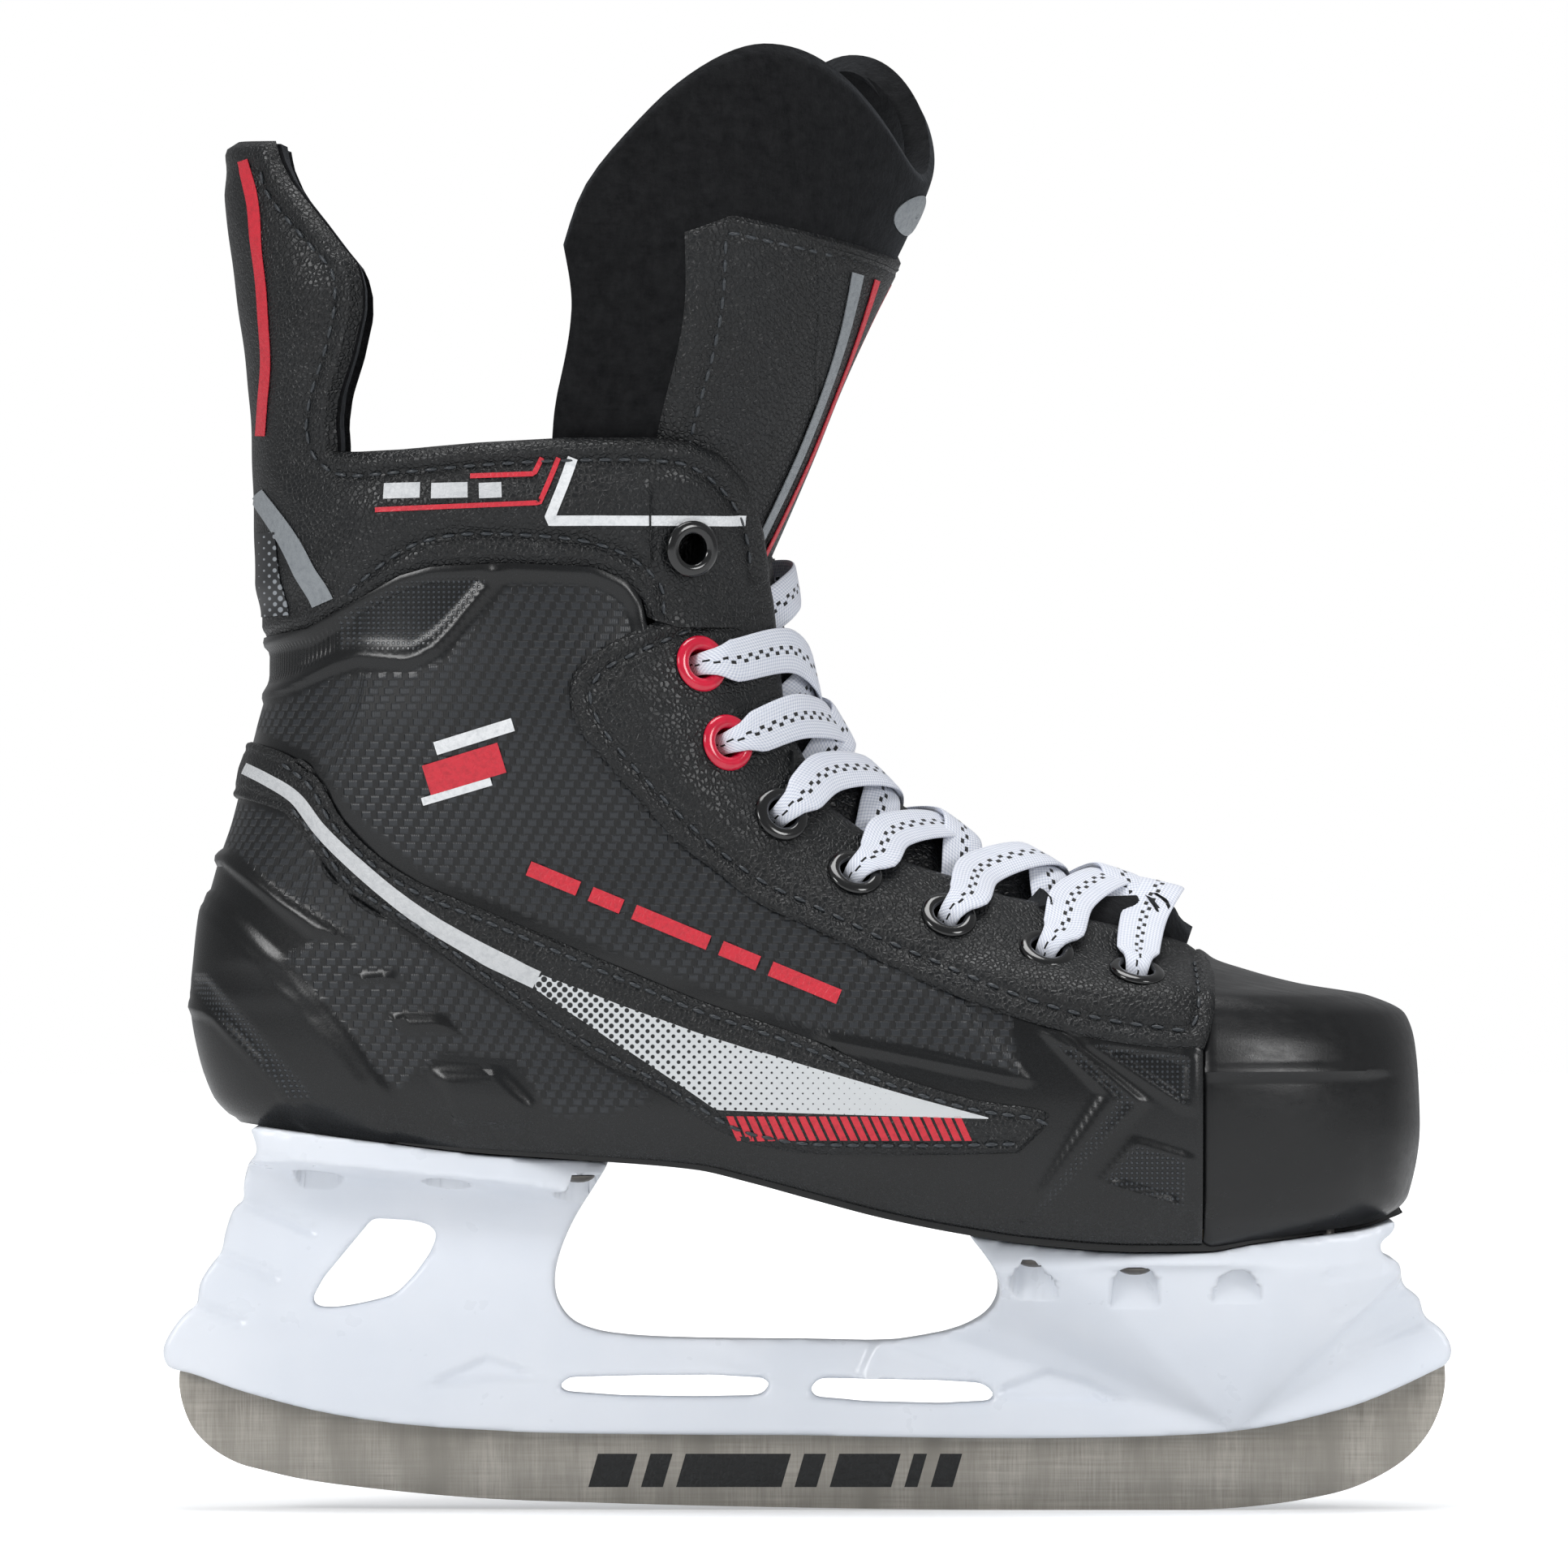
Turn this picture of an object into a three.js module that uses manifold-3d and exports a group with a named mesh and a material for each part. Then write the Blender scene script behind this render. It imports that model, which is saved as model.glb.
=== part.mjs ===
// Ice hockey skate for the right foot: a moulded boot with a laced front, on a
// plastic blade holder with a steel runner.
// Millimetres. +X points to the toe, +Z up, +Y to the inner (medial) side of the foot.
// The origin is on the ice under the middle of the blade.

import * as THREE from "three";
import { mergeVertices } from "three/addons/utils/BufferGeometryUtils.js";
import { ParametricGeometry } from "three/addons/geometries/ParametricGeometry.js";
import Module from "manifold-3d";

const wasm = await Module();
wasm.setup();

// ---------------------------------------------------------------- driving sizes

const GAP = 0.3;                 // clearance between pieces that touch
const RADIANS = Math.PI / 180;
const REACH = 120;               // half length of a cutter that passes right through

const SHELL_THICKNESS = 2.4;     // moulded boot wall
const LINING_THICKNESS = 3.3;    // padded lining behind it
const COVER_THICKNESS = 1.2;     // stitched covers on the outside of the wall
const TOE_CAP_REAR_X = 89.4;
const LINING_JOIN_X = 58;        // the toe box has its own lining ahead of this
const GUARD_HINGE = { x: -124.6, z: 240.3 };   // across the back of the collar
const TONGUE_HINGE = { x: -12, z: 216 };       // across the front of the ankle, above the laces

const OUTSOLE_THICKNESS = 2.2;
const BOARD_THICKNESS = 2.5;
const FOOTBED_THICKNESS = 4;

const BLADE_THICKNESS = 3;
const BLADE_INSERT = 6.5;        // height of steel hidden in the holder's slot
const BLADE_BOSS_RADIUS = 4;
const RUNNER_BOLT_X = { rear: -71, front: 84 };
const RUNNER_BOLT_RADIUS = 2.5;
const RUNNER_BOLT_HEAD = { radius: 5, height: 5 };
const BOSS_TOP_Z = 40;
const PLATE_THICKNESS = 5;

const RIVET = { head: 3.85, shank: 2, clinch: 3.4, domeHeight: 1.5, clinchHeight: 1.1 };
const RIVET_PLACES = [
  [-111.1, 17], [-81.9, 23], [-52.1, 22], [51.3, 26], [74, 29.5], [97.1, 29], [117.6, 23],
];

const EYELET = { hole: 3.4, barrel: 4.3, flange: 6.45, washer: 5.4 };
// Eyelets from the top down: x, z and the climb in degrees of the lace that leaves towards the toe.
const EYELET_PLACES = [
  [-27.7, 218.7, 5], [-25.1, 192.2, 8], [-19.1, 174.4, 20], [-6.8, 157.8, 42],
  [10, 144.1, 48], [31.3, 134.4, 55], [53.4, 126.5, 62], [73.9, 121.4, 80],
];

const LACE_RADIUS = 1.8;         // a round tube with the section area of the flat lace
const LACE_OVER_EDGE = 5.4;      // lace centre above the boot form where it crosses a facing edge
const LACE_UNDER_EDGE = 13;      // and below it where it comes out from under one
const SLOT_HALF_WIDTH = 15;      // half of the gap between the two facings
const HANK = { length: 96, width: 32, thickness: 10, top: [-32, 46.5, 200.5], yaw: -12, lean: 5.5 };
const TIE = { height: 8, thickness: 1 };
const AGLET = { radius: 1.7, length: 20, spread: 5 };

// Boot form: height, back, front, place of the widest point, half width, front roundness.
const BOOT_STATIONS = [
  [48, -112, 112, 62, 34, 2.6],
  [62, -120, 127, 62, 43.6, 2.6],
  [72, -124, 137, 62, 46.4, 2.6],
  [88, -128.8, 139.6, 62, 48.6, 2.6],
  [95, -134.6, 139.4, 62, 48.9, 2.6],
  [106, -138.2, 138.5, 59, 48.4, 2.5],
  [113, -139.4, 136.3, 54, 47.4, 2.35],
  [117.2, -139.7, 128, 45, 46.7, 2.3],
  [120, -139.5, 112, 36, 46, 2.1],
  [123, -139.2, 100.5, 24, 45.3, 1.95],
  [126, -138.9, 92, 10, 44.6, 1.85],
  [131, -138.4, 87.5, 0, 43.6, 1.7],
  [136, -137.7, 79, -10, 42.6, 1.6],
  [142, -135.9, 57, -20, 41.8, 1.6],
  [148, -134.2, 40, -30, 41.4, 1.6],
  [156, -131.4, 26, -38, 42, 1.65],
  [166, -128.8, 12.5, -46, 43.2, 1.7],
  [178, -125.6, 3.5, -54, 44, 1.85],
  [190, -123, -3, -58, 43.4, 2],
  [204, -122.9, -5, -62, 42.2, 2],
  [230, -123.5, -1, -64, 42, 2.1],
  [248, -124.1, 5, -64, 43, 2.1],
  [284, -128.3, 5, -64, 40, 2.1],
  [318, -132.6, 5, -64, 34, 2.1],
];
const HEEL_ROUNDNESS = 2.35;
const WALL_SEGMENTS = 24;        // facets round the boot wall; the lining shares every second one
const LINING_SEGMENTS = 12;

// Underside of the boot, which is the top of the holder's plates: [x, z].
const SOLE_LINE = [
  [-145, 90.5], [-126, 88], [-100, 84.7], [-75, 81.8], [-50, 80.1], [-25, 78], [-12.5, 75.1],
  [0, 71.7], [18, 67], [35, 63.6], [50, 61.3], [75, 59.5], [90, 59.6], [100, 61.2],
  [115, 63.1], [126, 64.5], [134, 66.9], [145, 71],
];

// ---------------------------------------------------------------- materials

function finish(color, roughness, metalness = 0) {
  return new THREE.MeshStandardMaterial({ color, roughness, metalness });
}

const FINISHES = {
  holderPlastic: () => finish(0xe4e8ee, 0.35),
  runnerSteel: () => finish(0x8b8880, 0.38, 1),
  boltSteel: () => finish(0x9a9a98, 0.3, 1),
  rivetSteel: () => finish(0x6c6a66, 0.35, 1),
  soleRubber: () => finish(0x151617, 0.6),
  soleBoard: () => finish(0x6b5a42, 0.9),
  footbedFoam: () => finish(0x2b2c2e, 0.95),
  shellPlastic: () => finish(0x191b1d, 0.35),
  toePlastic: () => finish(0x1b1c1e, 0.42),
  leather: () => finish(0x17191b, 0.55),
  felt: () => finish(0x121212, 1),
  redEnamel: () => finish(0xf0103c, 0.3),
  blackEnamel: () => finish(0x0c0c0d, 0.25),
  lace: () => finish(0xe9ecf4, 0.85),
  aglet: () => finish(0xf4f4f4, 0.2),
  tie: () => finish(0x202123, 0.6),
};

// ---------------------------------------------------------------- solids

// A closed geometry as a manifold solid with its faces pointing out.
function solid(geometry) {
  const bare = geometry.clone();
  bare.deleteAttribute("normal");
  bare.deleteAttribute("uv");
  const merged = mergeVertices(bare, 1e-4);
  const positions = merged.getAttribute("position");
  const corners = Array.from(merged.getIndex().array);
  const kept = [];
  for (let i = 0; i < corners.length; i += 3) {
    const [a, b, c] = corners.slice(i, i + 3);
    if (a !== b && b !== c && a !== c) kept.push(a, b, c);
  }
  const points = kept.map((index) => new THREE.Vector3().fromBufferAttribute(positions, index));
  let volume = 0;
  for (let i = 0; i < points.length; i += 3) {
    volume += points[i].dot(new THREE.Vector3().crossVectors(points[i + 1], points[i + 2]));
  }
  if (volume < 0) kept.reverse();
  const mesh = new wasm.Mesh({
    numProp: 3,
    vertProperties: new Float32Array(positions.array),
    triVerts: new Uint32Array(kept),
  });
  return new wasm.Manifold(mesh);
}

function piece(name, body, material) {
  const data = body.getMesh();
  const geometry = new THREE.BufferGeometry();
  geometry.setAttribute("position", new THREE.BufferAttribute(new Float32Array(data.vertProperties), 3));
  geometry.setIndex(Array.from(data.triVerts));
  geometry.computeVertexNormals();
  const mesh = new THREE.Mesh(geometry, material);
  mesh.name = name;
  return mesh;
}

// A side-view outline: straight runs of [x, z] points, and { through: [...] } for a round stretch.
function outline(entries) {
  const shape = new THREE.Shape();
  entries.forEach((entry, index) => {
    if (entry.through) {
      shape.splineThru(entry.through.map(([x, z]) => new THREE.Vector2(x, z)));
    } else if (index === 0) {
      shape.moveTo(...entry);
    } else {
      shape.lineTo(...entry);
    }
  });
  return shape;
}

// Side-view shape carried across the skate from y = low to y = high.
function across(shape, low = -REACH, high = REACH, curveSegments = 2) {
  const geometry = new THREE.ExtrudeGeometry(shape, { depth: high - low, bevelEnabled: false, curveSegments });
  geometry.rotateX(Math.PI / 2);
  geometry.translate(0, high, 0);
  return solid(geometry);
}

// Front-view shape, given as (y, z), carried along the skate from x = low to x = high.
function along(shape, low, high) {
  const geometry = new THREE.ExtrudeGeometry(shape, { depth: high - low, bevelEnabled: false });
  geometry.rotateZ(Math.PI / 2);
  geometry.rotateY(Math.PI / 2);
  geometry.translate(low, 0, 0);
  return solid(geometry);
}

function cylinder(radius, from, to, segments = 8) {
  const span = new THREE.Vector3().subVectors(to, from);
  const geometry = new THREE.CylinderGeometry(radius, radius, span.length(), segments);
  const turn = new THREE.Quaternion().setFromUnitVectors(new THREE.Vector3(0, 1, 0), span.clone().normalize());
  geometry.applyQuaternion(turn);
  geometry.translate(...new THREE.Vector3().addVectors(from, to).multiplyScalar(0.5).toArray());
  return solid(geometry);
}

// Turned piece about the axis through origin, along direction. The profile is [radius, height].
function turned(profile, origin, direction, segments, closed = false) {
  const points = profile.map(([radius, height]) => new THREE.Vector2(radius, height));
  if (closed) points.push(points[0].clone());
  const geometry = new THREE.LatheGeometry(points, segments);
  const turn = new THREE.Quaternion().setFromUnitVectors(new THREE.Vector3(0, 1, 0), direction);
  geometry.applyQuaternion(turn);
  geometry.translate(origin.x, origin.y, origin.z);
  return solid(geometry);
}

// A closed slab between two surfaces, each a function (u, v) => Vector3 with u and v from 0 to 1.
function slab(outer, inner, columns, rows) {
  const ring = 2 * (columns + 1);
  const surface = (u, v, target) => {
    const step = Math.round(u * ring) % ring;
    const row = Math.min(Math.max(Math.round(v * (rows + 2)) - 1, 0), rows);
    const onOuter = step <= columns;
    const column = onOuter ? step : ring - 1 - step;
    const capped = Math.round(v * (rows + 2)) === 0 || Math.round(v * (rows + 2)) === rows + 2;
    const side = onOuter && !capped ? outer : inner;
    target.copy(side(column / columns, row / rows));
  };
  return solid(new ParametricGeometry(surface, ring, rows + 2));
}

function union(bodies) {
  return bodies.reduce((total, body) => total.add(body));
}

// ---------------------------------------------------------------- boot form

function between(table, key, column) {
  const last = table.length - 1;
  if (key <= table[0][0]) return table[0][column];
  if (key >= table[last][0]) return table[last][column];
  const next = table.findIndex((row) => row[0] > key);
  const [low, high] = [table[next - 1], table[next]];
  return THREE.MathUtils.mapLinear(key, low[0], high[0], low[column], high[column]);
}

const soleZ = (x) => between(SOLE_LINE, x, 1);

// The foot's middle line bends towards the big toe.
const middleY = (x) => 4 * (Math.max(0, x) / 139) ** 2;

// The wall draws in at the waist of the foot and rounds under at the sole.
function wallFactor(x, z) {
  const low = THREE.MathUtils.clamp((135 - z) / 30, 0, 1);
  const waist = 1 - 0.1 * low * Math.exp(-(((x + 35) / 42) ** 2));
  const round = THREE.MathUtils.clamp((z - soleZ(x)) / 14, 0, 1);
  return waist * (1 - 0.1 * (1 - round) ** 2);
}

// Half width of the boot at (x, z), on the surface that lies inset inside the outer one.
function halfWidth(x, z, inset = 0) {
  const level = z + inset;
  const [back, front, widest, half, roundness] = [1, 2, 3, 4, 5].map((i) => between(BOOT_STATIONS, level, i));
  const ahead = x > widest;
  const reach = ahead ? front - inset - widest : widest - back - inset;
  const power = ahead ? roundness : HEEL_ROUNDNESS;
  const part = Math.min(Math.abs(x - widest) / reach, 1);
  return (half - inset) * (1 - part ** power) ** (1 / power) * wallFactor(x, level);
}

// Closed boot form, inset by the given distance; a negative inset lies outside the boot.
function bootForm(inset, segments = WALL_SEGMENTS) {
  const rows = BOOT_STATIONS.length + 1;
  const surface = (u, v, target) => {
    const row = Math.round(v * rows);
    const index = THREE.MathUtils.clamp(row - 1, 0, BOOT_STATIONS.length - 1);
    const [height, back, front, widest, half, roundness] = BOOT_STATIONS[index];
    if (row === 0 || row === rows) {
      target.set(widest, middleY(widest), height - inset);
      return;
    }
    const angle = 2 * Math.PI * (Math.round(u * segments) % segments) / segments;
    const [c, s] = [Math.cos(angle), Math.sin(angle)];
    const ahead = c > 0;
    const power = 2 / (ahead ? roundness : HEEL_ROUNDNESS);
    const reach = ahead ? front - inset - widest : widest - back - inset;
    const x = widest + Math.sign(c) * reach * Math.abs(c) ** power;
    const side = (half - inset) * Math.abs(s) ** power * wallFactor(x, height);
    target.set(x, middleY(x) + Math.sign(s) * side, height - inset);
  };
  return solid(new ParametricGeometry(surface, segments, rows));
}

// One layer of the boot wall, between two insets, kept inside a side-view region.
function layer(outerInset, innerInset, region, segments = WALL_SEGMENTS) {
  return bootForm(outerInset, segments).subtract(bootForm(innerInset, segments)).intersect(across(region));
}

// A level layer over the sole, from bottom to top above the underside, inset from the boot form.
function soleLayer(bottom, top, inset, segments = LINING_SEGMENTS) {
  const lower = SOLE_LINE.map(([x, z]) => [x, z + bottom]);
  const upper = SOLE_LINE.map(([x, z]) => [x, z + top]).reverse();
  return bootForm(inset, segments).intersect(across(outline([...lower, ...upper])));
}

const LEVELS = {
  outsole: GAP,
  board: GAP + OUTSOLE_THICKNESS + GAP,
  footbed: GAP + OUTSOLE_THICKNESS + GAP + BOARD_THICKNESS + GAP,
};
const LINING = {
  outer: SHELL_THICKNESS + GAP,
  inner: SHELL_THICKNESS + GAP + LINING_THICKNESS,
};

// ---------------------------------------------------------------- side-view lines of the boot

const FACING_EDGE = [
  [-8.7, 213.8], [-7.4, 207], [-5, 183], [-3.7, 177.6], [5.6, 160.4], [22.8, 147.8],
  [35.3, 144.1], [52, 139], [65, 134.8], [81.8, 131.1], [86, 129.7], [89.2, 126.9],
];
const COLLAR_SEAM = [
  [-150, 196.5], [-123.2, 198.6], [-112.5, 200.6], [-100.4, 207.6], [-85, 214.4], [-67.5, 215.3],
  [-48.8, 214.4], [-38.8, 208.8], [-36.3, 202.5], [-30, 199], [0, 199],
];
const EYESTAY_LOWER = [
  [-30, 203.8], [-46.5, 196], [-53.5, 186], [-46.5, 171.3], [-27.9, 150.9], [-8.4, 136.9],
  [20.4, 123.2], [52, 111.1], [79, 106],
];
const STRIP_UPPER = [
  [-110.6, 166.7], [-105, 157.4], [-87.4, 143], [-46.5, 125.8], [0, 108.1], [37.2, 94.4],
];
const STRIP_LOWER = [
  [-7.5, 84], [-33.5, 95.6], [-70.7, 118.3], [-105, 141.6], [-118, 158.8],
];

const shifted = (line, dx, dz) => line.map(([x, z]) => [x + dx, z + dz]);
const soleLine = (rise, from, to) => SOLE_LINE.filter(([x]) => x > from && x < to).map(([x, z]) => [x, z + rise]);

function shellRegion() {
  const front = TOE_CAP_REAR_X - GAP;
  return outline([
    [-150, soleZ(-145) + LEVELS.board],
    ...soleLine(LEVELS.board, -140, front),
    [front, soleZ(front) + LEVELS.board],
    [front, 126.5],
    ...shifted(FACING_EDGE.slice(2, -1), -0.8, -0.6).reverse(),
    [-7.2, 199 - GAP],
    ...shifted(COLLAR_SEAM, 0, -GAP).reverse().slice(1),
  ]);
}

function collarRegion() {
  return outline([
    ...COLLAR_SEAM.slice(0, -1),
    [-8.2, 199],
    [-8.7, 213.8],
    { through: [[-9.4, 222.5], [-12.5, 231.3], [-18.8, 239.4], [-26.3, 242.5]] },
    { through: [[-55, 243.4], [-92.5, 240.6], [-104, 240]] },
    [-150, 240],
  ]);
}

function guardRegion() {
  return outline([
    [-150, GUARD_HINGE.z + 0.4],
    [-107.5, GUARD_HINGE.z + 0.4],
    { through: [[-107.9, 247.5], [-103.8, 262.5], [-101.3, 272.5], [-101.5, 280]] },
    { through: [[-106.3, 287.5], [-118.1, 301.9], [-121.9, 311.3]] },
    [-150, 311.3],
  ]);
}

function eyestayRegion() {
  return outline([
    ...FACING_EDGE,
    [91.5, 123.2],
    [91, 111],
    [89.2, 105.5],
    { through: [...EYESTAY_LOWER].reverse() },
    [-12.5, 210],
  ]);
}

function stripRegion() {
  return outline([
    [-125, 174.9],
    { through: STRIP_UPPER },
    [52, 92.1],
    [54.4, 91.2],
    [47.4, 82.3],
    [0, 82.3],
    { through: STRIP_LOWER },
    [-127.5, 162.2],
  ]);
}

function liningRegion() {
  const floor = LEVELS.board + BOARD_THICKNESS + GAP;
  return outline([
    [-150, soleZ(-145) + floor],
    ...soleLine(floor, -140, 145),
    [150, soleZ(145) + floor],
    [150, 110],
    [92, 126],
    ...shifted(FACING_EDGE, -1.6, -1.2).reverse(),
    { through: [[-14, 219.5], [-18.8, 227], [-25, 235], [-32, 241]] },
    { through: [[-55, 243.9], [-92.5, 241.8], [-104, 240]] },
    [-150, 240],
  ]);
}

// The gap between the facings, which the tongue closes.
function facingSlot(halfGap) {
  return across(outline([
    ...shifted(FACING_EDGE.slice(0, -2), -14, -14), [84, 124], [86, 160], [40, 260], [-45, 260], [-30, 214],
  ]), -halfGap, halfGap);
}

// ---------------------------------------------------------------- boot pieces

// Frame of an eyelet on the outer surface: its centre, outward normal and the way to the facing edge.
function eyeletFrame([x, z, climb], side) {
  const at = (px, pz) => new THREE.Vector3(px, middleY(px) + side * halfWidth(px, pz), pz);
  const step = 4;
  const alongX = at(x + step, z).sub(at(x - step, z));
  const alongZ = at(x, z + step).sub(at(x, z - step));
  const normal = new THREE.Vector3().crossVectors(alongX, alongZ).normalize();
  if (normal.y * side < 0) normal.negate();
  const centre = at(x, z);
  const ahead = new THREE.Vector3(Math.cos(climb * RADIANS), 0, Math.sin(climb * RADIANS));
  const toEdge = ahead.clone().addScaledVector(normal, -ahead.dot(normal)).normalize();
  return { centre, normal, ahead, toEdge };
}

const EYELET_FRAMES = [-1, 1].map((side) => EYELET_PLACES.map((place) => eyeletFrame(place, side)));
const onAxis = (frame, height) => frame.centre.clone().addScaledVector(frame.normal, height);

function eyeletBores(radius, low, high) {
  const bores = EYELET_FRAMES.flat().map((frame) => cylinder(radius, onAxis(frame, low), onAxis(frame, high)));
  return union(bores);
}

function addEyelets(group) {
  const top = COVER_THICKNESS + GAP;
  const bottom = -LINING.inner;
  const profile = [
    [EYELET.hole, top + 0.9], [EYELET.barrel, top + 1.2], [EYELET.flange, top + GAP],
    [EYELET.barrel, top + GAP], [EYELET.barrel, bottom - 0.1], [EYELET.washer, bottom - 0.1],
    [EYELET.hole, bottom - 0.8],
  ];
  ["lateral", "medial"].forEach((sideName, sideIndex) => {
    EYELET_FRAMES[sideIndex].forEach((frame, index) => {
      const red = index === 1 || index === 2;
      const body = turned(profile, frame.centre, frame.normal, 8, true);
      const material = red ? FINISHES.redEnamel() : FINISHES.blackEnamel();
      group.add(piece(`eyelet_${sideName}_${index + 1}`, body, material));
    });
  });
}

function addBootWall(group) {
  const barrelBores = eyeletBores(EYELET.barrel + GAP, -LINING.inner - 8, 8);
  const washerSeats = eyeletBores(EYELET.washer + GAP, -LINING.inner - 9, -LINING.inner + GAP);
  const flangeSeats = eyeletBores(EYELET.flange + GAP, COVER_THICKNESS + GAP, 9);
  const slot = facingSlot(SLOT_HALF_WIDTH);
  const liningSlot = facingSlot(SLOT_HALF_WIDTH + 3);

  const shell = layer(0, SHELL_THICKNESS, shellRegion()).subtract(barrelBores).subtract(slot);
  group.add(piece("boot_shell", shell, FINISHES.shellPlastic()));

  const collar = layer(0, SHELL_THICKNESS, collarRegion()).subtract(barrelBores).subtract(slot);
  group.add(piece("ankle_collar", collar, FINISHES.leather()));

  const lining = layer(LINING.outer, LINING.inner, liningRegion(), LINING_SEGMENTS)
    .subtract(barrelBores).subtract(washerSeats).subtract(liningSlot);
  const [rearLining, toeLining] = [[-REACH * 2, -GAP / 2], [GAP / 2, REACH * 2]].map(([from, to]) => (
    lining.intersect(along(outline([[-REACH, 0], [REACH, 0], [REACH, 330], [-REACH, 330]]), LINING_JOIN_X + from, LINING_JOIN_X + to))
  ));
  group.add(piece("boot_lining", rearLining, FINISHES.felt()));
  group.add(piece("toe_lining", toeLining, FINISHES.felt()));

  const coverForm = bootForm(-COVER_THICKNESS - GAP).subtract(bootForm(-GAP));
  const eyestay = coverForm.intersect(across(eyestayRegion())).subtract(barrelBores).subtract(flangeSeats);
  const strip = coverForm.intersect(across(stripRegion()));
  [["lateral", -REACH, 0], ["medial", 0, REACH]].forEach(([sideName, low, high]) => {
    const half = across(outline([[-160, 50], [150, 50], [150, 330], [-160, 330]]), low, high);
    group.add(piece(`eyestay_${sideName}`, eyestay.intersect(half), FINISHES.leather()));
    group.add(piece(`side_strip_${sideName}`, strip.intersect(half), FINISHES.leather()));
  });
}

function addToeCap(group) {
  const rear = TOE_CAP_REAR_X;
  const region = outline([
    [rear, soleZ(rear) + LEVELS.board],
    ...soleLine(LEVELS.board, rear, 146),
    [150, soleZ(145) + LEVELS.board],
    [150, 140],
    [rear, 140],
  ]);
  group.add(piece("toe_cap", layer(0, SHELL_THICKNESS, region), FINISHES.toePlastic()));
}

function addTendonGuard(group) {
  const region = guardRegion();
  group.add(piece("tendon_guard", layer(0, SHELL_THICKNESS, region), FINISHES.leather()));
  group.add(piece("tendon_guard_lining", layer(LINING.outer, LINING.inner, region), FINISHES.felt()));
}

function addSole(group) {
  const shanks = union(rivetSites().map(({ x, y }) => (
    cylinder(RIVET.shank + GAP, new THREE.Vector3(x, y, 50), new THREE.Vector3(x, y, 110))
  )));
  const clinches = union(rivetSites().map(({ x, y }) => {
    const low = soleZ(x) + LEVELS.outsole;
    return cylinder(RIVET.clinch + GAP, new THREE.Vector3(x, y, low), new THREE.Vector3(x, y, low + 20));
  }));
  const outsole = soleLayer(LEVELS.outsole, LEVELS.outsole + OUTSOLE_THICKNESS, 1).subtract(shanks);
  group.add(piece("outsole", outsole, FINISHES.soleRubber()));
  const board = soleLayer(LEVELS.board, LEVELS.board + BOARD_THICKNESS, LINING.outer);
  group.add(piece("insole_board", board.subtract(clinches), FINISHES.soleBoard()));
  const footbed = soleLayer(LEVELS.footbed, LEVELS.footbed + FOOTBED_THICKNESS, LINING.inner + 1.5);
  group.add(piece("footbed", footbed, FINISHES.footbedFoam()));
}

// ---------------------------------------------------------------- tongue

const TONGUE_STATIONS = [
  // height, front crest, depth from crest to wing edge, half width
  [217, -13.5, 49, 29],
  [226, -9.5, 52, 30.5],
  [240, -3.5, 58, 33],
  [255, 2.5, 62, 36.5],
  [272, 10, 63, 39],
  [290, 18.5, 68, 40],
  [304, 24, 72, 39],
  [320, 27, 72, 38],
  [333, 28, 70, 36],
];
const TONGUE_STRAP_HALF = 27;    // half width of the lower tongue under the laces
const TONGUE_THICKNESS = 7;
const TONGUE_PANEL_THICKNESS = 1.2;

// Upper edge of the tongue: a dip over the shin between two rounded lobes.
function tongueTop(across01) {
  const off = Math.abs(2 * across01 - 1);
  return 304 + 29 * Math.sin(Math.PI * Math.min(off / 0.62, 1) / 2) ** 2 - 46 * Math.max(0, off - 0.62) ** 2 / 0.1444;
}

// A point of the upper tongue, out from its outer face by the given distance.
function tonguePoint(across01, height, out) {
  const [crest, depth, half] = [1, 2, 3].map((i) => between(TONGUE_STATIONS, height, i));
  const angle = (2 * across01 - 1) * Math.PI / 2;
  const y = (half + out) * Math.sin(angle);
  const twist = 0.3 * THREE.MathUtils.smoothstep(height, 250, 310);
  return new THREE.Vector3(crest + out - depth * (1 - Math.cos(angle)) + twist * y, y, height);
}

function addTongue(group) {
  const lower = layer(15, 19.5, outline([
    [-38, TONGUE_HINGE.z - 1.5], [0, TONGUE_HINGE.z - 1.5], [12, 196], [30, 160], [74, 140], [74, 104.5], [10, 128], [-16, 150], [-36, 180],
  ]), LINING_SEGMENTS);
  const strap = across(outline([[-60, 90], [100, 90], [100, 220], [-60, 220]]), -TONGUE_STRAP_HALF, TONGUE_STRAP_HALF);
  group.add(piece("tongue_lower", lower.intersect(strap), FINISHES.felt()));

  const bottom = TONGUE_HINGE.z + 1;
  const heightAt = (u, v) => THREE.MathUtils.lerp(bottom, tongueTop(u), v);
  const upper = slab(
    (u, v) => tonguePoint(u, heightAt(u, v), 0),
    (u, v) => tonguePoint(u, heightAt(u, v), -TONGUE_THICKNESS),
    14,
    7,
  );
  group.add(piece("tongue_upper", upper, FINISHES.felt()));

  const panelHeight = (v) => THREE.MathUtils.lerp(bottom + 3, 294, v);
  const panelAcross = (u) => 0.5 + (u - 0.5) * 0.44;
  const panel = slab(
    (u, v) => tonguePoint(panelAcross(u), panelHeight(v), TONGUE_PANEL_THICKNESS + 2 * GAP),
    (u, v) => tonguePoint(panelAcross(u), panelHeight(v), 2 * GAP),
    6,
    5,
  );
  group.add(piece("tongue_panel", panel, FINISHES.leather()));
}

// ---------------------------------------------------------------- blade holder and runner

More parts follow.
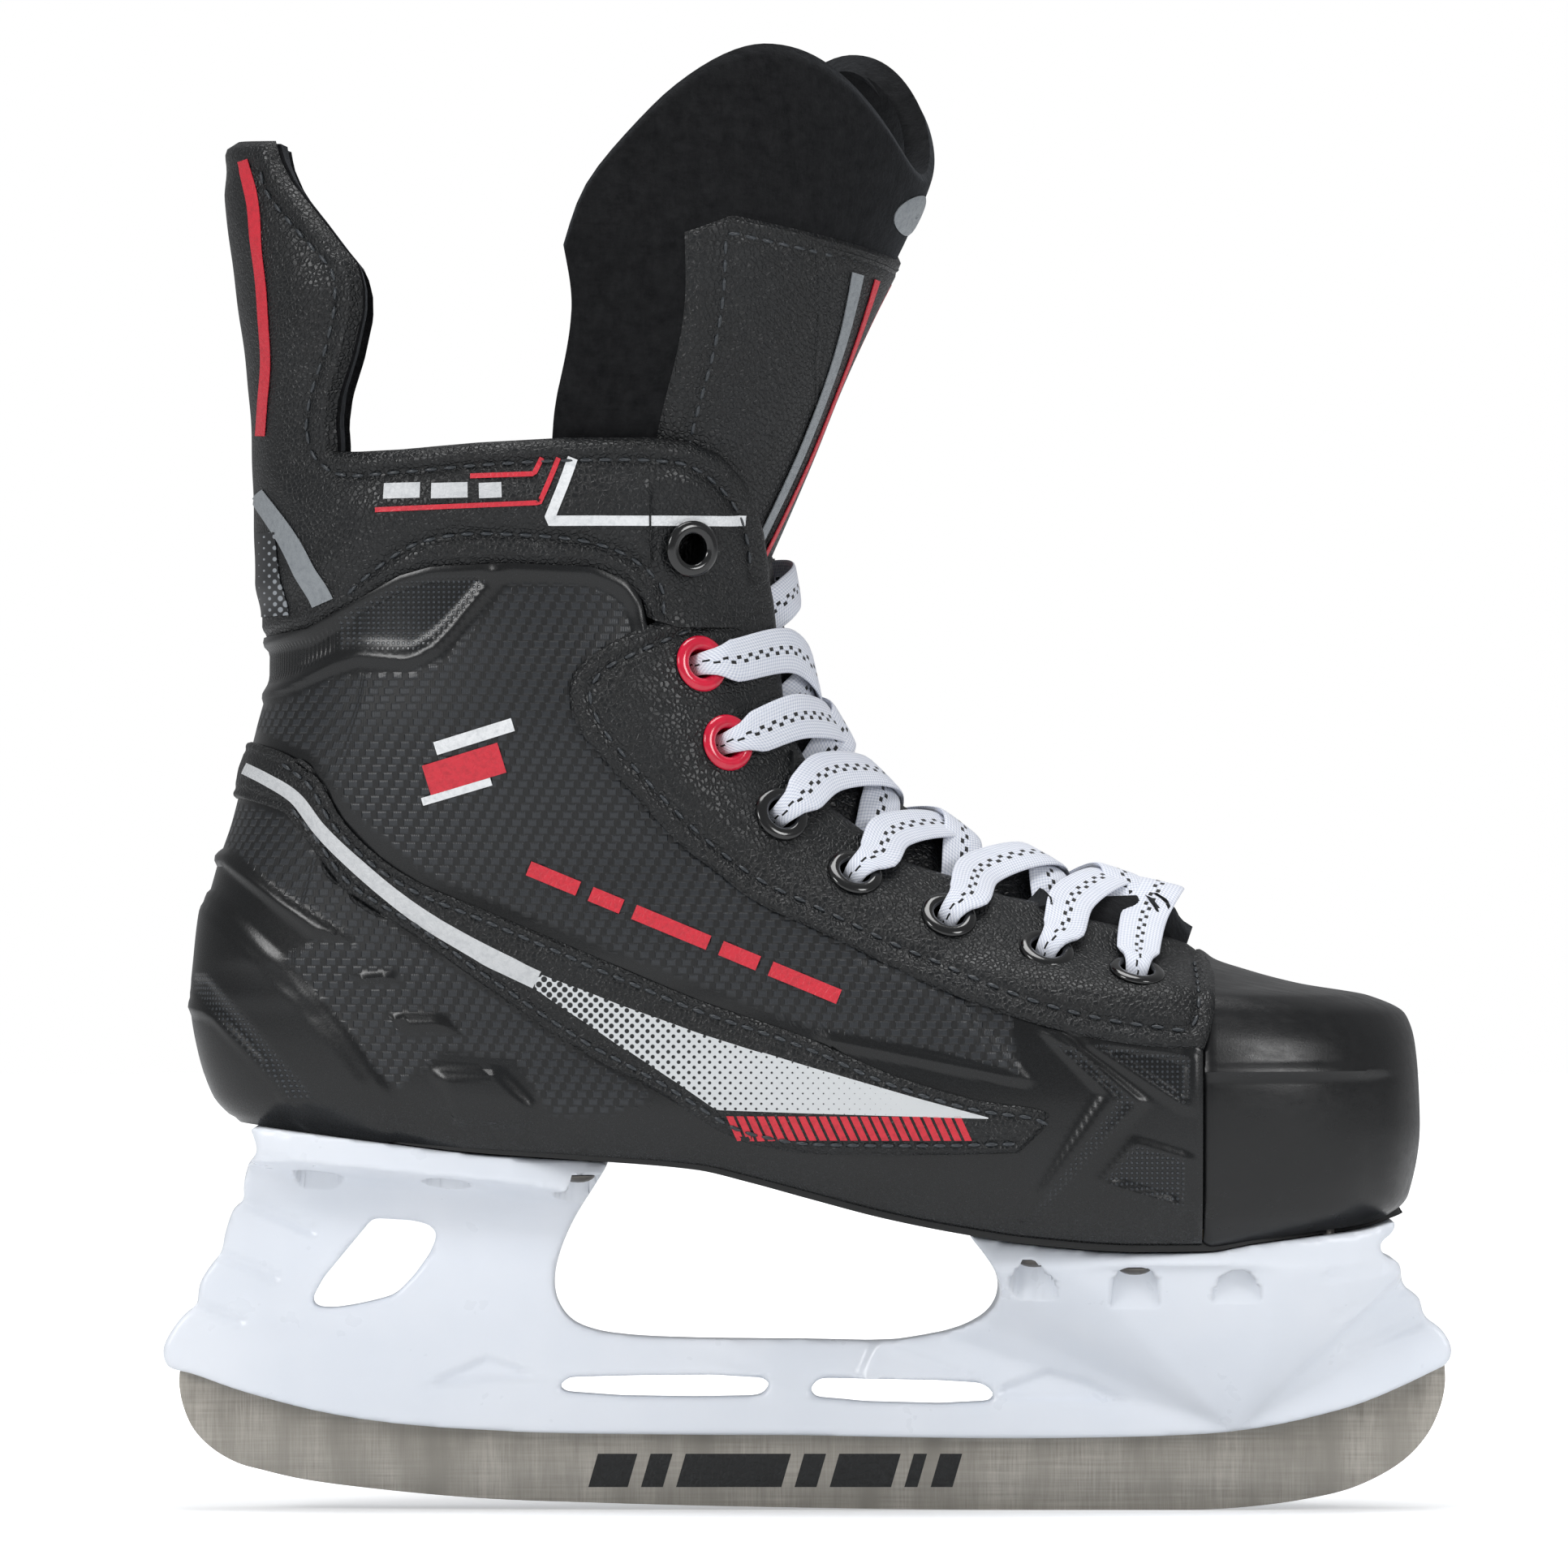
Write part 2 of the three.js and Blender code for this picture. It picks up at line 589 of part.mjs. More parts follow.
const HOLDER_BOTTOM = [
  [-145.2, 32.3], [-130.8, 27.8], [-111.5, 22.6], [-87.5, 19.2], [-60, 17.7], [0, 17.1],
  [50, 16.4], [90, 17.4], [110.6, 20.3], [134.6, 28], [145.2, 33.1],
];
const RUNNER_EDGE = [
  [145.2, 28.5], [141.3, 17.4], [125, 5.4], [100, 0.7], [87, 0], [57, 0], [0, 0.5], [-50, 1.7],
  [-75, 2.7], [-100, 5], [-124.5, 9.2], [-139.9, 18.4], [-143.2, 28.5],
];

function holderOutline() {
  const shape = outline([
    ...HOLDER_BOTTOM,
    [146.6, 37.1], [144.2, 41.4], [140.4, 44.3], [139, 48.7], [135.4, 51.5], [134.1, 56.8],
    [130.3, 58.8], [129.8, 61.6],
    ...soleLine(0, 34, 135).reverse(),
    { through: [[42.3, 55.4], [43.6, 50.6], [39.4, 44], [25, 39.6]] },
    [0, 39],
    [-39.4, 39.8],
    { through: [[-53.8, 43.4], [-57.7, 52.5], [-52.9, 66.9], [-46, 78]] },
    [-44, soleZ(-44)],
    ...soleLine(0, -127, -44).reverse(),
    [-124.8, 81.8], [-128.4, 72.7], [-130.3, 69.3], [-133.5, 58.8], [-138.5, 51.5],
    [-139.2, 46.7], [-144.2, 41.9], [-146.8, 35.2],
  ]);
  shape.holes.push(outline([[-99, 66.6], [-85.5, 64.4], [-84.6, 62.1], [-93.8, 49.6], [-112.3, 46.6], [-112.5, 48.2]]));
  shape.holes.push(outline([[-53.4, 30.4], [-8.7, 30.2], [-11.5, 25.6], [-56.7, 25.8]]));
  shape.holes.push(outline([[2.4, 30.2], [40.4, 29.9], [42.6, 25.2], [0.5, 25.4]]));
  return shape;
}

// Width of a tower by height: narrow at the blade, flared into the plate under the boot.
function towerEnvelope(plateZ, half, low, high) {
  const levels = [[5.6, 0], [6.6, 30], [8.6, 42], [10.5, plateZ - 14], [17, plateZ - 9], [half, plateZ - PLATE_THICKNESS]];
  const right = levels.map(([y, z]) => [y, z]);
  const left = levels.map(([y, z]) => [-y, z]).reverse();
  return along(outline([...right, [half, plateZ + 20], [-half, plateZ + 20], ...left]), low, high);
}

function plan(centreX, halfLength, halfWidthY) {
  const shape = new THREE.Shape().absellipse(centreX, 0, halfLength, halfWidthY, 0, 2 * Math.PI);
  const geometry = new THREE.ExtrudeGeometry(shape, { depth: 200, bevelEnabled: false, curveSegments: 10 });
  return solid(geometry);
}

function rivetSites() {
  return RIVET_PLACES.flatMap(([x, y]) => [-1, 1].map((side) => ({ x, y: side * y, side })));
}

function addHolder(group) {
  const side = across(holderOutline());
  const rearEnvelope = towerEnvelope(84, 31, -160, -20).rotate([0, 5.6, 0]).translate([-8.5, 0, -8]);
  const frontEnvelope = towerEnvelope(61.5, 36, -20, 160);
  const web = across(outline([[-160, 0], [160, 0], [160, 46], [-160, 46]]), -6.6, 6.6);
  const rear = side.intersect(rearEnvelope).intersect(plan(-92, 62, 34));
  const front = side.intersect(frontEnvelope).intersect(plan(86, 66, 37));
  const seats = union(rivetSites().map(({ x, y }) => {
    const seat = soleZ(x) - PLATE_THICKNESS + 1.2;
    return cylinder(RIVET.head + 1, new THREE.Vector3(x, y, seat - 14), new THREE.Vector3(x, y, seat));
  }));
  const shanks = union(rivetSites().map(({ x, y }) => (
    cylinder(RIVET.shank + GAP, new THREE.Vector3(x, y, 40), new THREE.Vector3(x, y, 100))
  )));
  const bores = union(Object.values(RUNNER_BOLT_X).flatMap((x) => {
    const top = soleZ(x);
    const shankBore = cylinder(RUNNER_BOLT_RADIUS + GAP, new THREE.Vector3(x, 0, 20), new THREE.Vector3(x, 0, 120));
    const headBore = cylinder(
      RUNNER_BOLT_HEAD.radius + 0.8,
      new THREE.Vector3(x, 0, top - RUNNER_BOLT_HEAD.height - 1),
      new THREE.Vector3(x, 0, top + 20),
    );
    const bossBore = cylinder(
      BLADE_BOSS_RADIUS + GAP,
      new THREE.Vector3(x, 0, 14),
      new THREE.Vector3(x, 0, BOSS_TOP_Z + GAP),
    );
    return [shankBore, headBore, bossBore];
  }));
  const slotLine = [...shifted(HOLDER_BOTTOM, 0, BLADE_INSERT + GAP)].reverse();
  const slot = across(outline([[-160, 32], [-160, 0], [160, 0], [160, 40], ...slotLine]), -1.8, 1.8);
  const holder = side.intersect(web).add(rear).add(front)
    .subtract(seats).subtract(shanks).subtract(bores).subtract(slot);
  group.add(piece("blade_holder", holder, FINISHES.holderPlastic()));
}

function addRunner(group) {
  const top = shifted(HOLDER_BOTTOM, 0, BLADE_INSERT);
  const ends = [[-143.1, 31.5], [145.2, 33]];
  const steel = across(outline([
    ends[0],
    ...top.slice(1, -1),
    ends[1],
    ...RUNNER_EDGE,
  ]), -BLADE_THICKNESS / 2, BLADE_THICKNESS / 2);
  const bosses = Object.values(RUNNER_BOLT_X).map((x) => (
    cylinder(BLADE_BOSS_RADIUS, new THREE.Vector3(x, 0, 20), new THREE.Vector3(x, 0, BOSS_TOP_Z))
  ));
  const threads = Object.values(RUNNER_BOLT_X).map((x) => (
    cylinder(RUNNER_BOLT_RADIUS + GAP, new THREE.Vector3(x, 0, 30), new THREE.Vector3(x, 0, 60))
  ));
  group.add(piece("runner", union([steel, ...bosses]).subtract(union(threads)), FINISHES.runnerSteel()));
}

function addRunnerBolts(group) {
  Object.entries(RUNNER_BOLT_X).forEach(([place, x]) => {
    const seat = soleZ(x) - RUNNER_BOLT_HEAD.height - 1 + GAP;
    const head = cylinder(
      RUNNER_BOLT_HEAD.radius,
      new THREE.Vector3(x, 0, seat),
      new THREE.Vector3(x, 0, seat + RUNNER_BOLT_HEAD.height),
      6,
    );
    const shank = cylinder(RUNNER_BOLT_RADIUS, new THREE.Vector3(x, 0, 30.5), new THREE.Vector3(x, 0, seat + 1), 10);
    group.add(piece(`runner_bolt_${place}`, head.add(shank), FINISHES.boltSteel()));
  });
}

function addRivets(group) {
  rivetSites().forEach(({ x, y, side }, index) => {
    const seat = soleZ(x) - PLATE_THICKNESS + 1.2 - GAP;
    const clinchLow = soleZ(x) + LEVELS.board + BOARD_THICKNESS - RIVET.clinchHeight - GAP;
    const profile = [
      [0, -RIVET.domeHeight], [RIVET.head * 0.72, -RIVET.domeHeight * 0.75], [RIVET.head, 0],
      [RIVET.shank, 0], [RIVET.shank, clinchLow - seat], [RIVET.clinch, clinchLow - seat],
      [RIVET.clinch * 0.8, clinchLow - seat + RIVET.clinchHeight], [0, clinchLow - seat + RIVET.clinchHeight],
    ];
    const body = turned(profile, new THREE.Vector3(x, y, seat), new THREE.Vector3(0, 0, 1), 8);
    const place = `${side < 0 ? "lateral" : "medial"}_${Math.floor(index / 2) + 1}`;
    group.add(piece(`rivet_${place}`, body, FINISHES.rivetSteel()));
  });
}

// ---------------------------------------------------------------- laces

// Round tube through points, one ring at each point.
function tube(points, radius, sides = 8) {
  const route = new THREE.CatmullRomCurve3(points, false, "centripetal");
  route.getSpacedPoints = () => points;
  const section = new THREE.Shape().absarc(0, 0, radius, 0, 2 * Math.PI);
  const options = { steps: points.length - 1, extrudePath: route, bevelEnabled: false, curveSegments: sides / 2 };
  return solid(new THREE.ExtrudeGeometry(section, options));
}

const off = (frame, edge, out) => onAxis(frame, out).addScaledVector(frame.toEdge, edge);

// From outside, over the flange and down through an eyelet to the inside.
function intoEyelet(frame) {
  return [
    off(frame, 7, 5.3), off(frame, 2.8, 5), off(frame, 0.6, 3.2),
    off(frame, 0, 0), off(frame, 0, -LINING.inner), off(frame, 1.6, -LINING.inner - 4.4),
  ];
}

// The point of the boot form over the middle of the tongue, ahead of the given point.
function crestPoint(point, ahead) {
  const probe = point.clone().setY(0);
  while (halfWidth(probe.x, probe.z) > 0.01) probe.addScaledVector(ahead, 0.5);
  return probe.setY(middleY(probe.x));
}

// The surface faces between sideways and straight ahead at the facing's edge.
const edgeNormal = (frame) => frame.normal.clone().add(frame.ahead).normalize();

// Where the line from an eyelet across the facing meets the facing's edge.
function facingEdgePoint(frame, side) {
  const point = frame.centre.clone();
  const edgeX = (z) => between([...FACING_EDGE].reverse().map(([x, height]) => [height, x]), z, 1);
  while (point.x < edgeX(point.z)) point.addScaledVector(frame.ahead, 0.25);
  return point.setY(middleY(point.x) + side * halfWidth(point.x, point.z));
}

// One half of the lacing: from the straight bar at the toe end, crossing the tongue at every
// row, to the inside of the top laced eyelet.
function laceHalf(startSide, over) {
  const last = EYELET_PLACES.length - 1;
  const intoFrame = (side, index) => {
    const frame = EYELET_FRAMES[side][index];
    const edge = facingEdgePoint(frame, 2 * side - 1);
    return [edge.addScaledVector(edgeNormal(frame), LACE_OVER_EDGE), ...intoEyelet(frame)];
  };
  const path = intoFrame(startSide, last);
  for (let index = last - 1; index >= 1; index -= 1) {
    const side = (last - index) % 2 === 0 ? startSide : 1 - startSide;
    const from = EYELET_FRAMES[1 - side][index + 1];
    const edge = facingEdgePoint(from, 1 - 2 * side);
    const to = EYELET_FRAMES[side][index];
    const ahead = from.ahead.clone().add(to.ahead).normalize();
    const under = edge.clone().addScaledVector(edgeNormal(from), -LACE_UNDER_EDGE);
    const crest = crestPoint(from.centre.clone().lerp(to.centre, 0.5), ahead).addScaledVector(ahead, over);
    const rise = crest.clone().lerp(edge, 0.5).addScaledVector(ahead, -4);
    rise.y = middleY(rise.x) + (1 - 2 * side) * (SLOT_HALF_WIDTH - 4);
    path.push(under, rise, crest, ...intoFrame(side, index));
  }
  return path;
}

// A place in the hank: across its width, up from its top edge and out from its middle plane.
function hankPoint(sideways, up, out) {
  const turn = new THREE.Euler(
    HANK.lean * RADIANS,
    0,
    HANK.yaw * RADIANS,
    "ZYX",
  );
  return new THREE.Vector3(sideways, out, up).applyEuler(turn).add(new THREE.Vector3(...HANK.top));
}

// Carries a solid drawn in the hank's own frame to its place.
function inHankFrame(body) {
  return body.rotate([HANK.lean, 0, 0]).rotate([0, 0, HANK.yaw]).translate(HANK.top);
}

function slabOutline(halfLong, low, high) {
  return outline([[-halfLong, low], [halfLong, low], [halfLong, high], [-halfLong, high]]);
}

function addHank(group) {
  const radius = HANK.width / 2;
  const shape = new THREE.Shape();
  shape.absarc(0, -radius, radius, 0, Math.PI);
  shape.absarc(0, radius - HANK.length, radius, Math.PI, 2 * Math.PI);
  const coil = across(shape, -HANK.thickness / 2, HANK.thickness / 2, 6);
  group.add(piece("lace_hank", inHankFrame(coil), FINISHES.lace()));

  const middle = -HANK.length / 2;
  const [low, high] = [middle - TIE.height / 2, middle + TIE.height / 2];
  const half = HANK.thickness / 2 + GAP;
  const band = across(slabOutline(radius + GAP + TIE.thickness, low, high), -half - TIE.thickness, half + TIE.thickness)
    .subtract(across(slabOutline(radius + GAP, low - 1, high + 1), -half, half));
  group.add(piece("lace_tie", inHankFrame(band), FINISHES.tie()));

  [["lateral", -AGLET.spread], ["medial", AGLET.spread]].forEach(([name, sideways]) => {
    const top = hankPoint(sideways, -HANK.length - 1, 0);
    const body = cylinder(AGLET.radius, top, hankPoint(sideways, -HANK.length - 1 - AGLET.length, 0));
    group.add(piece(`aglet_${name}`, body, FINISHES.aglet()));
  });
}

// The lateral end crosses the tongue above the lacing and lies over the medial facing.
function lateralEndPath() {
  const frame = EYELET_FRAMES[0][1];
  return [
    off(frame, 1.9, -LINING.inner - 5.1),
    off(frame, 3.8, -LINING.inner - 7.2),
    new THREE.Vector3(-16.5, -15, 198),
    new THREE.Vector3(-11.5, -9.5, 203),
    new THREE.Vector3(-5, -3, 207.5),
    new THREE.Vector3(-2, 7, 210.5),
    new THREE.Vector3(-4, 17.5, 212),
    new THREE.Vector3(-11, 25, 211.5),
    new THREE.Vector3(-18, 31.5, 210),
    new THREE.Vector3(-24.5, 38, 207),
    hankPoint(3.5, 3.5, 0),
    hankPoint(3.5, GAP, 0),
  ];
}

// The medial end comes out through the top eyelet and hangs below it.
function medialEndPath() {
  const laced = EYELET_FRAMES[1][1];
  const top = EYELET_FRAMES[1][0];
  return [
    off(laced, 1.75, -LINING.inner - 4.85),
    off(laced, 2.2, -LINING.inner - 7.5),
    new THREE.Vector3(-26.5, 20, 201),
    new THREE.Vector3(-27.5, 20.5, 210),
    off(top, -0.5, -LINING.inner - 3.2),
    off(top, 0, -LINING.inner),
    off(top, 0, 1),
    off(top, -1.2, 5.4),
    off(top, -7, 8.3),
    hankPoint(-3.5, 8, 0),
    hankPoint(-3.5, GAP, 0),
  ];
}

function addLaces(group) {
  const lateral = laceHalf(0, 3.4);
  const medial = laceHalf(1, -0.7);
  const bar = EYELET_FRAMES[0][EYELET_PLACES.length - 1].centre;
  const middle = new THREE.Vector3(bar.x + 7, middleY(bar.x), 141);
  const path = [...lateral.reverse(), middle, ...medial];
  group.add(piece("lacing", tube(path, LACE_RADIUS), FINISHES.lace()));
  group.add(piece("lace_end_lateral", tube(lateralEndPath(), LACE_RADIUS), FINISHES.lace()));
  group.add(piece("lace_end_medial", tube(medialEndPath(), LACE_RADIUS), FINISHES.lace()));
  addHank(group);
}

// ---------------------------------------------------------------- the skate

const skate = new THREE.Group();
addHolder(skate);
addRunner(skate);
addRunnerBolts(skate);
addRivets(skate);
addSole(skate);
addToeCap(skate);
addBootWall(skate);
addTendonGuard(skate);
addTongue(skate);
addEyelets(skate);
addLaces(skate);

export default skate;
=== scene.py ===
"""Looks of a right-foot ice hockey skate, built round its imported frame.

Lengths in the classes are millimetres in the frame's axes: +X to the toe, +Z up and +Y to the
inner (medial) side of the foot. Meshes are written in metres.
"""

import logging
import math
from dataclasses import dataclass
from enum import Enum
from typing import Callable, Sequence

import bmesh
import bpy
import numpy as np
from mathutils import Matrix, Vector


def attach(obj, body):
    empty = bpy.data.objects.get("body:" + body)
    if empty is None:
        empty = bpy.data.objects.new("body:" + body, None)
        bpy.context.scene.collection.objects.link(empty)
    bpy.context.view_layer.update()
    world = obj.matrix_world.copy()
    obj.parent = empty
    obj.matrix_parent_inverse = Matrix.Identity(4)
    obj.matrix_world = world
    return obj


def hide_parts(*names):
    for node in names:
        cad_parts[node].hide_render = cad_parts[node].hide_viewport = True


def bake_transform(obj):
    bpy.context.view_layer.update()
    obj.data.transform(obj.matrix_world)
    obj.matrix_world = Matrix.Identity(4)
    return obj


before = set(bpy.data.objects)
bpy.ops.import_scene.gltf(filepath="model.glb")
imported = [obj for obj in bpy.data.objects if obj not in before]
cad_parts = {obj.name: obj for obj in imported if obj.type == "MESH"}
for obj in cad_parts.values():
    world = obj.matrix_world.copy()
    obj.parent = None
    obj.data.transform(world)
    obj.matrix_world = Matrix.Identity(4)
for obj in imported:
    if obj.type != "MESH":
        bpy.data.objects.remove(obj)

MM = 0.001
LOG = logging.getLogger("skate")
Line = Sequence[tuple[float, ...]]
Array = np.ndarray


class Side(Enum):
    """The two sides of the boot, with the sign of their Y."""

    LATERAL = -1
    MEDIAL = 1

    @property
    def word(self) -> str:
        """The side's name in lower case."""
        return self.name.lower()


# ------------------------------------------------------------------ lines


def smoothstep(value: Array, low: float, high: float) -> Array:
    """0 below low, 1 above high and a smooth step between."""
    t = np.clip((value - low) / (high - low), 0, 1)
    return t * t * (3 - 2 * t)


class Profile:
    """A smooth curve through stations that never overshoots them."""

    def __init__(self, at: Sequence[float], values: Sequence[float]) -> None:
        """Keeps the stations and works out the slope at each.

        Args:
            at: where the stations are, rising.
            values: the value at each.
        """
        self.at, self.values = np.array(at, float), np.array(values, float)
        step = np.diff(self.at)
        rise = np.diff(self.values) / step
        slopes = np.concatenate([rise[:1], np.zeros(len(step) - 1), rise[-1:]])
        same = rise[1:] * rise[:-1] > 0
        w1, w2 = 2 * step[1:] + step[:-1], step[1:] + 2 * step[:-1]
        safe = np.where(same, rise[:-1], 1), np.where(same, rise[1:], 1)
        slopes[1:-1] = np.where(same, (w1 + w2) / (w1 / safe[0] + w2 / safe[1]), 0)
        self.slopes = slopes

    def __call__(self, where: Array | float) -> Array:
        """The curve's value at each place."""
        x = np.clip(np.asarray(where, float), self.at[0], self.at[-1])
        i = np.clip(np.searchsorted(self.at, x, side="right") - 1, 0, len(self.at) - 2)
        h = self.at[i + 1] - self.at[i]
        t = (x - self.at[i]) / h
        a, b = self.values[i], self.values[i + 1]
        ma, mb = self.slopes[i] * h, self.slopes[i + 1] * h
        return (
            (2 * t**3 - 3 * t**2 + 1) * a
            + (t**3 - 2 * t**2 + t) * ma
            + (3 * t**2 - 2 * t**3) * b
            + (t**3 - t**2) * mb
        )


def spaced(line: Array, count: int) -> Array:
    """The line again with that many points, evenly spaced along it."""
    line = np.asarray(line, float)
    along = np.concatenate([[0], np.cumsum(np.linalg.norm(np.diff(line, axis=0), axis=1))])
    at = np.linspace(0, along[-1], count)
    return np.stack([np.interp(at, along, line[:, k]) for k in range(line.shape[1])], axis=1)


def smooth(line: Line, steps: int = 8) -> Array:
    """A centripetal Catmull-Rom curve through the points, with steps points on each span."""
    p = np.array(line, float)
    p = np.vstack([2 * p[0] - p[1], p, 2 * p[-1] - p[-2]])
    out = []
    for p0, p1, p2, p3 in zip(p, p[1:], p[2:], p[3:]):
        gaps = [max(np.linalg.norm(b - a), 1e-6) ** 0.5 for a, b in ((p0, p1), (p1, p2), (p2, p3))]
        t0, t1 = 0.0, gaps[0]
        t2, t3 = t1 + gaps[1], t1 + gaps[1] + gaps[2]
        t = np.linspace(t1, t2, steps, endpoint=False)[:, None]
        a1 = (t1 - t) / (t1 - t0) * p0 + (t - t0) / (t1 - t0) * p1
        a2 = (t2 - t) / (t2 - t1) * p1 + (t - t1) / (t2 - t1) * p2
        a3 = (t3 - t) / (t3 - t2) * p2 + (t - t2) / (t3 - t2) * p3
        b1 = (t2 - t) / (t2 - t0) * a1 + (t - t0) / (t2 - t0) * a2
        b2 = (t3 - t) / (t3 - t1) * a2 + (t - t1) / (t3 - t1) * a3
        out.append((t2 - t) / (t2 - t1) * b1 + (t - t1) / (t2 - t1) * b2)
    return np.vstack([*out, p[-2:-1]])


def away(line: Line, x: Array, z: Array) -> Array:
    """Distance of each side-view point from a line."""
    points = np.array(line, float)
    best = np.full(np.shape(x), np.inf)
    for (ax, az), (bx, bz) in zip(points[:-1, :2], points[1:, :2]):
        dx, dz = bx - ax, bz - az
        t = np.clip(((x - ax) * dx + (z - az) * dz) / max(dx * dx + dz * dz, 1e-9), 0, 1)
        best = np.minimum(best, np.hypot(x - ax - t * dx, z - az - t * dz))
    return best


def depth_in(outline: Line, x: Array, z: Array) -> Array:
    """Distance inside a closed outline, negative outside."""
    points = list(outline) + [outline[0]]
    inside = np.zeros(np.shape(x), bool)
    for (ax, az), (bx, bz) in zip(points[:-1], points[1:]):
        if az != bz:
            crosses = (az > z) != (bz > z)
            inside ^= crosses & (x < (bx - ax) * (z - az) / (bz - az) + ax)
    return np.where(inside, 1, -1) * away(points, x, z)


# ------------------------------------------------------------------ boot form


SOLE_LINE = (
    (-145, 90.5), (-126, 88), (-100, 84.7), (-75, 81.8), (-50, 80.1), (-25, 78), (-12.5, 75.1),
    (0, 71.7), (18, 67), (35, 63.6), (50, 61.3), (75, 59.5), (90, 59.6), (100, 61.2),
    (115, 63.1), (126, 64.5), (134, 66.9), (145, 71),
)
FACING_EDGE = (
    (-8.7, 213.7), (-7.4, 207), (-5, 183), (-3.7, 177.6), (5.6, 160.4), (22.8, 147.8),
    (35.3, 144.1), (44.6, 140.4), (52, 139), (65, 134.8), (81.8, 131.1), (86, 129.7),
)
COLLAR_SEAM = (
    (-150, 196.5), (-123.2, 198.6), (-112.5, 200.6), (-100.4, 207.6), (-92, 212.4), (-85, 214.4),
    (-67.5, 215.3), (-48.8, 214.4), (-41, 211.4), (-37.4, 206.8), (-36.3, 202.5),
)
TOE_CAP_REAR_X = 89.4


class BootForm:
    """The outer surface of the boot, a stack of rounded sections."""

    # height, back, front, place of the widest point, half width, front roundness
    STATIONS = (
        (48, -112, 112, 62, 34, 2.6), (62, -120, 127, 62, 43.6, 2.6),
        (72, -124, 137, 62, 46.4, 2.6),
        (88, -128.8, 139.6, 62, 48.6, 2.6), (95, -134.6, 139.4, 62, 48.9, 2.6),
        (106, -138.2, 138.5, 59, 48.4, 2.5), (113, -139.4, 136.3, 54, 47.4, 2.35),
        (117.2, -139.7, 128, 45, 46.7, 2.3), (120, -139.5, 112, 36, 46, 2.1),
        (123, -139.2, 100.5, 24, 45.3, 1.95), (126, -138.9, 92, 10, 44.6, 1.85),
        (131, -138.4, 87.5, 0, 43.6, 1.7), (136, -137.7, 79, -10, 42.6, 1.6),
        (142, -135.9, 57, -20, 41.8, 1.6), (148, -134.2, 40, -30, 41.4, 1.6),
        (156, -131.4, 26, -38, 42, 1.65), (166, -128.8, 12.5, -46, 43.2, 1.7),
        (178, -125.6, 3.5, -54, 44, 1.85), (190, -123, -3, -58, 43.4, 2),
        (204, -122.9, -5, -62, 42.2, 2), (230, -123.5, -1, -64, 42, 2.1),
        (248, -124.1, 5, -64, 43, 2.1), (284, -128.3, 5, -64, 40, 2.1),
        (318, -132.6, 5, -64, 34, 2.1),
    )
    HEEL_ROUNDNESS = 2.35

    def __init__(self) -> None:
        """Makes a smooth profile of each column of the stations."""
        z = [row[0] for row in self.STATIONS]
        columns = [Profile(z, [row[k] for row in self.STATIONS]) for k in range(1, 6)]
        self.back, self.front, self.widest, self.half, self.roundness = columns
        self.sole = Profile(*zip(*SOLE_LINE))

    @staticmethod
    def middle(x: Array) -> Array:
        """The middle plane bends inwards towards the toe."""
        return 4 * (np.maximum(0, x) / 139) ** 2

    def half_width(self, x: Array, z: Array) -> Array:
        """Half of the boot's width at places in the side view."""
        x, z = np.broadcast_arrays(np.asarray(x, float), np.asarray(z, float))
        widest, back, front = self.widest(z), self.back(z), self.front(z)
        ahead = x >= widest
        reach = np.where(ahead, front - widest, widest - back)
        power = np.where(ahead, self.roundness(z), self.HEEL_ROUNDNESS)
        part = np.clip(np.abs(x - widest) / np.maximum(reach, 1e-6), 0, 1)
        low = np.clip((135 - z) / 30, 0, 1) * np.exp(-(((x + 35) / 42) ** 2))
        tuck = (1 - np.clip((z - self.sole(x)) / 14, 0, 1)) ** 2
        wall = (1 - 0.1 * low) * (1 - 0.1 * tuck)
        return self.half(z) * (1 - part**power) ** (1 / power) * wall

    def on_side(self, x: Array, z: Array, side: int) -> Array:
        """Points of the surface over places in the side view."""
        x, z = np.broadcast_arrays(np.asarray(x, float), np.asarray(z, float))
        return np.stack([x, self.middle(x) + side * self.half_width(x, z), z], axis=-1)

    def normal(self, x: Array, z: Array, side: int) -> Array:
        """Outward unit normals over places in the side view."""
        step = 0.6
        along = self.on_side(x + step, z, side) - self.on_side(x - step, z, side)
        up = self.on_side(x, z + step, side) - self.on_side(x, z - step, side)
        n = np.cross(along, up)
        n *= np.sign(n[..., 1:2] * side + 1e-12)
        return n / np.maximum(np.linalg.norm(n, axis=-1, keepdims=True), 1e-9)


FORM = BootForm()


# ------------------------------------------------------------------ meshes


def deselect() -> None:
    """Leaves nothing selected, so that an operator acts only on a new piece."""
    if bpy.context.object and bpy.context.object.mode != "OBJECT":
        bpy.ops.object.mode_set(mode="OBJECT")
    bpy.ops.object.select_all(action="DESELECT")


def activate(piece: bpy.types.Object) -> None:
    """Makes a piece the only one selected, and the active one."""
    deselect()
    piece.select_set(True)
    bpy.context.view_layer.objects.active = piece


def apply(piece: bpy.types.Object, kind: str, **settings: object) -> None:
    """Adds a modifier with its settings and applies it.

    Args:
        piece: the mesh object.
        kind: the modifier's type.
        settings: its properties.
    """
    activate(piece)
    modifier = piece.modifiers.new(kind.title(), kind)
    for key, value in settings.items():
        setattr(modifier, key, value)
    bpy.ops.object.modifier_apply(modifier=modifier.name)


def set_points(piece: bpy.types.Object, points: Array) -> None:
    """Writes the places of a mesh's vertices, given in millimetres."""
    piece.data.vertices.foreach_set("co", (np.asarray(points) * MM).astype(np.float32).ravel())
    piece.data.update()


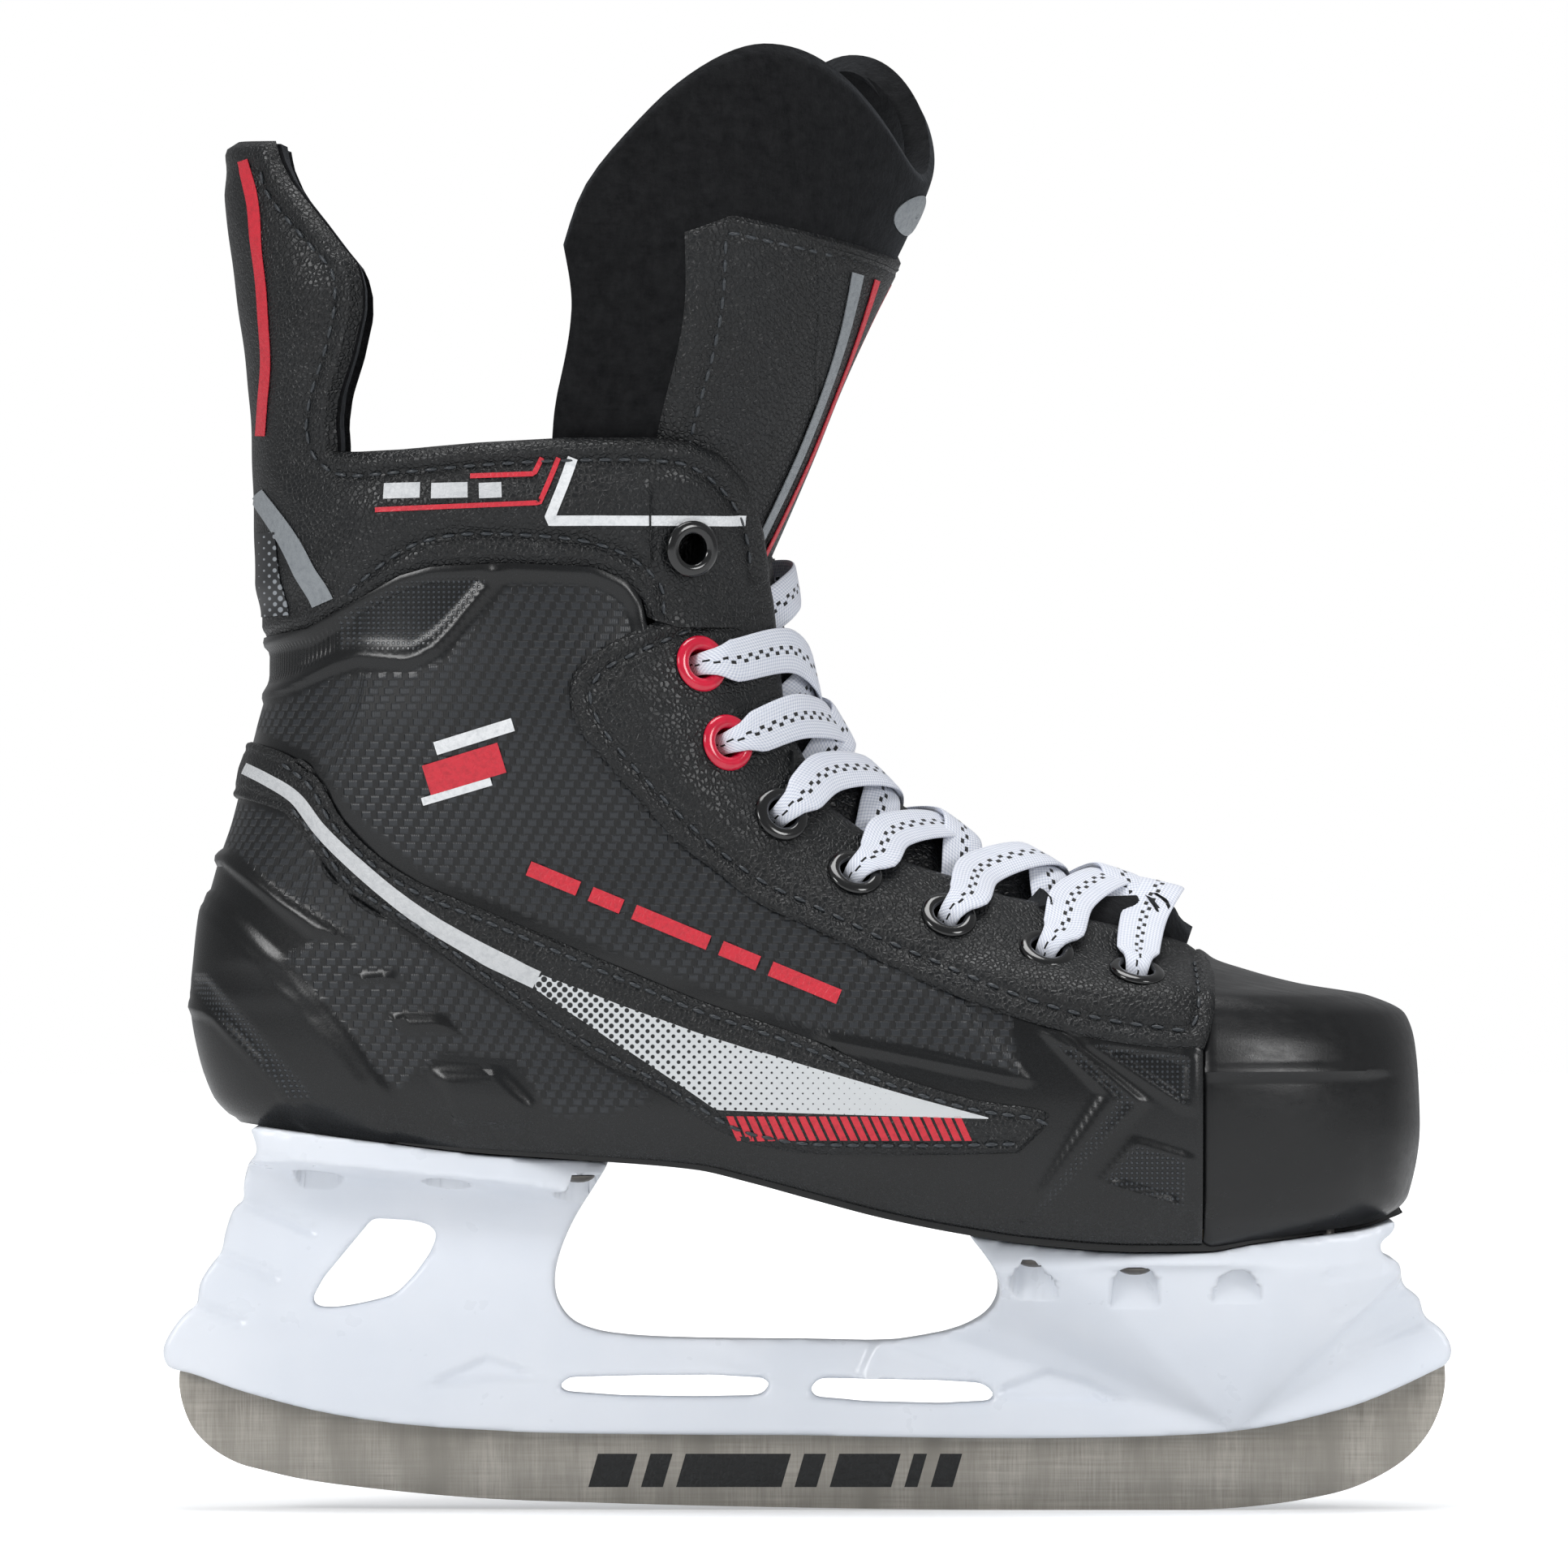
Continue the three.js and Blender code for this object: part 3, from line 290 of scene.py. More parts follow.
def get_points(piece: bpy.types.Object) -> Array:
    """The places of a mesh's vertices in millimetres."""
    flat = np.zeros(len(piece.data.vertices) * 3, np.float32)
    piece.data.vertices.foreach_get("co", flat)
    return flat.reshape(-1, 3).astype(float) / MM


def paint(piece: bpy.types.Object, name: str, red: Array, green: Array, blue: Array) -> None:
    """Writes three masks at the vertices as one colour attribute."""
    attribute = piece.data.color_attributes.new(name=name, type="FLOAT_COLOR", domain="POINT")
    values = np.stack([red, green, blue, np.ones_like(red)], axis=-1).astype(np.float32)
    attribute.data.foreach_set("color", values.ravel())


def sheet(
    name: str,
    columns: int,
    rows: int,
    place: Callable[[Array, Array], Array],
    lift: Callable[[Array, Array, Array], Array] | float = 0.0,
    outward: Callable[[Array], Array] | None = None,
    uv: Callable[[Array, Array, Array], Array] | None = None,
) -> bpy.types.Object:
    """A primitive grid, shaped onto a surface and raised from it.

    Args:
        name: the piece's name.
        columns: faces across.
        rows: faces up.
        place: gives a surface point for each pair (u, v) from 0 to 1.
        lift: height above the surface, or a function of u, v and the points.
        outward: gives a direction that is roughly outward at each point.
        uv: gives the UV pair from u, v and the points.

    Returns:
        The open sheet, with its faces outwards.
    """
    deselect()
    bpy.ops.mesh.primitive_grid_add(x_subdivisions=columns, y_subdivisions=rows, size=2)
    piece = bpy.context.object
    piece.name = piece.data.name = name
    flat = get_points(piece) * MM
    u, v = (flat[:, 0] + 1) / 2, (flat[:, 1] + 1) / 2
    u, v = np.clip(u, 0, 1), np.clip(v, 0, 1)
    base = place(u, v)
    e = 0.002
    along = place(np.minimum(u + e, 1), v) - place(np.maximum(u - e, 0), v)
    up = place(u, np.minimum(v + e, 1)) - place(u, np.maximum(v - e, 0))
    normal = np.cross(along, up)
    normal /= np.maximum(np.linalg.norm(normal, axis=1, keepdims=True), 1e-9)
    out = outward(base) if outward else base * [1, 1, 0]
    sign = 1.0 if (normal * out).sum() > 0 else -1.0
    height = lift(u, v, base) if callable(lift) else np.full(len(u), float(lift))
    set_points(piece, base + normal * sign * height[:, None])
    if sign < 0:
        piece.data.flip_normals()
    if uv is not None:
        pairs = uv(u, v, base)
        layer = piece.data.uv_layers[0] if piece.data.uv_layers else piece.data.uv_layers.new()
        layer.name = "Surface"
        index = np.zeros(len(piece.data.loops), np.int32)
        piece.data.loops.foreach_get("vertex_index", index)
        layer.data.foreach_set("uv", pairs[index].astype(np.float32).ravel())
    bpy.ops.object.shade_smooth()
    return piece


def thicken(piece: bpy.types.Object, thickness: float, crease: float = 40.0) -> None:
    """Gives an open sheet its thickness inwards and smooth shading with crisp edges."""
    apply(piece, "SOLIDIFY", thickness=thickness * MM, offset=-1, use_even_offset=False)
    activate(piece)
    bpy.ops.object.shade_smooth_by_angle(angle=math.radians(crease))


def punch(piece: bpy.types.Object, holes: Array, radius: float) -> None:
    """Opens round holes in an open sheet.

    Args:
        piece: the sheet.
        holes: centres of the holes, in millimetres.
        radius: radius of each hole.
    """
    mesh = bmesh.new()
    mesh.from_mesh(piece.data)
    for centre in holes:
        c = Vector(centre) * MM
        near = [v for v in mesh.verts if (v.co - c).length < radius * MM]
        rim = {o for v in near for e in v.link_edges for o in e.verts} - set(near)
        bmesh.ops.delete(mesh, geom=near, context="VERTS")
        for v in rim:
            if v.is_valid:
                v.co = c + (v.co - c).normalized() * radius * MM
    mesh.to_mesh(piece.data)
    mesh.free()


def coons(edges: dict[str, Array]) -> Callable[[Array, Array], Array]:
    """A side-view patch between four boundary lines.

    Args:
        edges: bottom and top run with u, left and right run with v.

    Returns:
        A function that gives the side-view point at each (u, v).
    """
    lines = {key: spaced(line, 400) for key, line in edges.items()}

    def on(key: str, t: Array) -> Array:
        at = np.linspace(0, 1, 400)
        return np.stack([np.interp(t, at, lines[key][:, k]) for k in range(2)], axis=-1)

    def point(u: Array, v: Array) -> Array:
        b, t, l, r = on("bottom", u), on("top", u), on("left", v), on("right", v)
        u, v = u[:, None], v[:, None]
        c00, c10, c01, c11 = (
            lines[k][i] for k, i in (("bottom", 0), ("bottom", -1), ("top", 0), ("top", -1))
        )
        flat = (1 - u) * (1 - v) * c00 + u * (1 - v) * c10 + (1 - u) * v * c01 + u * v * c11
        return (1 - v) * b + v * t + (1 - u) * l + u * r - flat

    return point


def ribbon(line: Line, width: Sequence[float] | float) -> Callable[[Array, Array], Array]:
    """A side-view band of some width along a line.

    Args:
        line: its middle line.
        width: its width, or the widths at its two ends.

    Returns:
        A function that gives the side-view point at each (u, v).
    """
    middle = spaced(line, 300)
    ends = (width, width) if isinstance(width, (int, float)) else width
    tangent = np.gradient(middle, axis=0)
    tangent /= np.maximum(np.linalg.norm(tangent, axis=1, keepdims=True), 1e-9)
    at = np.linspace(0, 1, 300)

    def point(u: Array, v: Array) -> Array:
        c = np.stack([np.interp(u, at, middle[:, k]) for k in range(2)], axis=-1)
        t = np.stack([np.interp(u, at, tangent[:, k]) for k in range(2)], axis=-1)
        half = (np.interp(u, [0, 1], ends) * (v - 0.5))[:, None]
        return c + np.stack([-t[:, 1], t[:, 0]], axis=-1) * half

    return point


def merged(name: str, parts: Sequence[bpy.types.Object]) -> bpy.types.Object:
    """Joins pieces into one object of that name."""
    deselect()
    for part in parts:
        part.select_set(True)
    bpy.context.view_layer.objects.active = parts[0]
    bpy.ops.object.join()
    parts[0].name = parts[0].data.name = name
    return parts[0]


def tiled(name: str, model: bpy.types.Object, places: Array, axes: Array) -> bpy.types.Object:
    """Copies a small model to many places, as one mesh, and removes the model.

    Args:
        name: the new piece's name.
        model: one stitch or stud, in millimetres times 0.001.
        places: the centre of each copy.
        axes: the x, y and z direction of each copy, n by 3 by 3.
    """
    co = get_points(model)
    faces = [tuple(f.vertices) for f in model.data.polygons]
    everywhere = np.einsum("vk,nkj->nvj", co, axes) + places[:, None]
    all_faces = [tuple(i + n * len(co) for i in f) for n in range(len(places)) for f in faces]
    mesh = bpy.data.meshes.new(name)
    mesh.from_pydata((everywhere.reshape(-1, 3) * MM).tolist(), [], all_faces)
    bpy.data.objects.remove(model)
    piece = bpy.data.objects.new(name, mesh)
    bpy.context.scene.collection.objects.link(piece)
    activate(piece)
    bpy.ops.object.shade_smooth()
    return piece


def turned(name: str, profile: Line, segments: int) -> bpy.types.Object:
    """A profile of (radius, height) spun about Z into a closed piece."""
    deselect()
    bpy.ops.mesh.primitive_circle_add(vertices=3, radius=0.001)
    piece = bpy.context.object
    piece.name = piece.data.name = name
    mesh = bmesh.new()
    points = [mesh.verts.new((r * MM, 0, h * MM)) for r, h in profile]
    for a, b in zip(points, points[1:]):
        mesh.edges.new((a, b))
    bmesh.ops.spin(
        mesh, geom=list(mesh.verts) + list(mesh.edges), cent=(0, 0, 0), axis=(0, 0, 1),
        angle=2 * math.pi, steps=segments, use_duplicate=False,
    )
    bmesh.ops.remove_doubles(mesh, verts=mesh.verts, dist=2e-6)
    bmesh.ops.recalc_face_normals(mesh, faces=mesh.faces)
    mesh.to_mesh(piece.data)
    mesh.free()
    return piece


# ------------------------------------------------------------------ finishes


def linear(code: str) -> tuple[float, float, float, float]:
    """An sRGB hex colour as linear RGBA."""
    parts = [int(code[i : i + 2], 16) / 255 for i in (1, 3, 5)]
    parts = [c / 12.92 if c <= 0.04045 else ((c + 0.055) / 1.055) ** 2.4 for c in parts]
    return (*parts, 1.0)


@dataclass(frozen=True)
class Finish:
    """One real material and how its surface was made."""

    name: str
    colour: str
    roughness: float
    metallic: float = 0.0

    def nodes(self) -> tuple[bpy.types.Material, bpy.types.Node]:
        """A new material and its shader."""
        material = bpy.data.materials.new(self.name)
        material.use_nodes = True
        shader = material.node_tree.nodes["Principled BSDF"]
        shader.inputs["Base Color"].default_value = linear(self.colour)
        shader.inputs["Roughness"].default_value = self.roughness
        shader.inputs["Metallic"].default_value = self.metallic
        return material, shader


def add(
    material: bpy.types.Material, kind: str, inputs: dict | None = None, **settings: object
) -> bpy.types.Node:
    """Adds one node with its settings and links.

    Args:
        material: the material that gets the node.
        kind: the node's type, without ShaderNode.
        inputs: for each input by name or number, a value, an sRGB hex colour, an output socket
            or a node whose result goes in.
        settings: the node's own properties.
    """
    node = material.node_tree.nodes.new("ShaderNode" + kind)
    for key, value in settings.items():
        setattr(node, key, value)
    for key, value in (inputs or {}).items():
        if isinstance(value, (bpy.types.Node, bpy.types.NodeSocket)):
            connect(material, value, node.inputs[key])
        else:
            node.inputs[key].default_value = linear(value) if isinstance(value, str) else value
    return node


def connect(
    material: bpy.types.Material, source: bpy.types.Node | bpy.types.NodeSocket,
    target: bpy.types.NodeSocket
) -> None:
    """Links an output, or a node's result, to an input."""
    if isinstance(source, bpy.types.Node):
        source = next(output for output in source.outputs if output.enabled)
    material.node_tree.links.new(source, target)


def holder_plastic() -> bpy.types.Material:
    """Injection-moulded white nylon: even, slightly glossy, with a faint flow pattern."""
    material, shader = Finish("moulded_white_nylon", "#e8ecf2", 0.3).nodes()
    place = add(material, "TexCoord").outputs["Object"]
    tint = add(
        material, "MapRange",
        {
            0: add(
                material, "TexNoise",
                {"Vector": place, "Scale": 1000 / 26, "Detail": 2, "Roughness": 0.55}
            ),
            1: 0.35, 2: 0.7
        }
    )
    connect(
        material, add(material, "Mix", {0: tint, 6: "#e4e9f1", 7: "#e9edf4"}, data_type="RGBA"),
        shader.inputs["Base Color"]
    )
    shader.inputs["Subsurface Weight"].default_value = 0.12
    shader.inputs["Subsurface Radius"].default_value = (0.9, 0.95, 1.0)
    shader.inputs["Subsurface Scale"].default_value = 0.002
    gloss = add(
        material, "MapRange",
        {
            0: add(
                material, "TexNoise",
                {"Vector": place, "Scale": 1000 / 9, "Detail": 3, "Roughness": 0.55}
            ),
            1: 0.3, 2: 0.7, 3: 0.27, 4: 0.32
        }
    )
    connect(material, gloss, shader.inputs["Roughness"])
    connect(
        material,
        add(
            material, "Bump",
            {
                "Height": add(
                    material, "TexNoise",
                    {"Vector": place, "Scale": 1000 / 1.4, "Detail": 2, "Roughness": 0.55}
                ),
                "Distance": 0.012 * MM
            }
        ),
        shader.inputs["Normal"]
    )
    return material


def runner_steel() -> bpy.types.Material:
    """Rolled stainless steel, ground across the blade: fine upright scratches and broad darker
    patches.
    """
    material, shader = Finish("ground_stainless_steel", "#b5b0a8", 0.36, 1.0).nodes()
    place = add(material, "TexCoord").outputs["Object"]
    # Grit leaves lines about 0.15 mm apart; 0.4 mm is the finest that shows.
    lines = add(
        material, "TexNoise",
        {
            "Vector": add(material, "Mapping", {"Vector": place, "Scale": (1, 1, 0.045)}),
            "Scale": 1000 / 0.4, "Detail": 4, "Roughness": 0.7
        }
    )
    broad = add(
        material, "TexNoise",
        {
            "Vector": add(material, "Mapping", {"Vector": place, "Scale": (1, 1, 0.3)}),
            "Scale": 1000 / 9, "Detail": 2, "Roughness": 0.55
        }
    )
    along = add(
        material, "TexNoise",
        {
            "Vector": add(material, "Mapping", {"Vector": place, "Scale": (0.03, 1, 1)}),
            "Scale": 1000 / 0.6, "Detail": 3, "Roughness": 0.55
        }
    )
    mixed = add(
        material, "Math",
        {0: lines, 1: 0.6, 2: add(material, "Math", {0: along, 1: 0.4}, operation="MULTIPLY")},
        operation="MULTIPLY_ADD"
    )
    colour = add(
        material, "Mix",
        {0: add(material, "MapRange", {0: mixed, 1: 0.3, 2: 0.7}), 6: "#97928a", 7: "#c8c3ba"},
        data_type="RGBA"
    )
    colour = add(
        material, "Mix",
        {0: add(material, "MapRange", {0: broad, 1: 0.35, 2: 0.75}), 6: colour, 7: "#98948c"},
        data_type="RGBA"
    )
    connect(material, colour, shader.inputs["Base Color"])
    connect(
        material, add(material, "MapRange", {0: mixed, 1: 0.25, 2: 0.75, 3: 0.28, 4: 0.48}),
        shader.inputs["Roughness"]
    )
    connect(
        material, add(material, "Bump", {"Height": mixed, "Distance": 0.02 * MM}),
        shader.inputs["Normal"]
    )
    return material


def plain_steel(name: str, colour: str, roughness: float) -> bpy.types.Material:
    """Zinc-plated or blackened steel: turned, with faint tool marks."""
    material, shader = Finish(name, colour, roughness, 1.0).nodes()
    place = add(material, "TexCoord").outputs["Object"]
    spots = add(
        material, "MapRange",
        {
            0: add(
                material, "TexNoise",
                {"Vector": place, "Scale": 1000 / 1.2, "Detail": 4, "Roughness": 0.55}
            ),
            1: 0.35, 2: 0.7, 3: roughness - 0.08, 4: roughness + 0.12
        }
    )
    connect(material, spots, shader.inputs["Roughness"])
    connect(
        material,
        add(
            material, "Bump",
            {
                "Height": add(
                    material, "TexNoise",
                    {"Vector": place, "Scale": 1000 / 0.5, "Detail": 3, "Roughness": 0.55}
                ),
                "Distance": 0.02 * MM
            }
        ),
        shader.inputs["Normal"]
    )
    return material


def lattice(
    material: bpy.types.Material, u: bpy.types.NodeSocket, v: bpy.types.NodeSocket, pitch_mm: float
) -> bpy.types.NodeSocket:
    """Distance from the nearest point of a square lattice, in pitches.

    Args:
        material: the material.
        u: one coordinate in metres.
        v: the other.
        pitch_mm: the lattice's pitch.
    """
    axes = []
    for value in (u, v):
        cell = add(
            material, "Math",
            {0: add(material, "Math", {0: value, 1: pitch_mm * MM}, operation="DIVIDE")},
            operation="FRACT"
        )
        axes.append(add(material, "Math", {0: cell, 1: 0.5}, operation="SUBTRACT"))
    squares = add(
        material, "Math",
        {
            0: axes[0], 1: axes[0],
            2: add(material, "Math", {0: axes[1], 1: axes[1]}, operation="MULTIPLY")
        },
        operation="MULTIPLY_ADD"
    )
    return add(material, "Math", {0: squares}, operation="SQRT")


def shell_plastic() -> bpy.types.Material:
    """Moulded polyurethane shell: woven-look blocks, dotted panels and glossy bands, by mask.

    The Zones attribute holds woven in red, dots in green and upright ribs in blue.
    """
    material, shader = Finish("moulded_black_polyurethane", "#191b1e", 0.34).nodes()
    place = add(material, "TexCoord").outputs["Object"]
    zones = add(material, "Attribute", attribute_name="Zones").outputs["Color"]
    woven, dots, ribs = add(material, "SeparateColor", {0: zones}).outputs[:3]
    surface = add(material, "UVMap", uv_map="Surface").outputs[0]
    u, v, _ = add(material, "SeparateXYZ", {0: surface}).outputs
    # Blocks 2.6 mm long and 1.75 mm high, each row set back by a quarter of its 3.5 mm pitch.
    height = add(material, "Math", {0: v, 1: 1.75 * MM}, operation="DIVIDE")
    row = add(material, "Math", {0: height}, operation="FLOOR")
    set_back = add(
        material, "Math",
        {0: row, 1: -0.28, 2: add(material, "Math", {0: u, 1: 3.5 * MM}, operation="DIVIDE")},
        operation="MULTIPLY_ADD"
    )
    along = add(material, "Math", {0: set_back}, operation="FRACT")
    over = add(
        material, "MapRange",
        {
            0: add(
                material, "Math",
                {0: add(material, "Math", {0: along, 1: 0.3}, operation="SUBTRACT"), 1: 0.5},
                operation="PINGPONG"
            ),
            1: 0.26, 2: 0.32, 3: 1, 4: 0
        }
    )
    crown = add(material, "Math", {0: height, 1: 0.5}, operation="PINGPONG")
    crown = add(material, "MapRange", {0: crown, 1: 0.0, 2: 0.22})
    block = add(material, "Math", {0: over, 1: crown}, operation="MULTIPLY")
    # Threads 0.5 mm wide run up inside each block.
    thread = add(
        material, "Math",
        {0: add(material, "Math", {0: u, 1: 0.5 * MM}, operation="DIVIDE"), 1: 0.5},
        operation="PINGPONG"
    )
    fine = add(
        material, "MapRange",
        {
            0: add(
                material, "TexNoise",
                {"Vector": place, "Scale": 1000 / 0.7, "Detail": 3, "Roughness": 0.55}
            ),
            1: 0.3, 2: 0.7
        }
    )
    twill = add(material, "Math", {0: thread, 1: 0.25, 2: block}, operation="MULTIPLY_ADD")
    weave_colour = add(material, "Mix", {0: block, 6: "#0a0b0c", 7: "#2b2e32"}, data_type="RGBA")
    weave_colour = add(
        material, "Mix",
        {
            0: add(material, "Math", {0: fine, 1: 0.35}, operation="MULTIPLY"), 6: weave_colour,
            7: "#14171a"
        },
        data_type="RGBA"
    )
    cloudy = add(
        material, "MapRange",
        {
            0: add(
                material, "TexNoise",
                {"Vector": place, "Scale": 1000 / 24, "Detail": 2, "Roughness": 0.55}
            ),
            1: 0.3, 2: 0.7
        }
    )
    plain = add(material, "Mix", {0: cloudy, 6: "#08090a", 7: "#0e1012"}, data_type="RGBA")
    colour = add(material, "Mix", {0: woven, 6: plain, 7: weave_colour}, data_type="RGBA")
    spot = add(
        material, "MapRange", {0: lattice(material, u, v, 1.15), 1: 0.22, 2: 0.34, 3: 1, 4: 0}
    )
    spots = add(material, "Math", {0: spot, 1: dots}, operation="MULTIPLY")
    colour = add(material, "Mix", {0: spots, 6: colour, 7: "#3b3f44"}, data_type="RGBA")
    upright = add(
        material, "Math",
        {0: add(material, "Math", {0: u, 1: 1.1 * MM}, operation="DIVIDE"), 1: 0.5},
        operation="PINGPONG"
    )
    uprights = add(
        material, "Math", {0: add(material, "MapRange", {0: upright, 1: 0.1, 2: 0.4}), 1: ribs},
        operation="MULTIPLY"
    )
    connect(material, colour, shader.inputs["Base Color"])
    gloss = add(material, "MapRange", {0: woven, 1: 0, 2: 1, 3: 0.24, 4: 0.42})
    gloss = add(material, "Math", {0: fine, 1: 0.06, 2: gloss}, operation="MULTIPLY_ADD")
    gloss = add(
        material, "Math",
        {0: block, 1: add(material, "Math", {0: woven, 1: -0.1}, operation="MULTIPLY"), 2: gloss},
        operation="MULTIPLY_ADD"
    )
    connect(material, gloss, shader.inputs["Roughness"])
    relief = add(material, "Math", {0: twill, 1: woven}, operation="MULTIPLY")
    relief = add(material, "Math", {0: spots, 1: 1.2, 2: relief}, operation="MULTIPLY_ADD")
    relief = add(material, "Math", {0: uprights, 1: 1.2, 2: relief}, operation="MULTIPLY_ADD")
    first = add(material, "Bump", {"Height": relief, "Distance": 0.16 * MM})
    connect(
        material,
        add(
            material, "Bump",
            {
                "Height": add(
                    material, "TexNoise",
                    {"Vector": place, "Scale": 1000 / 0.6, "Detail": 3, "Roughness": 0.55}
                ),
                "Distance": 0.02 * MM, "Normal": first
            }
        ),
        shader.inputs["Normal"]
    )
    return material


def satin_plastic(name: str, colour: str, other: str, roughness: float) -> bpy.types.Material:
    """Moulded black plastic with a fine spark-eroded texture and soft scuffs."""
    material, shader = Finish(name, colour, roughness).nodes()
    place = add(material, "TexCoord").outputs["Object"]
    cloudy = add(
        material, "MapRange",
        {
            0: add(
                material, "TexNoise",
                {"Vector": place, "Scale": 1000 / 30, "Detail": 3, "Roughness": 0.55}
            ),
            1: 0.3, 2: 0.7
        }
    )
    connect(
        material, add(material, "Mix", {0: cloudy, 6: colour, 7: other}, data_type="RGBA"),
        shader.inputs["Base Color"]
    )
    scuff = add(
        material, "MapRange",
        {
            0: add(
                material, "TexNoise",
                {
                    "Vector": add(material, "Mapping", {"Vector": place, "Scale": (0.25, 1, 1)}),
                    "Scale": 1000 / 2.4, "Detail": 5, "Roughness": 0.7
                }
            ),
            1: 0.3, 2: 0.75, 3: roughness - 0.05, 4: roughness + 0.12
        }
    )
    connect(material, scuff, shader.inputs["Roughness"])
    connect(
        material,
        add(
            material, "Bump",
            {
                "Height": add(
                    material, "TexNoise",
                    {"Vector": place, "Scale": 1000 / 0.55, "Detail": 3, "Roughness": 0.55}
                ),
                "Distance": 0.022 * MM
            }
        ),
        shader.inputs["Normal"]
    )
    return material


def leather() -> bpy.types.Material:
    """Polyurethane-coated leather cloth: pebbles about 1 mm across with creases between them."""
    material, shader = Finish("coated_leather_cloth", "#17191b", 0.44).nodes()
    place = add(material, "TexCoord").outputs["Object"]
    warped = add(material, "VectorMath", {0: place, 1: add(material, "VectorMath", {
        0: add(material, "TexNoise", {"Vector": place, "Scale": 900.0}).outputs["Color"],
        "Scale": 0.0006},
        operation="SCALE").outputs[0]}, operation="ADD").outputs[0]
    cells = add(
        material, "TexVoronoi", {"Vector": warped, "Scale": 1000 / 1.15}, feature="DISTANCE_TO_EDGE"
    ).outputs[0]
    pebble = add(material, "MapRange", {0: cells, 1: 0.0, 2: 0.22})
    creases = add(
        material, "TexNoise",
        {
            "Vector": add(material, "Mapping", {"Vector": place, "Scale": (1, 1, 0.6)}),
            "Scale": 1000 / 3.2, "Detail": 4, "Roughness": 0.6
        }
    )
    relief = add(material, "Math", {0: creases, 1: 0.8, 2: pebble}, operation="MULTIPLY_ADD")
    # Painted shade: darker in the creases between pebbles, lighter on the pebble tops.
    colour = add(material, "Mix", {0: pebble, 6: "#060708", 7: "#0f1113"}, data_type="RGBA")
    colour = add(
        material, "Mix",
        {
            0: add(
                material, "MapRange",
                {
                    0: add(
                        material, "TexNoise",
                        {"Vector": place, "Scale": 1000 / 18, "Detail": 2, "Roughness": 0.55}
                    ),
                    1: 0.4, 2: 0.75, 3: 0, 4: 0.4
                }
            ),
            6: colour, 7: "#14171a"
        },
        data_type="RGBA"
    )
    connect(material, colour, shader.inputs["Base Color"])
    connect(
        material, add(material, "MapRange", {0: pebble, 1: 0, 2: 1, 3: 0.5, 4: 0.33}),
        shader.inputs["Roughness"]
    )
    shader.inputs["Specular IOR Level"].default_value = 0.45
    connect(
        material, add(material, "Bump", {"Height": relief, "Distance": 0.13 * MM}),
        shader.inputs["Normal"]
    )
    return material


def felt(name: str, dark: str, light: str) -> bpy.types.Material:
    """Needled polyester felt: a matt mat of crossing fibres that catches light at its edge."""
    material, shader = Finish(name, dark, 0.97).nodes()
    place = add(material, "TexCoord").outputs["Object"]
    fibres = add(
        material, "TexNoise",
        {
            "Vector": add(material, "Mapping", {"Vector": place, "Scale": (1, 1, 0.35)}),
            "Scale": 1000 / 1.1, "Detail": 5, "Roughness": 0.75
        }
    )
    crossing = add(
        material, "TexNoise",
        {
            "Vector": add(material, "Mapping", {"Vector": place, "Scale": (0.35, 1, 1)}),
            "Scale": 1000 / 1.3, "Detail": 5, "Roughness": 0.75
        }
    )
    tufts = add(
        material, "TexNoise", {"Vector": place, "Scale": 1000 / 3.5, "Detail": 3, "Roughness": 0.6}
    )
    mat = add(
        material, "Math",
        {0: fibres, 1: 0.5, 2: add(material, "Math", {0: crossing, 1: 0.5}, operation="MULTIPLY")},
        operation="MULTIPLY_ADD"
    )
    relief = add(material, "Math", {0: tufts, 1: 0.7, 2: mat}, operation="MULTIPLY_ADD")
    connect(
        material,
        add(
            material, "Mix",
            {0: add(material, "MapRange", {0: relief, 1: 0.62, 2: 1.05}), 6: dark, 7: light},
            data_type="RGBA"
        ),
        shader.inputs["Base Color"]
    )
    shader.inputs["Sheen Weight"].default_value = 0.22
    shader.inputs["Sheen Roughness"].default_value = 0.55
    shader.inputs["Sheen Tint"].default_value = linear("#9aa0a8")
    shader.inputs["Specular IOR Level"].default_value = 0.15
    connect(
        material, add(material, "Bump", {"Height": relief, "Distance": 0.5 * MM}),
        shader.inputs["Normal"]
    )
    return material


def enamel(name: str, colour: str) -> bpy.types.Material:
    """Stamped steel with baked enamel: a smooth hard gloss with a little orange peel."""
    material, shader = Finish(name, colour, 0.16).nodes()
    place = add(material, "TexCoord").outputs["Object"]
    deep = add(
        material, "MapRange",
        {
            0: add(
                material, "TexNoise",
                {"Vector": place, "Scale": 1000 / 4, "Detail": 2, "Roughness": 0.55}
            ),
            1: 0.3, 2: 0.7, 3: 0, 4: 0.25
        }
    )
    connect(
        material, add(material, "Mix", {0: deep, 6: colour, 7: "#050505"}, data_type="RGBA"),
        shader.inputs["Base Color"]
    )
    shader.inputs["Coat Weight"].default_value = 0.6
    shader.inputs["Coat Roughness"].default_value = 0.08
    connect(
        material,
        add(
            material, "Bump",
            {
                "Height": add(
                    material, "TexNoise",
                    {"Vector": place, "Scale": 1000 / 1.6, "Detail": 2, "Roughness": 0.55}
                ),
                "Distance": 0.01 * MM
            }
        ),
        shader.inputs["Normal"]
    )
    return material


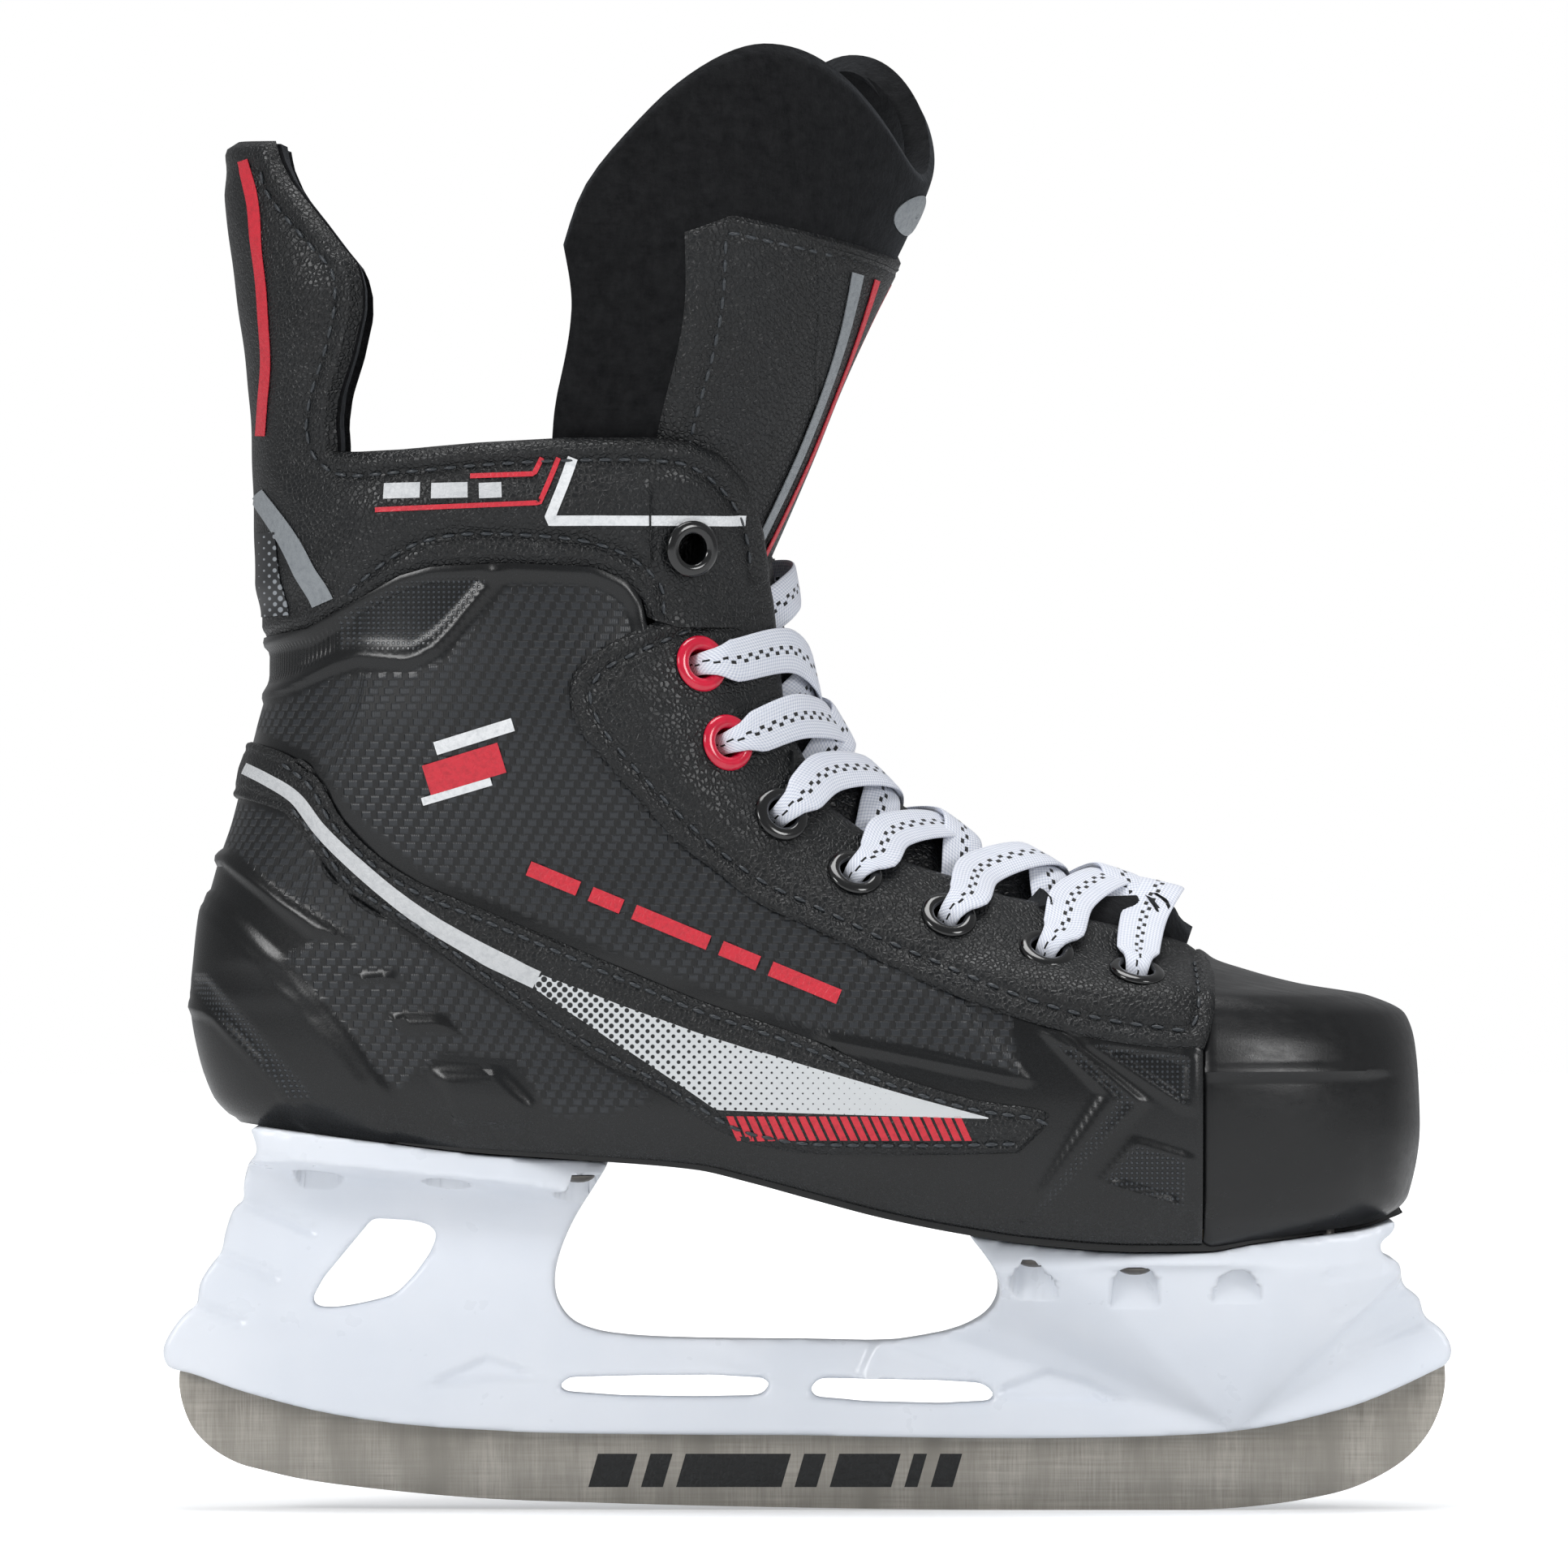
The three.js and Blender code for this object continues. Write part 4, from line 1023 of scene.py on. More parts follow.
def printed(name: str, colour: str, other: str, roughness: float = 0.4) -> bpy.types.Material:
    """Heat-transfer film that takes up the grain of the cover under it."""
    material, shader = Finish(name, colour, roughness).nodes()
    place = add(material, "TexCoord").outputs["Object"]
    worn = add(
        material, "MapRange",
        {
            0: add(
                material, "TexNoise",
                {"Vector": place, "Scale": 1000 / 1.3, "Detail": 4, "Roughness": 0.6}
            ),
            1: 0.45, 2: 0.8
        }
    )
    connect(
        material, add(material, "Mix", {0: worn, 6: colour, 7: other}, data_type="RGBA"),
        shader.inputs["Base Color"]
    )
    connect(
        material,
        add(material, "MapRange", {0: worn, 1: 0, 2: 1, 3: roughness, 4: roughness + 0.2}),
        shader.inputs["Roughness"]
    )
    cells = add(
        material, "TexVoronoi", {"Vector": place, "Scale": 1000 / 1.15}, feature="DISTANCE_TO_EDGE"
    ).outputs[0]
    connect(
        material,
        add(
            material, "Bump",
            {"Height": add(material, "MapRange", {0: cells, 1: 0, 2: 0.2}), "Distance": 0.05 * MM}
        ),
        shader.inputs["Normal"]
    )
    return material


def halftone(
    name: str, colour: str, dot: str, pitch_mm: float, fade: Sequence[float]
) -> bpy.types.Material:
    """Printed film with round dots on a slanting lattice that shrink from one end to the other.

    Args:
        name: the material's name.
        colour: the film.
        dot: the dots.
        pitch_mm: lattice pitch.
        fade: x of the largest and of the smallest dots, in millimetres.
    """
    material, shader = Finish(name, colour, 0.4).nodes()
    x, _, z = add(material, "SeparateXYZ", {0: add(material, "TexCoord").outputs["Object"]}).outputs
    across = add(
        material, "Math", {0: add(material, "Math", {0: x, 1: z}, operation="ADD"), 1: 0.7071},
        operation="MULTIPLY"
    )
    up = add(
        material, "Math", {0: add(material, "Math", {0: z, 1: x}, operation="SUBTRACT"), 1: 0.7071},
        operation="MULTIPLY"
    )
    far = lattice(material, across, up, pitch_mm)
    size = add(material, "MapRange", {0: x, 1: fade[0] * MM, 2: fade[1] * MM, 3: 0.47, 4: 0.0})
    inside = add(
        material, "MapRange",
        {0: add(material, "Math", {0: size, 1: far}, operation="SUBTRACT"), 1: -0.04, 2: 0.04}
    )
    connect(
        material, add(material, "Mix", {0: inside, 6: colour, 7: dot}, data_type="RGBA"),
        shader.inputs["Base Color"]
    )
    connect(
        material, add(material, "Bump", {"Height": inside, "Distance": 0.03 * MM}),
        shader.inputs["Normal"]
    )
    return material


def lace_weave() -> bpy.types.Material:
    """Flat polyester lace: a white herringbone plait with two staggered rows of black tracer."""
    material, shader = Finish("plaited_polyester", "#e9edf6", 0.78).nodes()
    surface = add(material, "UVMap", uv_map="Surface").outputs[0]
    u, v, _ = add(material, "SeparateXYZ", {0: surface}).outputs
    centred = add(
        material, "Math", {0: add(material, "Math", {0: u, 1: 0.5}, operation="SUBTRACT")},
        operation="ABSOLUTE"
    )
    # Plait ridges are about 0.45 mm apart; 0.9 mm is the finest that shows.
    slant = add(
        material, "Math",
        {0: centred, 1: 6.0, 2: add(material, "Math", {0: v, 1: 0.9 * MM}, operation="DIVIDE")},
        operation="MULTIPLY_ADD"
    )
    ridge = add(material, "Math", {0: slant, 1: 0.5}, operation="PINGPONG")
    cross = add(
        material, "Math", {0: add(material, "Math", {0: u, 1: 14.0}, operation="MULTIPLY"), 1: 0.5},
        operation="PINGPONG"
    )
    plait = add(material, "Math", {0: cross, 1: 0.8, 2: ridge}, operation="MULTIPLY_ADD")
    phase = add(
        material, "Math", {0: add(material, "Math", {0: v, 1: 4.2 * MM}, operation="DIVIDE")},
        operation="FRACT"
    )
    upper = add(material, "Math", {0: phase, 1: 0.5}, operation="GREATER_THAN")
    middle = add(material, "Math", {0: upper, 1: 0.11, 2: 0.445}, operation="MULTIPLY_ADD")
    near = add(
        material, "Math", {0: add(material, "Math", {0: u, 1: middle}, operation="SUBTRACT")},
        operation="ABSOLUTE"
    )
    dash = add(
        material, "Math", {0: add(material, "Math", {0: phase, 1: 2.0}, operation="MULTIPLY")},
        operation="FRACT"
    )
    drawn = add(
        material, "Math",
        {
            0: add(material, "Math", {0: near, 1: 0.042}, operation="LESS_THAN"),
            1: add(material, "Math", {0: dash, 1: 0.72}, operation="LESS_THAN")
        },
        operation="MULTIPLY"
    )
    # Painted shade: bluish grey in the grooves of the plait, white on its ridges.
    white = add(
        material, "Mix",
        {0: add(material, "MapRange", {0: plait, 1: 0.05, 2: 0.8}), 6: "#b9c0d2", 7: "#f3f5fb"},
        data_type="RGBA"
    )
    soiled = add(
        material, "MapRange",
        {
            0: add(
                material, "TexNoise",
                {
                    "Vector": add(material, "TexCoord").outputs["Object"], "Scale": 1000 / 6,
                    "Detail": 3, "Roughness": 0.55
                }
            ),
            1: 0.5, 2: 0.85, 3: 0, 4: 0.35
        }
    )
    white = add(material, "Mix", {0: soiled, 6: white, 7: "#cdd3e2"}, data_type="RGBA")
    connect(
        material, add(material, "Mix", {0: drawn, 6: white, 7: "#101114"}, data_type="RGBA"),
        shader.inputs["Base Color"]
    )
    shader.inputs["Sheen Weight"].default_value = 0.25
    shader.inputs["Sheen Roughness"].default_value = 0.4
    connect(
        material, add(material, "Bump", {"Height": plait, "Distance": 0.12 * MM}),
        shader.inputs["Normal"]
    )
    return material


def thread() -> bpy.types.Material:
    """Bonded black nylon sewing thread, twisted, with a slight shine; lighter flecks along the
    twist are painted highlight.
    """
    material, shader = Finish("bonded_nylon_thread", "#0e0f10", 0.3).nodes()
    twist = add(
        material, "TexNoise",
        {
            "Vector": add(
                material, "Mapping",
                {"Vector": add(material, "TexCoord").outputs["Object"], "Scale": (1, 1, 1)}
            ),
            "Scale": 1000 / 0.5, "Detail": 2, "Roughness": 0.55
        }
    )
    # Painted highlight: the lighter grey flecks stand in for glints on the twisted strands, mixed
    # with the thread's own dark tone.
    connect(
        material, add(material, "Mix", {0: twist, 6: "#15171a", 7: "#44494e"}, data_type="RGBA"),
        shader.inputs["Base Color"]
    )
    connect(
        material, add(material, "Bump", {"Height": twist, "Distance": 0.05 * MM}),
        shader.inputs["Normal"]
    )
    return material


def clear_sleeve() -> bpy.types.Material:
    """Shrunk acetate sleeve over the lace's end: milky, hard and shiny."""
    material, shader = Finish("acetate_sleeve", "#dfe3ea", 0.18).nodes()
    marks = add(
        material, "TexNoise",
        {
            "Vector": add(
                material, "Mapping",
                {"Vector": add(material, "TexCoord").outputs["Object"], "Scale": (1, 1, 0.15)}
            ),
            "Scale": 1000 / 0.8, "Detail": 3, "Roughness": 0.55
        }
    )
    connect(
        material,
        add(
            material, "Mix",
            {0: add(material, "MapRange", {0: marks, 1: 0.35, 2: 0.7}), 6: "#cdd2dc", 7: "#f0f2f6"},
            data_type="RGBA"
        ),
        shader.inputs["Base Color"]
    )
    shader.inputs["Coat Weight"].default_value = 0.5
    connect(
        material, add(material, "Bump", {"Height": marks, "Distance": 0.03 * MM}),
        shader.inputs["Normal"]
    )
    return material


def board() -> bpy.types.Material:
    """Pressed fibre board: brown, matt, with short fibres."""
    material, shader = Finish("pressed_fibre_board", "#6b5a42", 0.9).nodes()
    fibres = add(
        material, "TexNoise",
        {
            "Vector": add(
                material, "Mapping",
                {"Vector": add(material, "TexCoord").outputs["Object"], "Scale": (0.3, 1, 1)}
            ),
            "Scale": 1000 / 1.2, "Detail": 5, "Roughness": 0.7
        }
    )
    connect(
        material, add(material, "Mix", {0: fibres, 6: "#554632", 7: "#857352"}, data_type="RGBA"),
        shader.inputs["Base Color"]
    )
    connect(
        material, add(material, "Bump", {"Height": fibres, "Distance": 0.08 * MM}),
        shader.inputs["Normal"]
    )
    return material


class Finishes:
    """All finishes of the skate, made once."""

    def __init__(self) -> None:
        """Makes every material."""
        self.holder = holder_plastic()
        self.runner = runner_steel()
        self.bolt = plain_steel("zinc_plated_steel", "#b9bab8", 0.32)
        self.rivet = plain_steel("blackened_steel", "#6f6c68", 0.4)
        self.shell = shell_plastic()
        self.toe = satin_plastic("moulded_satin_plastic", "#08090a", "#0d0e10", 0.3)
        self.rubber = satin_plastic("moulded_rubber", "#0b0c0d", "#121314", 0.55)
        self.leather = leather()
        self.felt = felt("needled_black_felt", "#060607", "#1b1b1c")
        self.lining = felt("brushed_black_lining", "#08080a", "#202022")
        self.foam = felt("moulded_grey_foam", "#202124", "#3a3c40")
        self.red_enamel = enamel("red_enamelled_steel", "#d90d38")
        self.black_enamel = enamel("black_enamelled_steel", "#08090a")
        self.silver = printed("silver_transfer", "#c9cbcd", "#b4b7ba")
        self.white = printed("white_transfer", "#e6e8ea", "#c8cbce")
        self.red = printed("red_transfer", "#cf2a3a", "#b02230")
        self.grey = printed("grey_transfer", "#8a8f93", "#767b80")
        self.ink = printed("black_transfer", "#0b0c0d", "#1a1c1e")
        self.wedge_dots = halftone("silver_halftone", "#cdd0d2", "#15171a", 1.65, (-72, 24))
        self.guard_dots = halftone("grey_halftone", "#15171a", "#8d9297", 1.8, (-117, -126))
        self.lace = lace_weave()
        self.thread = thread()
        self.sleeve = clear_sleeve()
        self.board = board()


FINISHES = Finishes()


def dress(piece: bpy.types.Object, *materials: bpy.types.Material) -> bpy.types.Object:
    """Gives a piece its materials in order."""
    piece.data.materials.clear()
    for material in materials:
        piece.data.materials.append(material)
    return piece


def seat(piece: bpy.types.Object, body: str | None, slot: str, *nodes: str) -> bpy.types.Object:
    """Rides a piece on a body and hides the frame's nodes that it replaces.

    Args:
        piece: the finished piece.
        body: the body that it moves with, or None for a piece that bends between two.
        slot: the record's material slot; not used.
        nodes: the frame's nodes that it stands for.
    """
    if body:
        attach(piece, body)
    if nodes:
        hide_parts(*nodes)
    LOG.info("%s: %d faces", piece.name, len(piece.data.polygons))
    return piece


class Stitching:
    """Rows of sewn stitches that become one piece."""

    def __init__(self) -> None:
        """Starts with no stitches."""
        self.places: list[Array] = []
        self.axes: list[Array] = []

    def sew(self, points: Array, normals: Array, pitch: float) -> None:
        """Adds a row of stitches.

        Args:
            points: places along the row, in order.
            normals: outward directions there.
            pitch: distance from stitch to stitch.
        """
        along = np.concatenate([[0], np.cumsum(np.linalg.norm(np.diff(points, axis=0), axis=1))])
        at = np.arange(pitch / 2, along[-1], pitch)

        def on(values: Array, where: Array) -> Array:
            return np.stack([np.interp(where, along, values[:, k]) for k in range(3)], axis=1)

        forward = on(points, np.minimum(at + 1, along[-1])) - on(points, np.maximum(at - 1, 0))
        forward /= np.linalg.norm(forward, axis=1, keepdims=True)
        out = on(normals, at)
        out -= forward * (out * forward).sum(1, keepdims=True)
        out /= np.linalg.norm(out, axis=1, keepdims=True)
        self.places.append(on(points, at))
        self.axes.append(np.stack([forward, np.cross(out, forward), out], axis=1))

    def sew_side(
        self, line: Line, lift: Callable[[Array, Array], Array], pitch: float = 4.4
    ) -> None:
        """Adds a row on both sides of the boot along a side-view line.

        Args:
            line: the row's places in the side view.
            lift: height of the cover above the boot form.
            pitch: distance from stitch to stitch.
        """
        line = spaced(smooth(line), 260)
        x, z = line[:, 0], line[:, 1]
        for side in Side:
            normals = FORM.normal(x, z, side.value)
            points = FORM.on_side(x, z, side.value) + normals * (lift(x, z)[:, None] + 0.2)
            self.sew(points, normals, pitch)

    def build(self, name: str) -> bpy.types.Object:
        """One stitch is modelled and copied to every place."""
        deselect()
        bpy.ops.mesh.primitive_uv_sphere_add(segments=6, ring_count=5, radius=MM)
        model = bpy.context.object
        bpy.ops.object.mode_set(mode="EDIT")
        bpy.ops.mesh.select_all(action="SELECT")
        bpy.ops.transform.rotate(value=math.pi / 2, orient_axis="Y", center_override=(0, 0, 0))
        bpy.ops.transform.resize(value=(1.55, 0.5, 0.45), center_override=(0, 0, 0))
        bpy.ops.object.mode_set(mode="OBJECT")
        piece = tiled(name, model, np.vstack(self.places), np.vstack(self.axes))
        return dress(piece, FINISHES.thread)


# ------------------------------------------------------------------ boot shell


@dataclass
class Wrap:
    """A sheet that runs from one front edge round the heel to the other front edge.

    Attributes:
        front: x of the front edges.
        low, high: heights of the lower and upper edges by x.
        reach: how far ahead of the back the heel's own columns end.
        heel_share: the part of all columns that the heel takes.
        bunch: above 1 where columns crowd towards the front edge.
    """

    front: float
    low: Callable[[Array], Array]
    high: Callable[[Array], Array]
    reach: float = 22.0
    heel_share: float = 0.15
    bunch: float = 1.0

    def side_view(self, u: Array, v: Array) -> tuple[Array, Array, Array]:
        """x, z and side at each (u, v)."""
        a = (1 - self.heel_share) / 2
        side = np.where(u < 0.5, -1.0, 1.0)
        near = np.minimum(u, 1 - u)
        c = 1 - np.clip((a - near) / a, 0, 1)
        part = 1 - c
        part = 1 - (1 - part) ** self.bunch
        q = np.clip((near - a) / (0.5 - a), 0, 1)
        z = self.low(0 * u) + v * (self.high(0 * u) - self.low(0 * u))
        for _ in range(10):
            back = FORM.back(z)
            seam = back + self.reach
            x = np.where(
                near < a, seam + (self.front - seam) * part, back + self.reach * (1 - q) ** 2
            )
            z = self.low(x) + v * (self.high(x) - self.low(x))
        return x, z, side

    def place(self, u: Array, v: Array) -> Array:
        """Points of the boot form at each (u, v)."""
        x, z, side = self.side_view(u, v)
        return np.stack([x, FORM.middle(x) + side * FORM.half_width(x, z), z], axis=-1)

    def uv(self, u: Array, v: Array, points: Array) -> Array:
        """x along the sides, carried on round the heel by arc length, and height."""
        x, z, side = self.side_view(u, v)
        a = (1 - self.heel_share) / 2
        near = np.minimum(u, 1 - u)
        round_heel = np.clip((near - a) / (0.5 - a), 0, 1) * 36
        seam = FORM.back(np.full_like(x, 165.0)) + self.reach
        across = np.where(near < a, x, seam - round_heel)
        return np.stack([across, z], axis=-1) * MM


def along_line(line: Line) -> Callable[[Array], Array]:
    """Heights of a side-view line by x."""
    points = np.array(line, float)
    return lambda x: np.interp(x, points[:, 0], points[:, 1])


@dataclass
class BootShell:
    """The moulded shell: quarters and heel in one, with raised beads, ribs and panels."""

    thickness: float = 2.3
    columns: int = 388
    rows: int = 104
    seam_bead: Line = (
        (-140, 196.2), (-123.2, 197.6), (-112.5, 200.2), (-100.4, 206.6), (-92, 211.2),
        (-85, 213.2),
        (-67.5, 214.1), (-48.8, 213.2), (-42, 210.2), (-38.6, 205.8), (-37.4, 200), (-37.4, 194),
    )
    second_bead: Line = (
        (-140, 184), (-124.4, 185.3), (-117, 188), (-106, 193.2), (-101.3, 194.4), (-90.2, 193.4),
        (-84.6, 196), (-80, 200.6), (-74.4, 207.6), (-69.7, 213.1),
    )
    heel_cup: Line = (
        (-150, 141), (-136.2, 139.7), (-125, 129.5), (-118, 122.5), (-110, 114), (-104, 107),
        (-97, 97.5), (-93, 90), (-93, 60), (-150, 60),
    )
    ribs: tuple[Line, ...] = (
        (
            (-140, 151), (-131, 150.4), (-118, 140), (-104, 131.4), (-102.6, 129.6), (-112, 130.4),
            (-133, 146.6), (-140, 147)
        ),
        ((-104, 123), (-94, 123.5), (-91, 120), (-101, 120)),
        ((-95.5, 113.8), (-83, 113.8), (-78, 109), (-91, 108.5)),
        ((-86, 101), (-69.5, 101), (-61, 92.5), (-63, 88), (-80, 88), (-82, 95)),
    )
    cup_band: Line = (
        (-139, 122), (-136, 122), (-127, 112), (-112, 95), (-117, 93.5), (-131, 109), (-140, 119)
    )
    cup_line: Line = ((-140, 115), (-134, 113), (-127, 106), (-119, 97.5), (-113, 88))
    tip_ridge: Line = ((14, 124.6), (20, 123), (33, 116), (48.4, 99), (27.9, 103.2), (4, 108))
    chevron: Line = ((50.5, 110.8), (65.4, 95.5), (46, 66), (49.4, 66), (77, 94), (57, 110.2))
    chevron_inner: Line = ((55, 107), (70, 94.4), (51, 68.4), (53.6, 70.2), (74, 93.6), (60, 106.2))
    upper_panel: Line = ((63.4, 107.2), (86, 104), (85.4, 92.6))
    lower_panel: Line = ((66.5, 75.8), (74, 84.2), (85.4, 80.8), (84.6, 70))
    upper_weave: Line = (
        (-140, 181), (-122, 183), (-106, 190), (-90, 190.6), (-82, 194), (-76, 201), (-67.5, 210.5),
        (-48.8, 210.4), (-41, 206), (-39, 196), (-30, 196), (0, 170), (30, 130), (46, 114),
        (47.6, 100),
        (28, 105.4), (0, 110.6), (-46, 128.5), (-87, 145.5), (-104, 160), (-112, 172), (-126, 178),
        (-140, 178),
    )
    lower_weave: Line = (
        (-140, 164), (-127, 161), (-118, 158), (-112, 151), (-104, 141), (-89, 130), (-70, 117.5),
        (-52, 105),
        (-34, 95), (-46, 90.4), (-58, 90.4), (-66, 103), (-82, 105.4), (-93, 96), (-98, 101),
        (-104, 110),
        (-112, 119), (-119, 126.5), (-110, 131), (-120, 140), (-133, 152), (-140, 153),
    )
    dotted: Line = (
        (-106, 203), (-92, 210.6), (-85, 212), (-72, 212.4), (-77, 205.6), (-82.6, 199.4),
        (-88.4, 195.4), (-101, 196.6), (-106, 196)
    )
    ribbed: Line = (
        (-140, 195), (-123, 196), (-112, 198.6), (-107, 202), (-106.6, 195.4), (-116, 190.4),
        (-124, 187.6), (-140, 187)
    )

    def wrap(self) -> Wrap:
        """The shell's extent: from the sole up to the collar seam and the facing edges."""
        top = (
            *COLLAR_SEAM[:-1], (-37, 200), (-20, 196), (-8, 191), (-5.4, 183), (-4.1, 177),
            (5, 159.4), (22, 147),
            (35, 143.2), (44.6, 139.6), (52, 138.2), (65, 134), (81.8, 130.2), (86, 128.6),
            (TOE_CAP_REAR_X, 126),
        )
        return Wrap(TOE_CAP_REAR_X - 0.4, lambda x: FORM.sole(x) + 0.2, along_line(top))

    def relief(self, u: Array, v: Array, points: Array) -> Array:
        """Height of the moulded relief at each point."""
        x, z = points[:, 0], points[:, 2]

        def bead(line: Line, width: float, height: float) -> Array:
            return height * np.clip(1 - (away(line, x, z) / width) ** 2, 0, 1) ** 0.75

        def panel(outline: Line, bevel: float, height: float) -> Array:
            return height * smoothstep(depth_in(outline, x, z), 0, bevel)

        lift = np.zeros_like(x)
        lift += bead(self.seam_bead, 2.0, 1.2) + bead(self.second_bead, 1.5, 0.8)
        lift -= panel(self.dotted, 1.6, 0.5) + panel(self.ribbed, 1.6, 0.35)
        for rib in self.ribs:
            lift += panel(rib, 1.4, 1.2)
        lift += panel(self.heel_cup, 3.0, 1.1) + bead(self.heel_cup[1:8], 1.7, 0.7)
        lift -= panel(self.cup_band, 1.2, 0.6)
        lift += bead(self.cup_line, 1.3, 0.6)
        lift += bead(self.tip_ridge, 1.5, 0.7)
        lift += panel(self.chevron, 1.5, 1.0) - panel(self.chevron_inner, 1.1, 0.7)
        for outline in (self.upper_panel, self.lower_panel):
            lift += bead((*outline, outline[0]), 1.5, 0.6) - panel(outline, 1.4, 0.5)
        lift += bead(((87.6, 64), (87.6, 105)), 1.5, 0.7) + bead(
            ((55, 111), (70, 108.6), (88, 106)), 1.3, 0.5
        )
        lift -= 0.9 * np.exp(-((z - FORM.sole(x) - 0.5) / 1.2) ** 2)
        return lift

    def masks(self, piece: bpy.types.Object) -> None:
        """Writes where the woven look, the dots and the fine ribs are."""
        points = get_points(piece)
        x, z = points[:, 0], points[:, 2]

        def mask(outlines: Sequence[Line]) -> Array:
            return np.max([smoothstep(depth_in(o, x, z), -0.2, 1.0) for o in outlines], axis=0)

        woven = mask([self.upper_weave, self.lower_weave])
        for rib in self.ribs:
            woven *= 1 - smoothstep(depth_in(rib, x, z), -1.0, 0.2)
        dots = mask(
            [self.dotted, self.cup_band, self.upper_panel, self.lower_panel, self.chevron_inner]
        )
        paint(piece, "Zones", woven, dots, mask([self.ribbed]))

    def build(self) -> None:
        """Shapes the shell, opens its eyelet holes and dresses it."""
        wrap = self.wrap()
        piece = sheet("shell", self.columns, self.rows, wrap.place, self.relief, uv=wrap.uv)
        punch(piece, EYELETS.centres(), 4.4)
        thicken(piece, self.thickness)
        self.masks(piece)
        dress(piece, FINISHES.shell)
        seat(piece, "boot", "shell_plastic", "boot_shell")


# ------------------------------------------------------------------ toe cap and soles


class ToeForm:
    """The front of the boot form, laid out in even steps round and over the toe."""

    def __init__(self) -> None:
        """Tabulates the surface."""
        levels = np.linspace(61.5, 128.2, 600)
        profile = np.stack([FORM.front(levels), levels], axis=1)
        heights = spaced(profile, 121)[:, 1]
        heights[-1] -= 0.02
        q = np.linspace(-1, 1, 401)
        rows = []
        for level in heights:
            x = np.full(401, 110.0)
            for _ in range(8):
                fade = smoothstep(np.array(level), 62, 96)
                z = level + (FORM.sole(x) + 0.6 - 61.5) * (1 - fade)
                front = np.maximum(FORM.front(z), TOE_CAP_REAR_X + 0.05)
                x = TOE_CAP_REAR_X + (front - TOE_CAP_REAR_X) * (1 - q**2)
            y = FORM.middle(x) + np.sign(q) * FORM.half_width(x, z)
            rows.append(spaced(np.stack([x, y, z], axis=1), 161))
        self.table = np.array(rows)

    def place(self, u: Array, v: Array) -> Array:
        """Points at each (u, v): u round the toe and v up and back over it."""
        i, j = v * 120, u * 160
        i0, j0 = np.minimum(i.astype(int), 119), np.minimum(j.astype(int), 159)
        a, b = (i - i0)[:, None], (j - j0)[:, None]
        t = self.table
        low = t[i0, j0] * (1 - b) + t[i0, j0 + 1] * b
        high = t[i0 + 1, j0] * (1 - b) + t[i0 + 1, j0 + 1] * b
        return low * (1 - a) + high * a


@dataclass
class ToeCap:
    """The moulded cap with a recessed side panel under a raised ledge, and its felt lining."""

    thickness: float = 2.3
    ledge_z: float = 100.4

    def relief(self, u: Array, v: Array, points: Array) -> Array:
        """Height of the cap's relief."""
        x, z = points[:, 0], points[:, 2]
        front = smoothstep(x, 134.5, 127)
        below = smoothstep(z, self.ledge_z, self.ledge_z - 1.6) * smoothstep(z, 66, 72)
        ledge = np.exp(-((z - self.ledge_z - 0.5) / 0.9) ** 2) * smoothstep(x, 139, 118)
        rear = np.exp(-((x - TOE_CAP_REAR_X) / 0.8) ** 2)
        foot = np.exp(-((z - FORM.sole(x) - 0.6) / 1.0) ** 2)
        return 0.55 * ledge - 0.9 * below * front - 0.8 * rear - 0.5 * foot

    def build(self) -> None:
        """Shapes the cap and the lining behind it."""
        form = ToeForm()
        piece = sheet(
            "toe_cap_shell", 150, 112, form.place, self.relief, outward=lambda p: p - [90, 2, 85]
        )
        thicken(piece, self.thickness)
        dress(piece, FINISHES.toe)
        seat(piece, "boot", "toe_plastic", "toe_cap")
        lining = sheet("toe_felt", 70, 50, form.place, -2.8, outward=lambda p: p - [90, 2, 85])
        thicken(lining, 3.1)
        dress(lining, FINISHES.lining)
        seat(lining, "boot", "felt", "toe_lining")


@dataclass
class Soles:
    """The rubber sole plate, the insole board and the foam footbed."""

    def flat(
        self, name: str, rise: float, inset: float, rear: float, toe: float, dish: float,
        columns: int
    ) -> bpy.types.Object:
        """A plate that follows the sole line.

        Args:
            name: the piece's name.
            rise: its top above the sole line.
            inset: how far its edge lies inside the boot form.
            rear: x of its back end.
            toe: x of its front end.
            dish: how far its edges curl up.
            columns: faces along.
        """

        def place(u: Array, v: Array) -> Array:
            x = rear + (toe - rear) * (1 - np.cos(np.pi * u)) / 2
            z = FORM.sole(x) + rise
            across = np.sin((v - 0.5) * np.pi)
            at = np.clip((x - rear) / (toe - rear), 0, 1)
            ends = np.clip(1 - np.abs(2 * at - 1) ** 9, 0, 1) ** 0.5
            half = np.maximum(FORM.half_width(np.clip(x, rear + 3, toe - 3), z) - inset, 1) * ends
            return np.stack([x, FORM.middle(x) + across * half, z + dish * across**6], axis=-1)

        return sheet(name, columns, 40, place, outward=lambda p: p * 0 + [0, 0, 1])

    def build(self) -> None:
        """Makes the plate and the footbed, and dresses the board."""
        plate = self.flat("sole_plate", 2.4, 1.4, -127.5, 134.6, 0.0, 220)
        thicken(plate, 2.2)
        dress(plate, FINISHES.rubber)
        seat(plate, "boot", "sole_rubber", "outsole")
        bed = self.flat("footbed_foam_top", 9.6, 7.4, -121, 129, 2.0, 120)
        thicken(bed, 4.0)
        dress(bed, FINISHES.foam)
        seat(bed, "boot", "footbed_foam", "footbed")
        dress(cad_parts["insole_board"], FINISHES.board)


# ------------------------------------------------------------------ collar and tendon guard


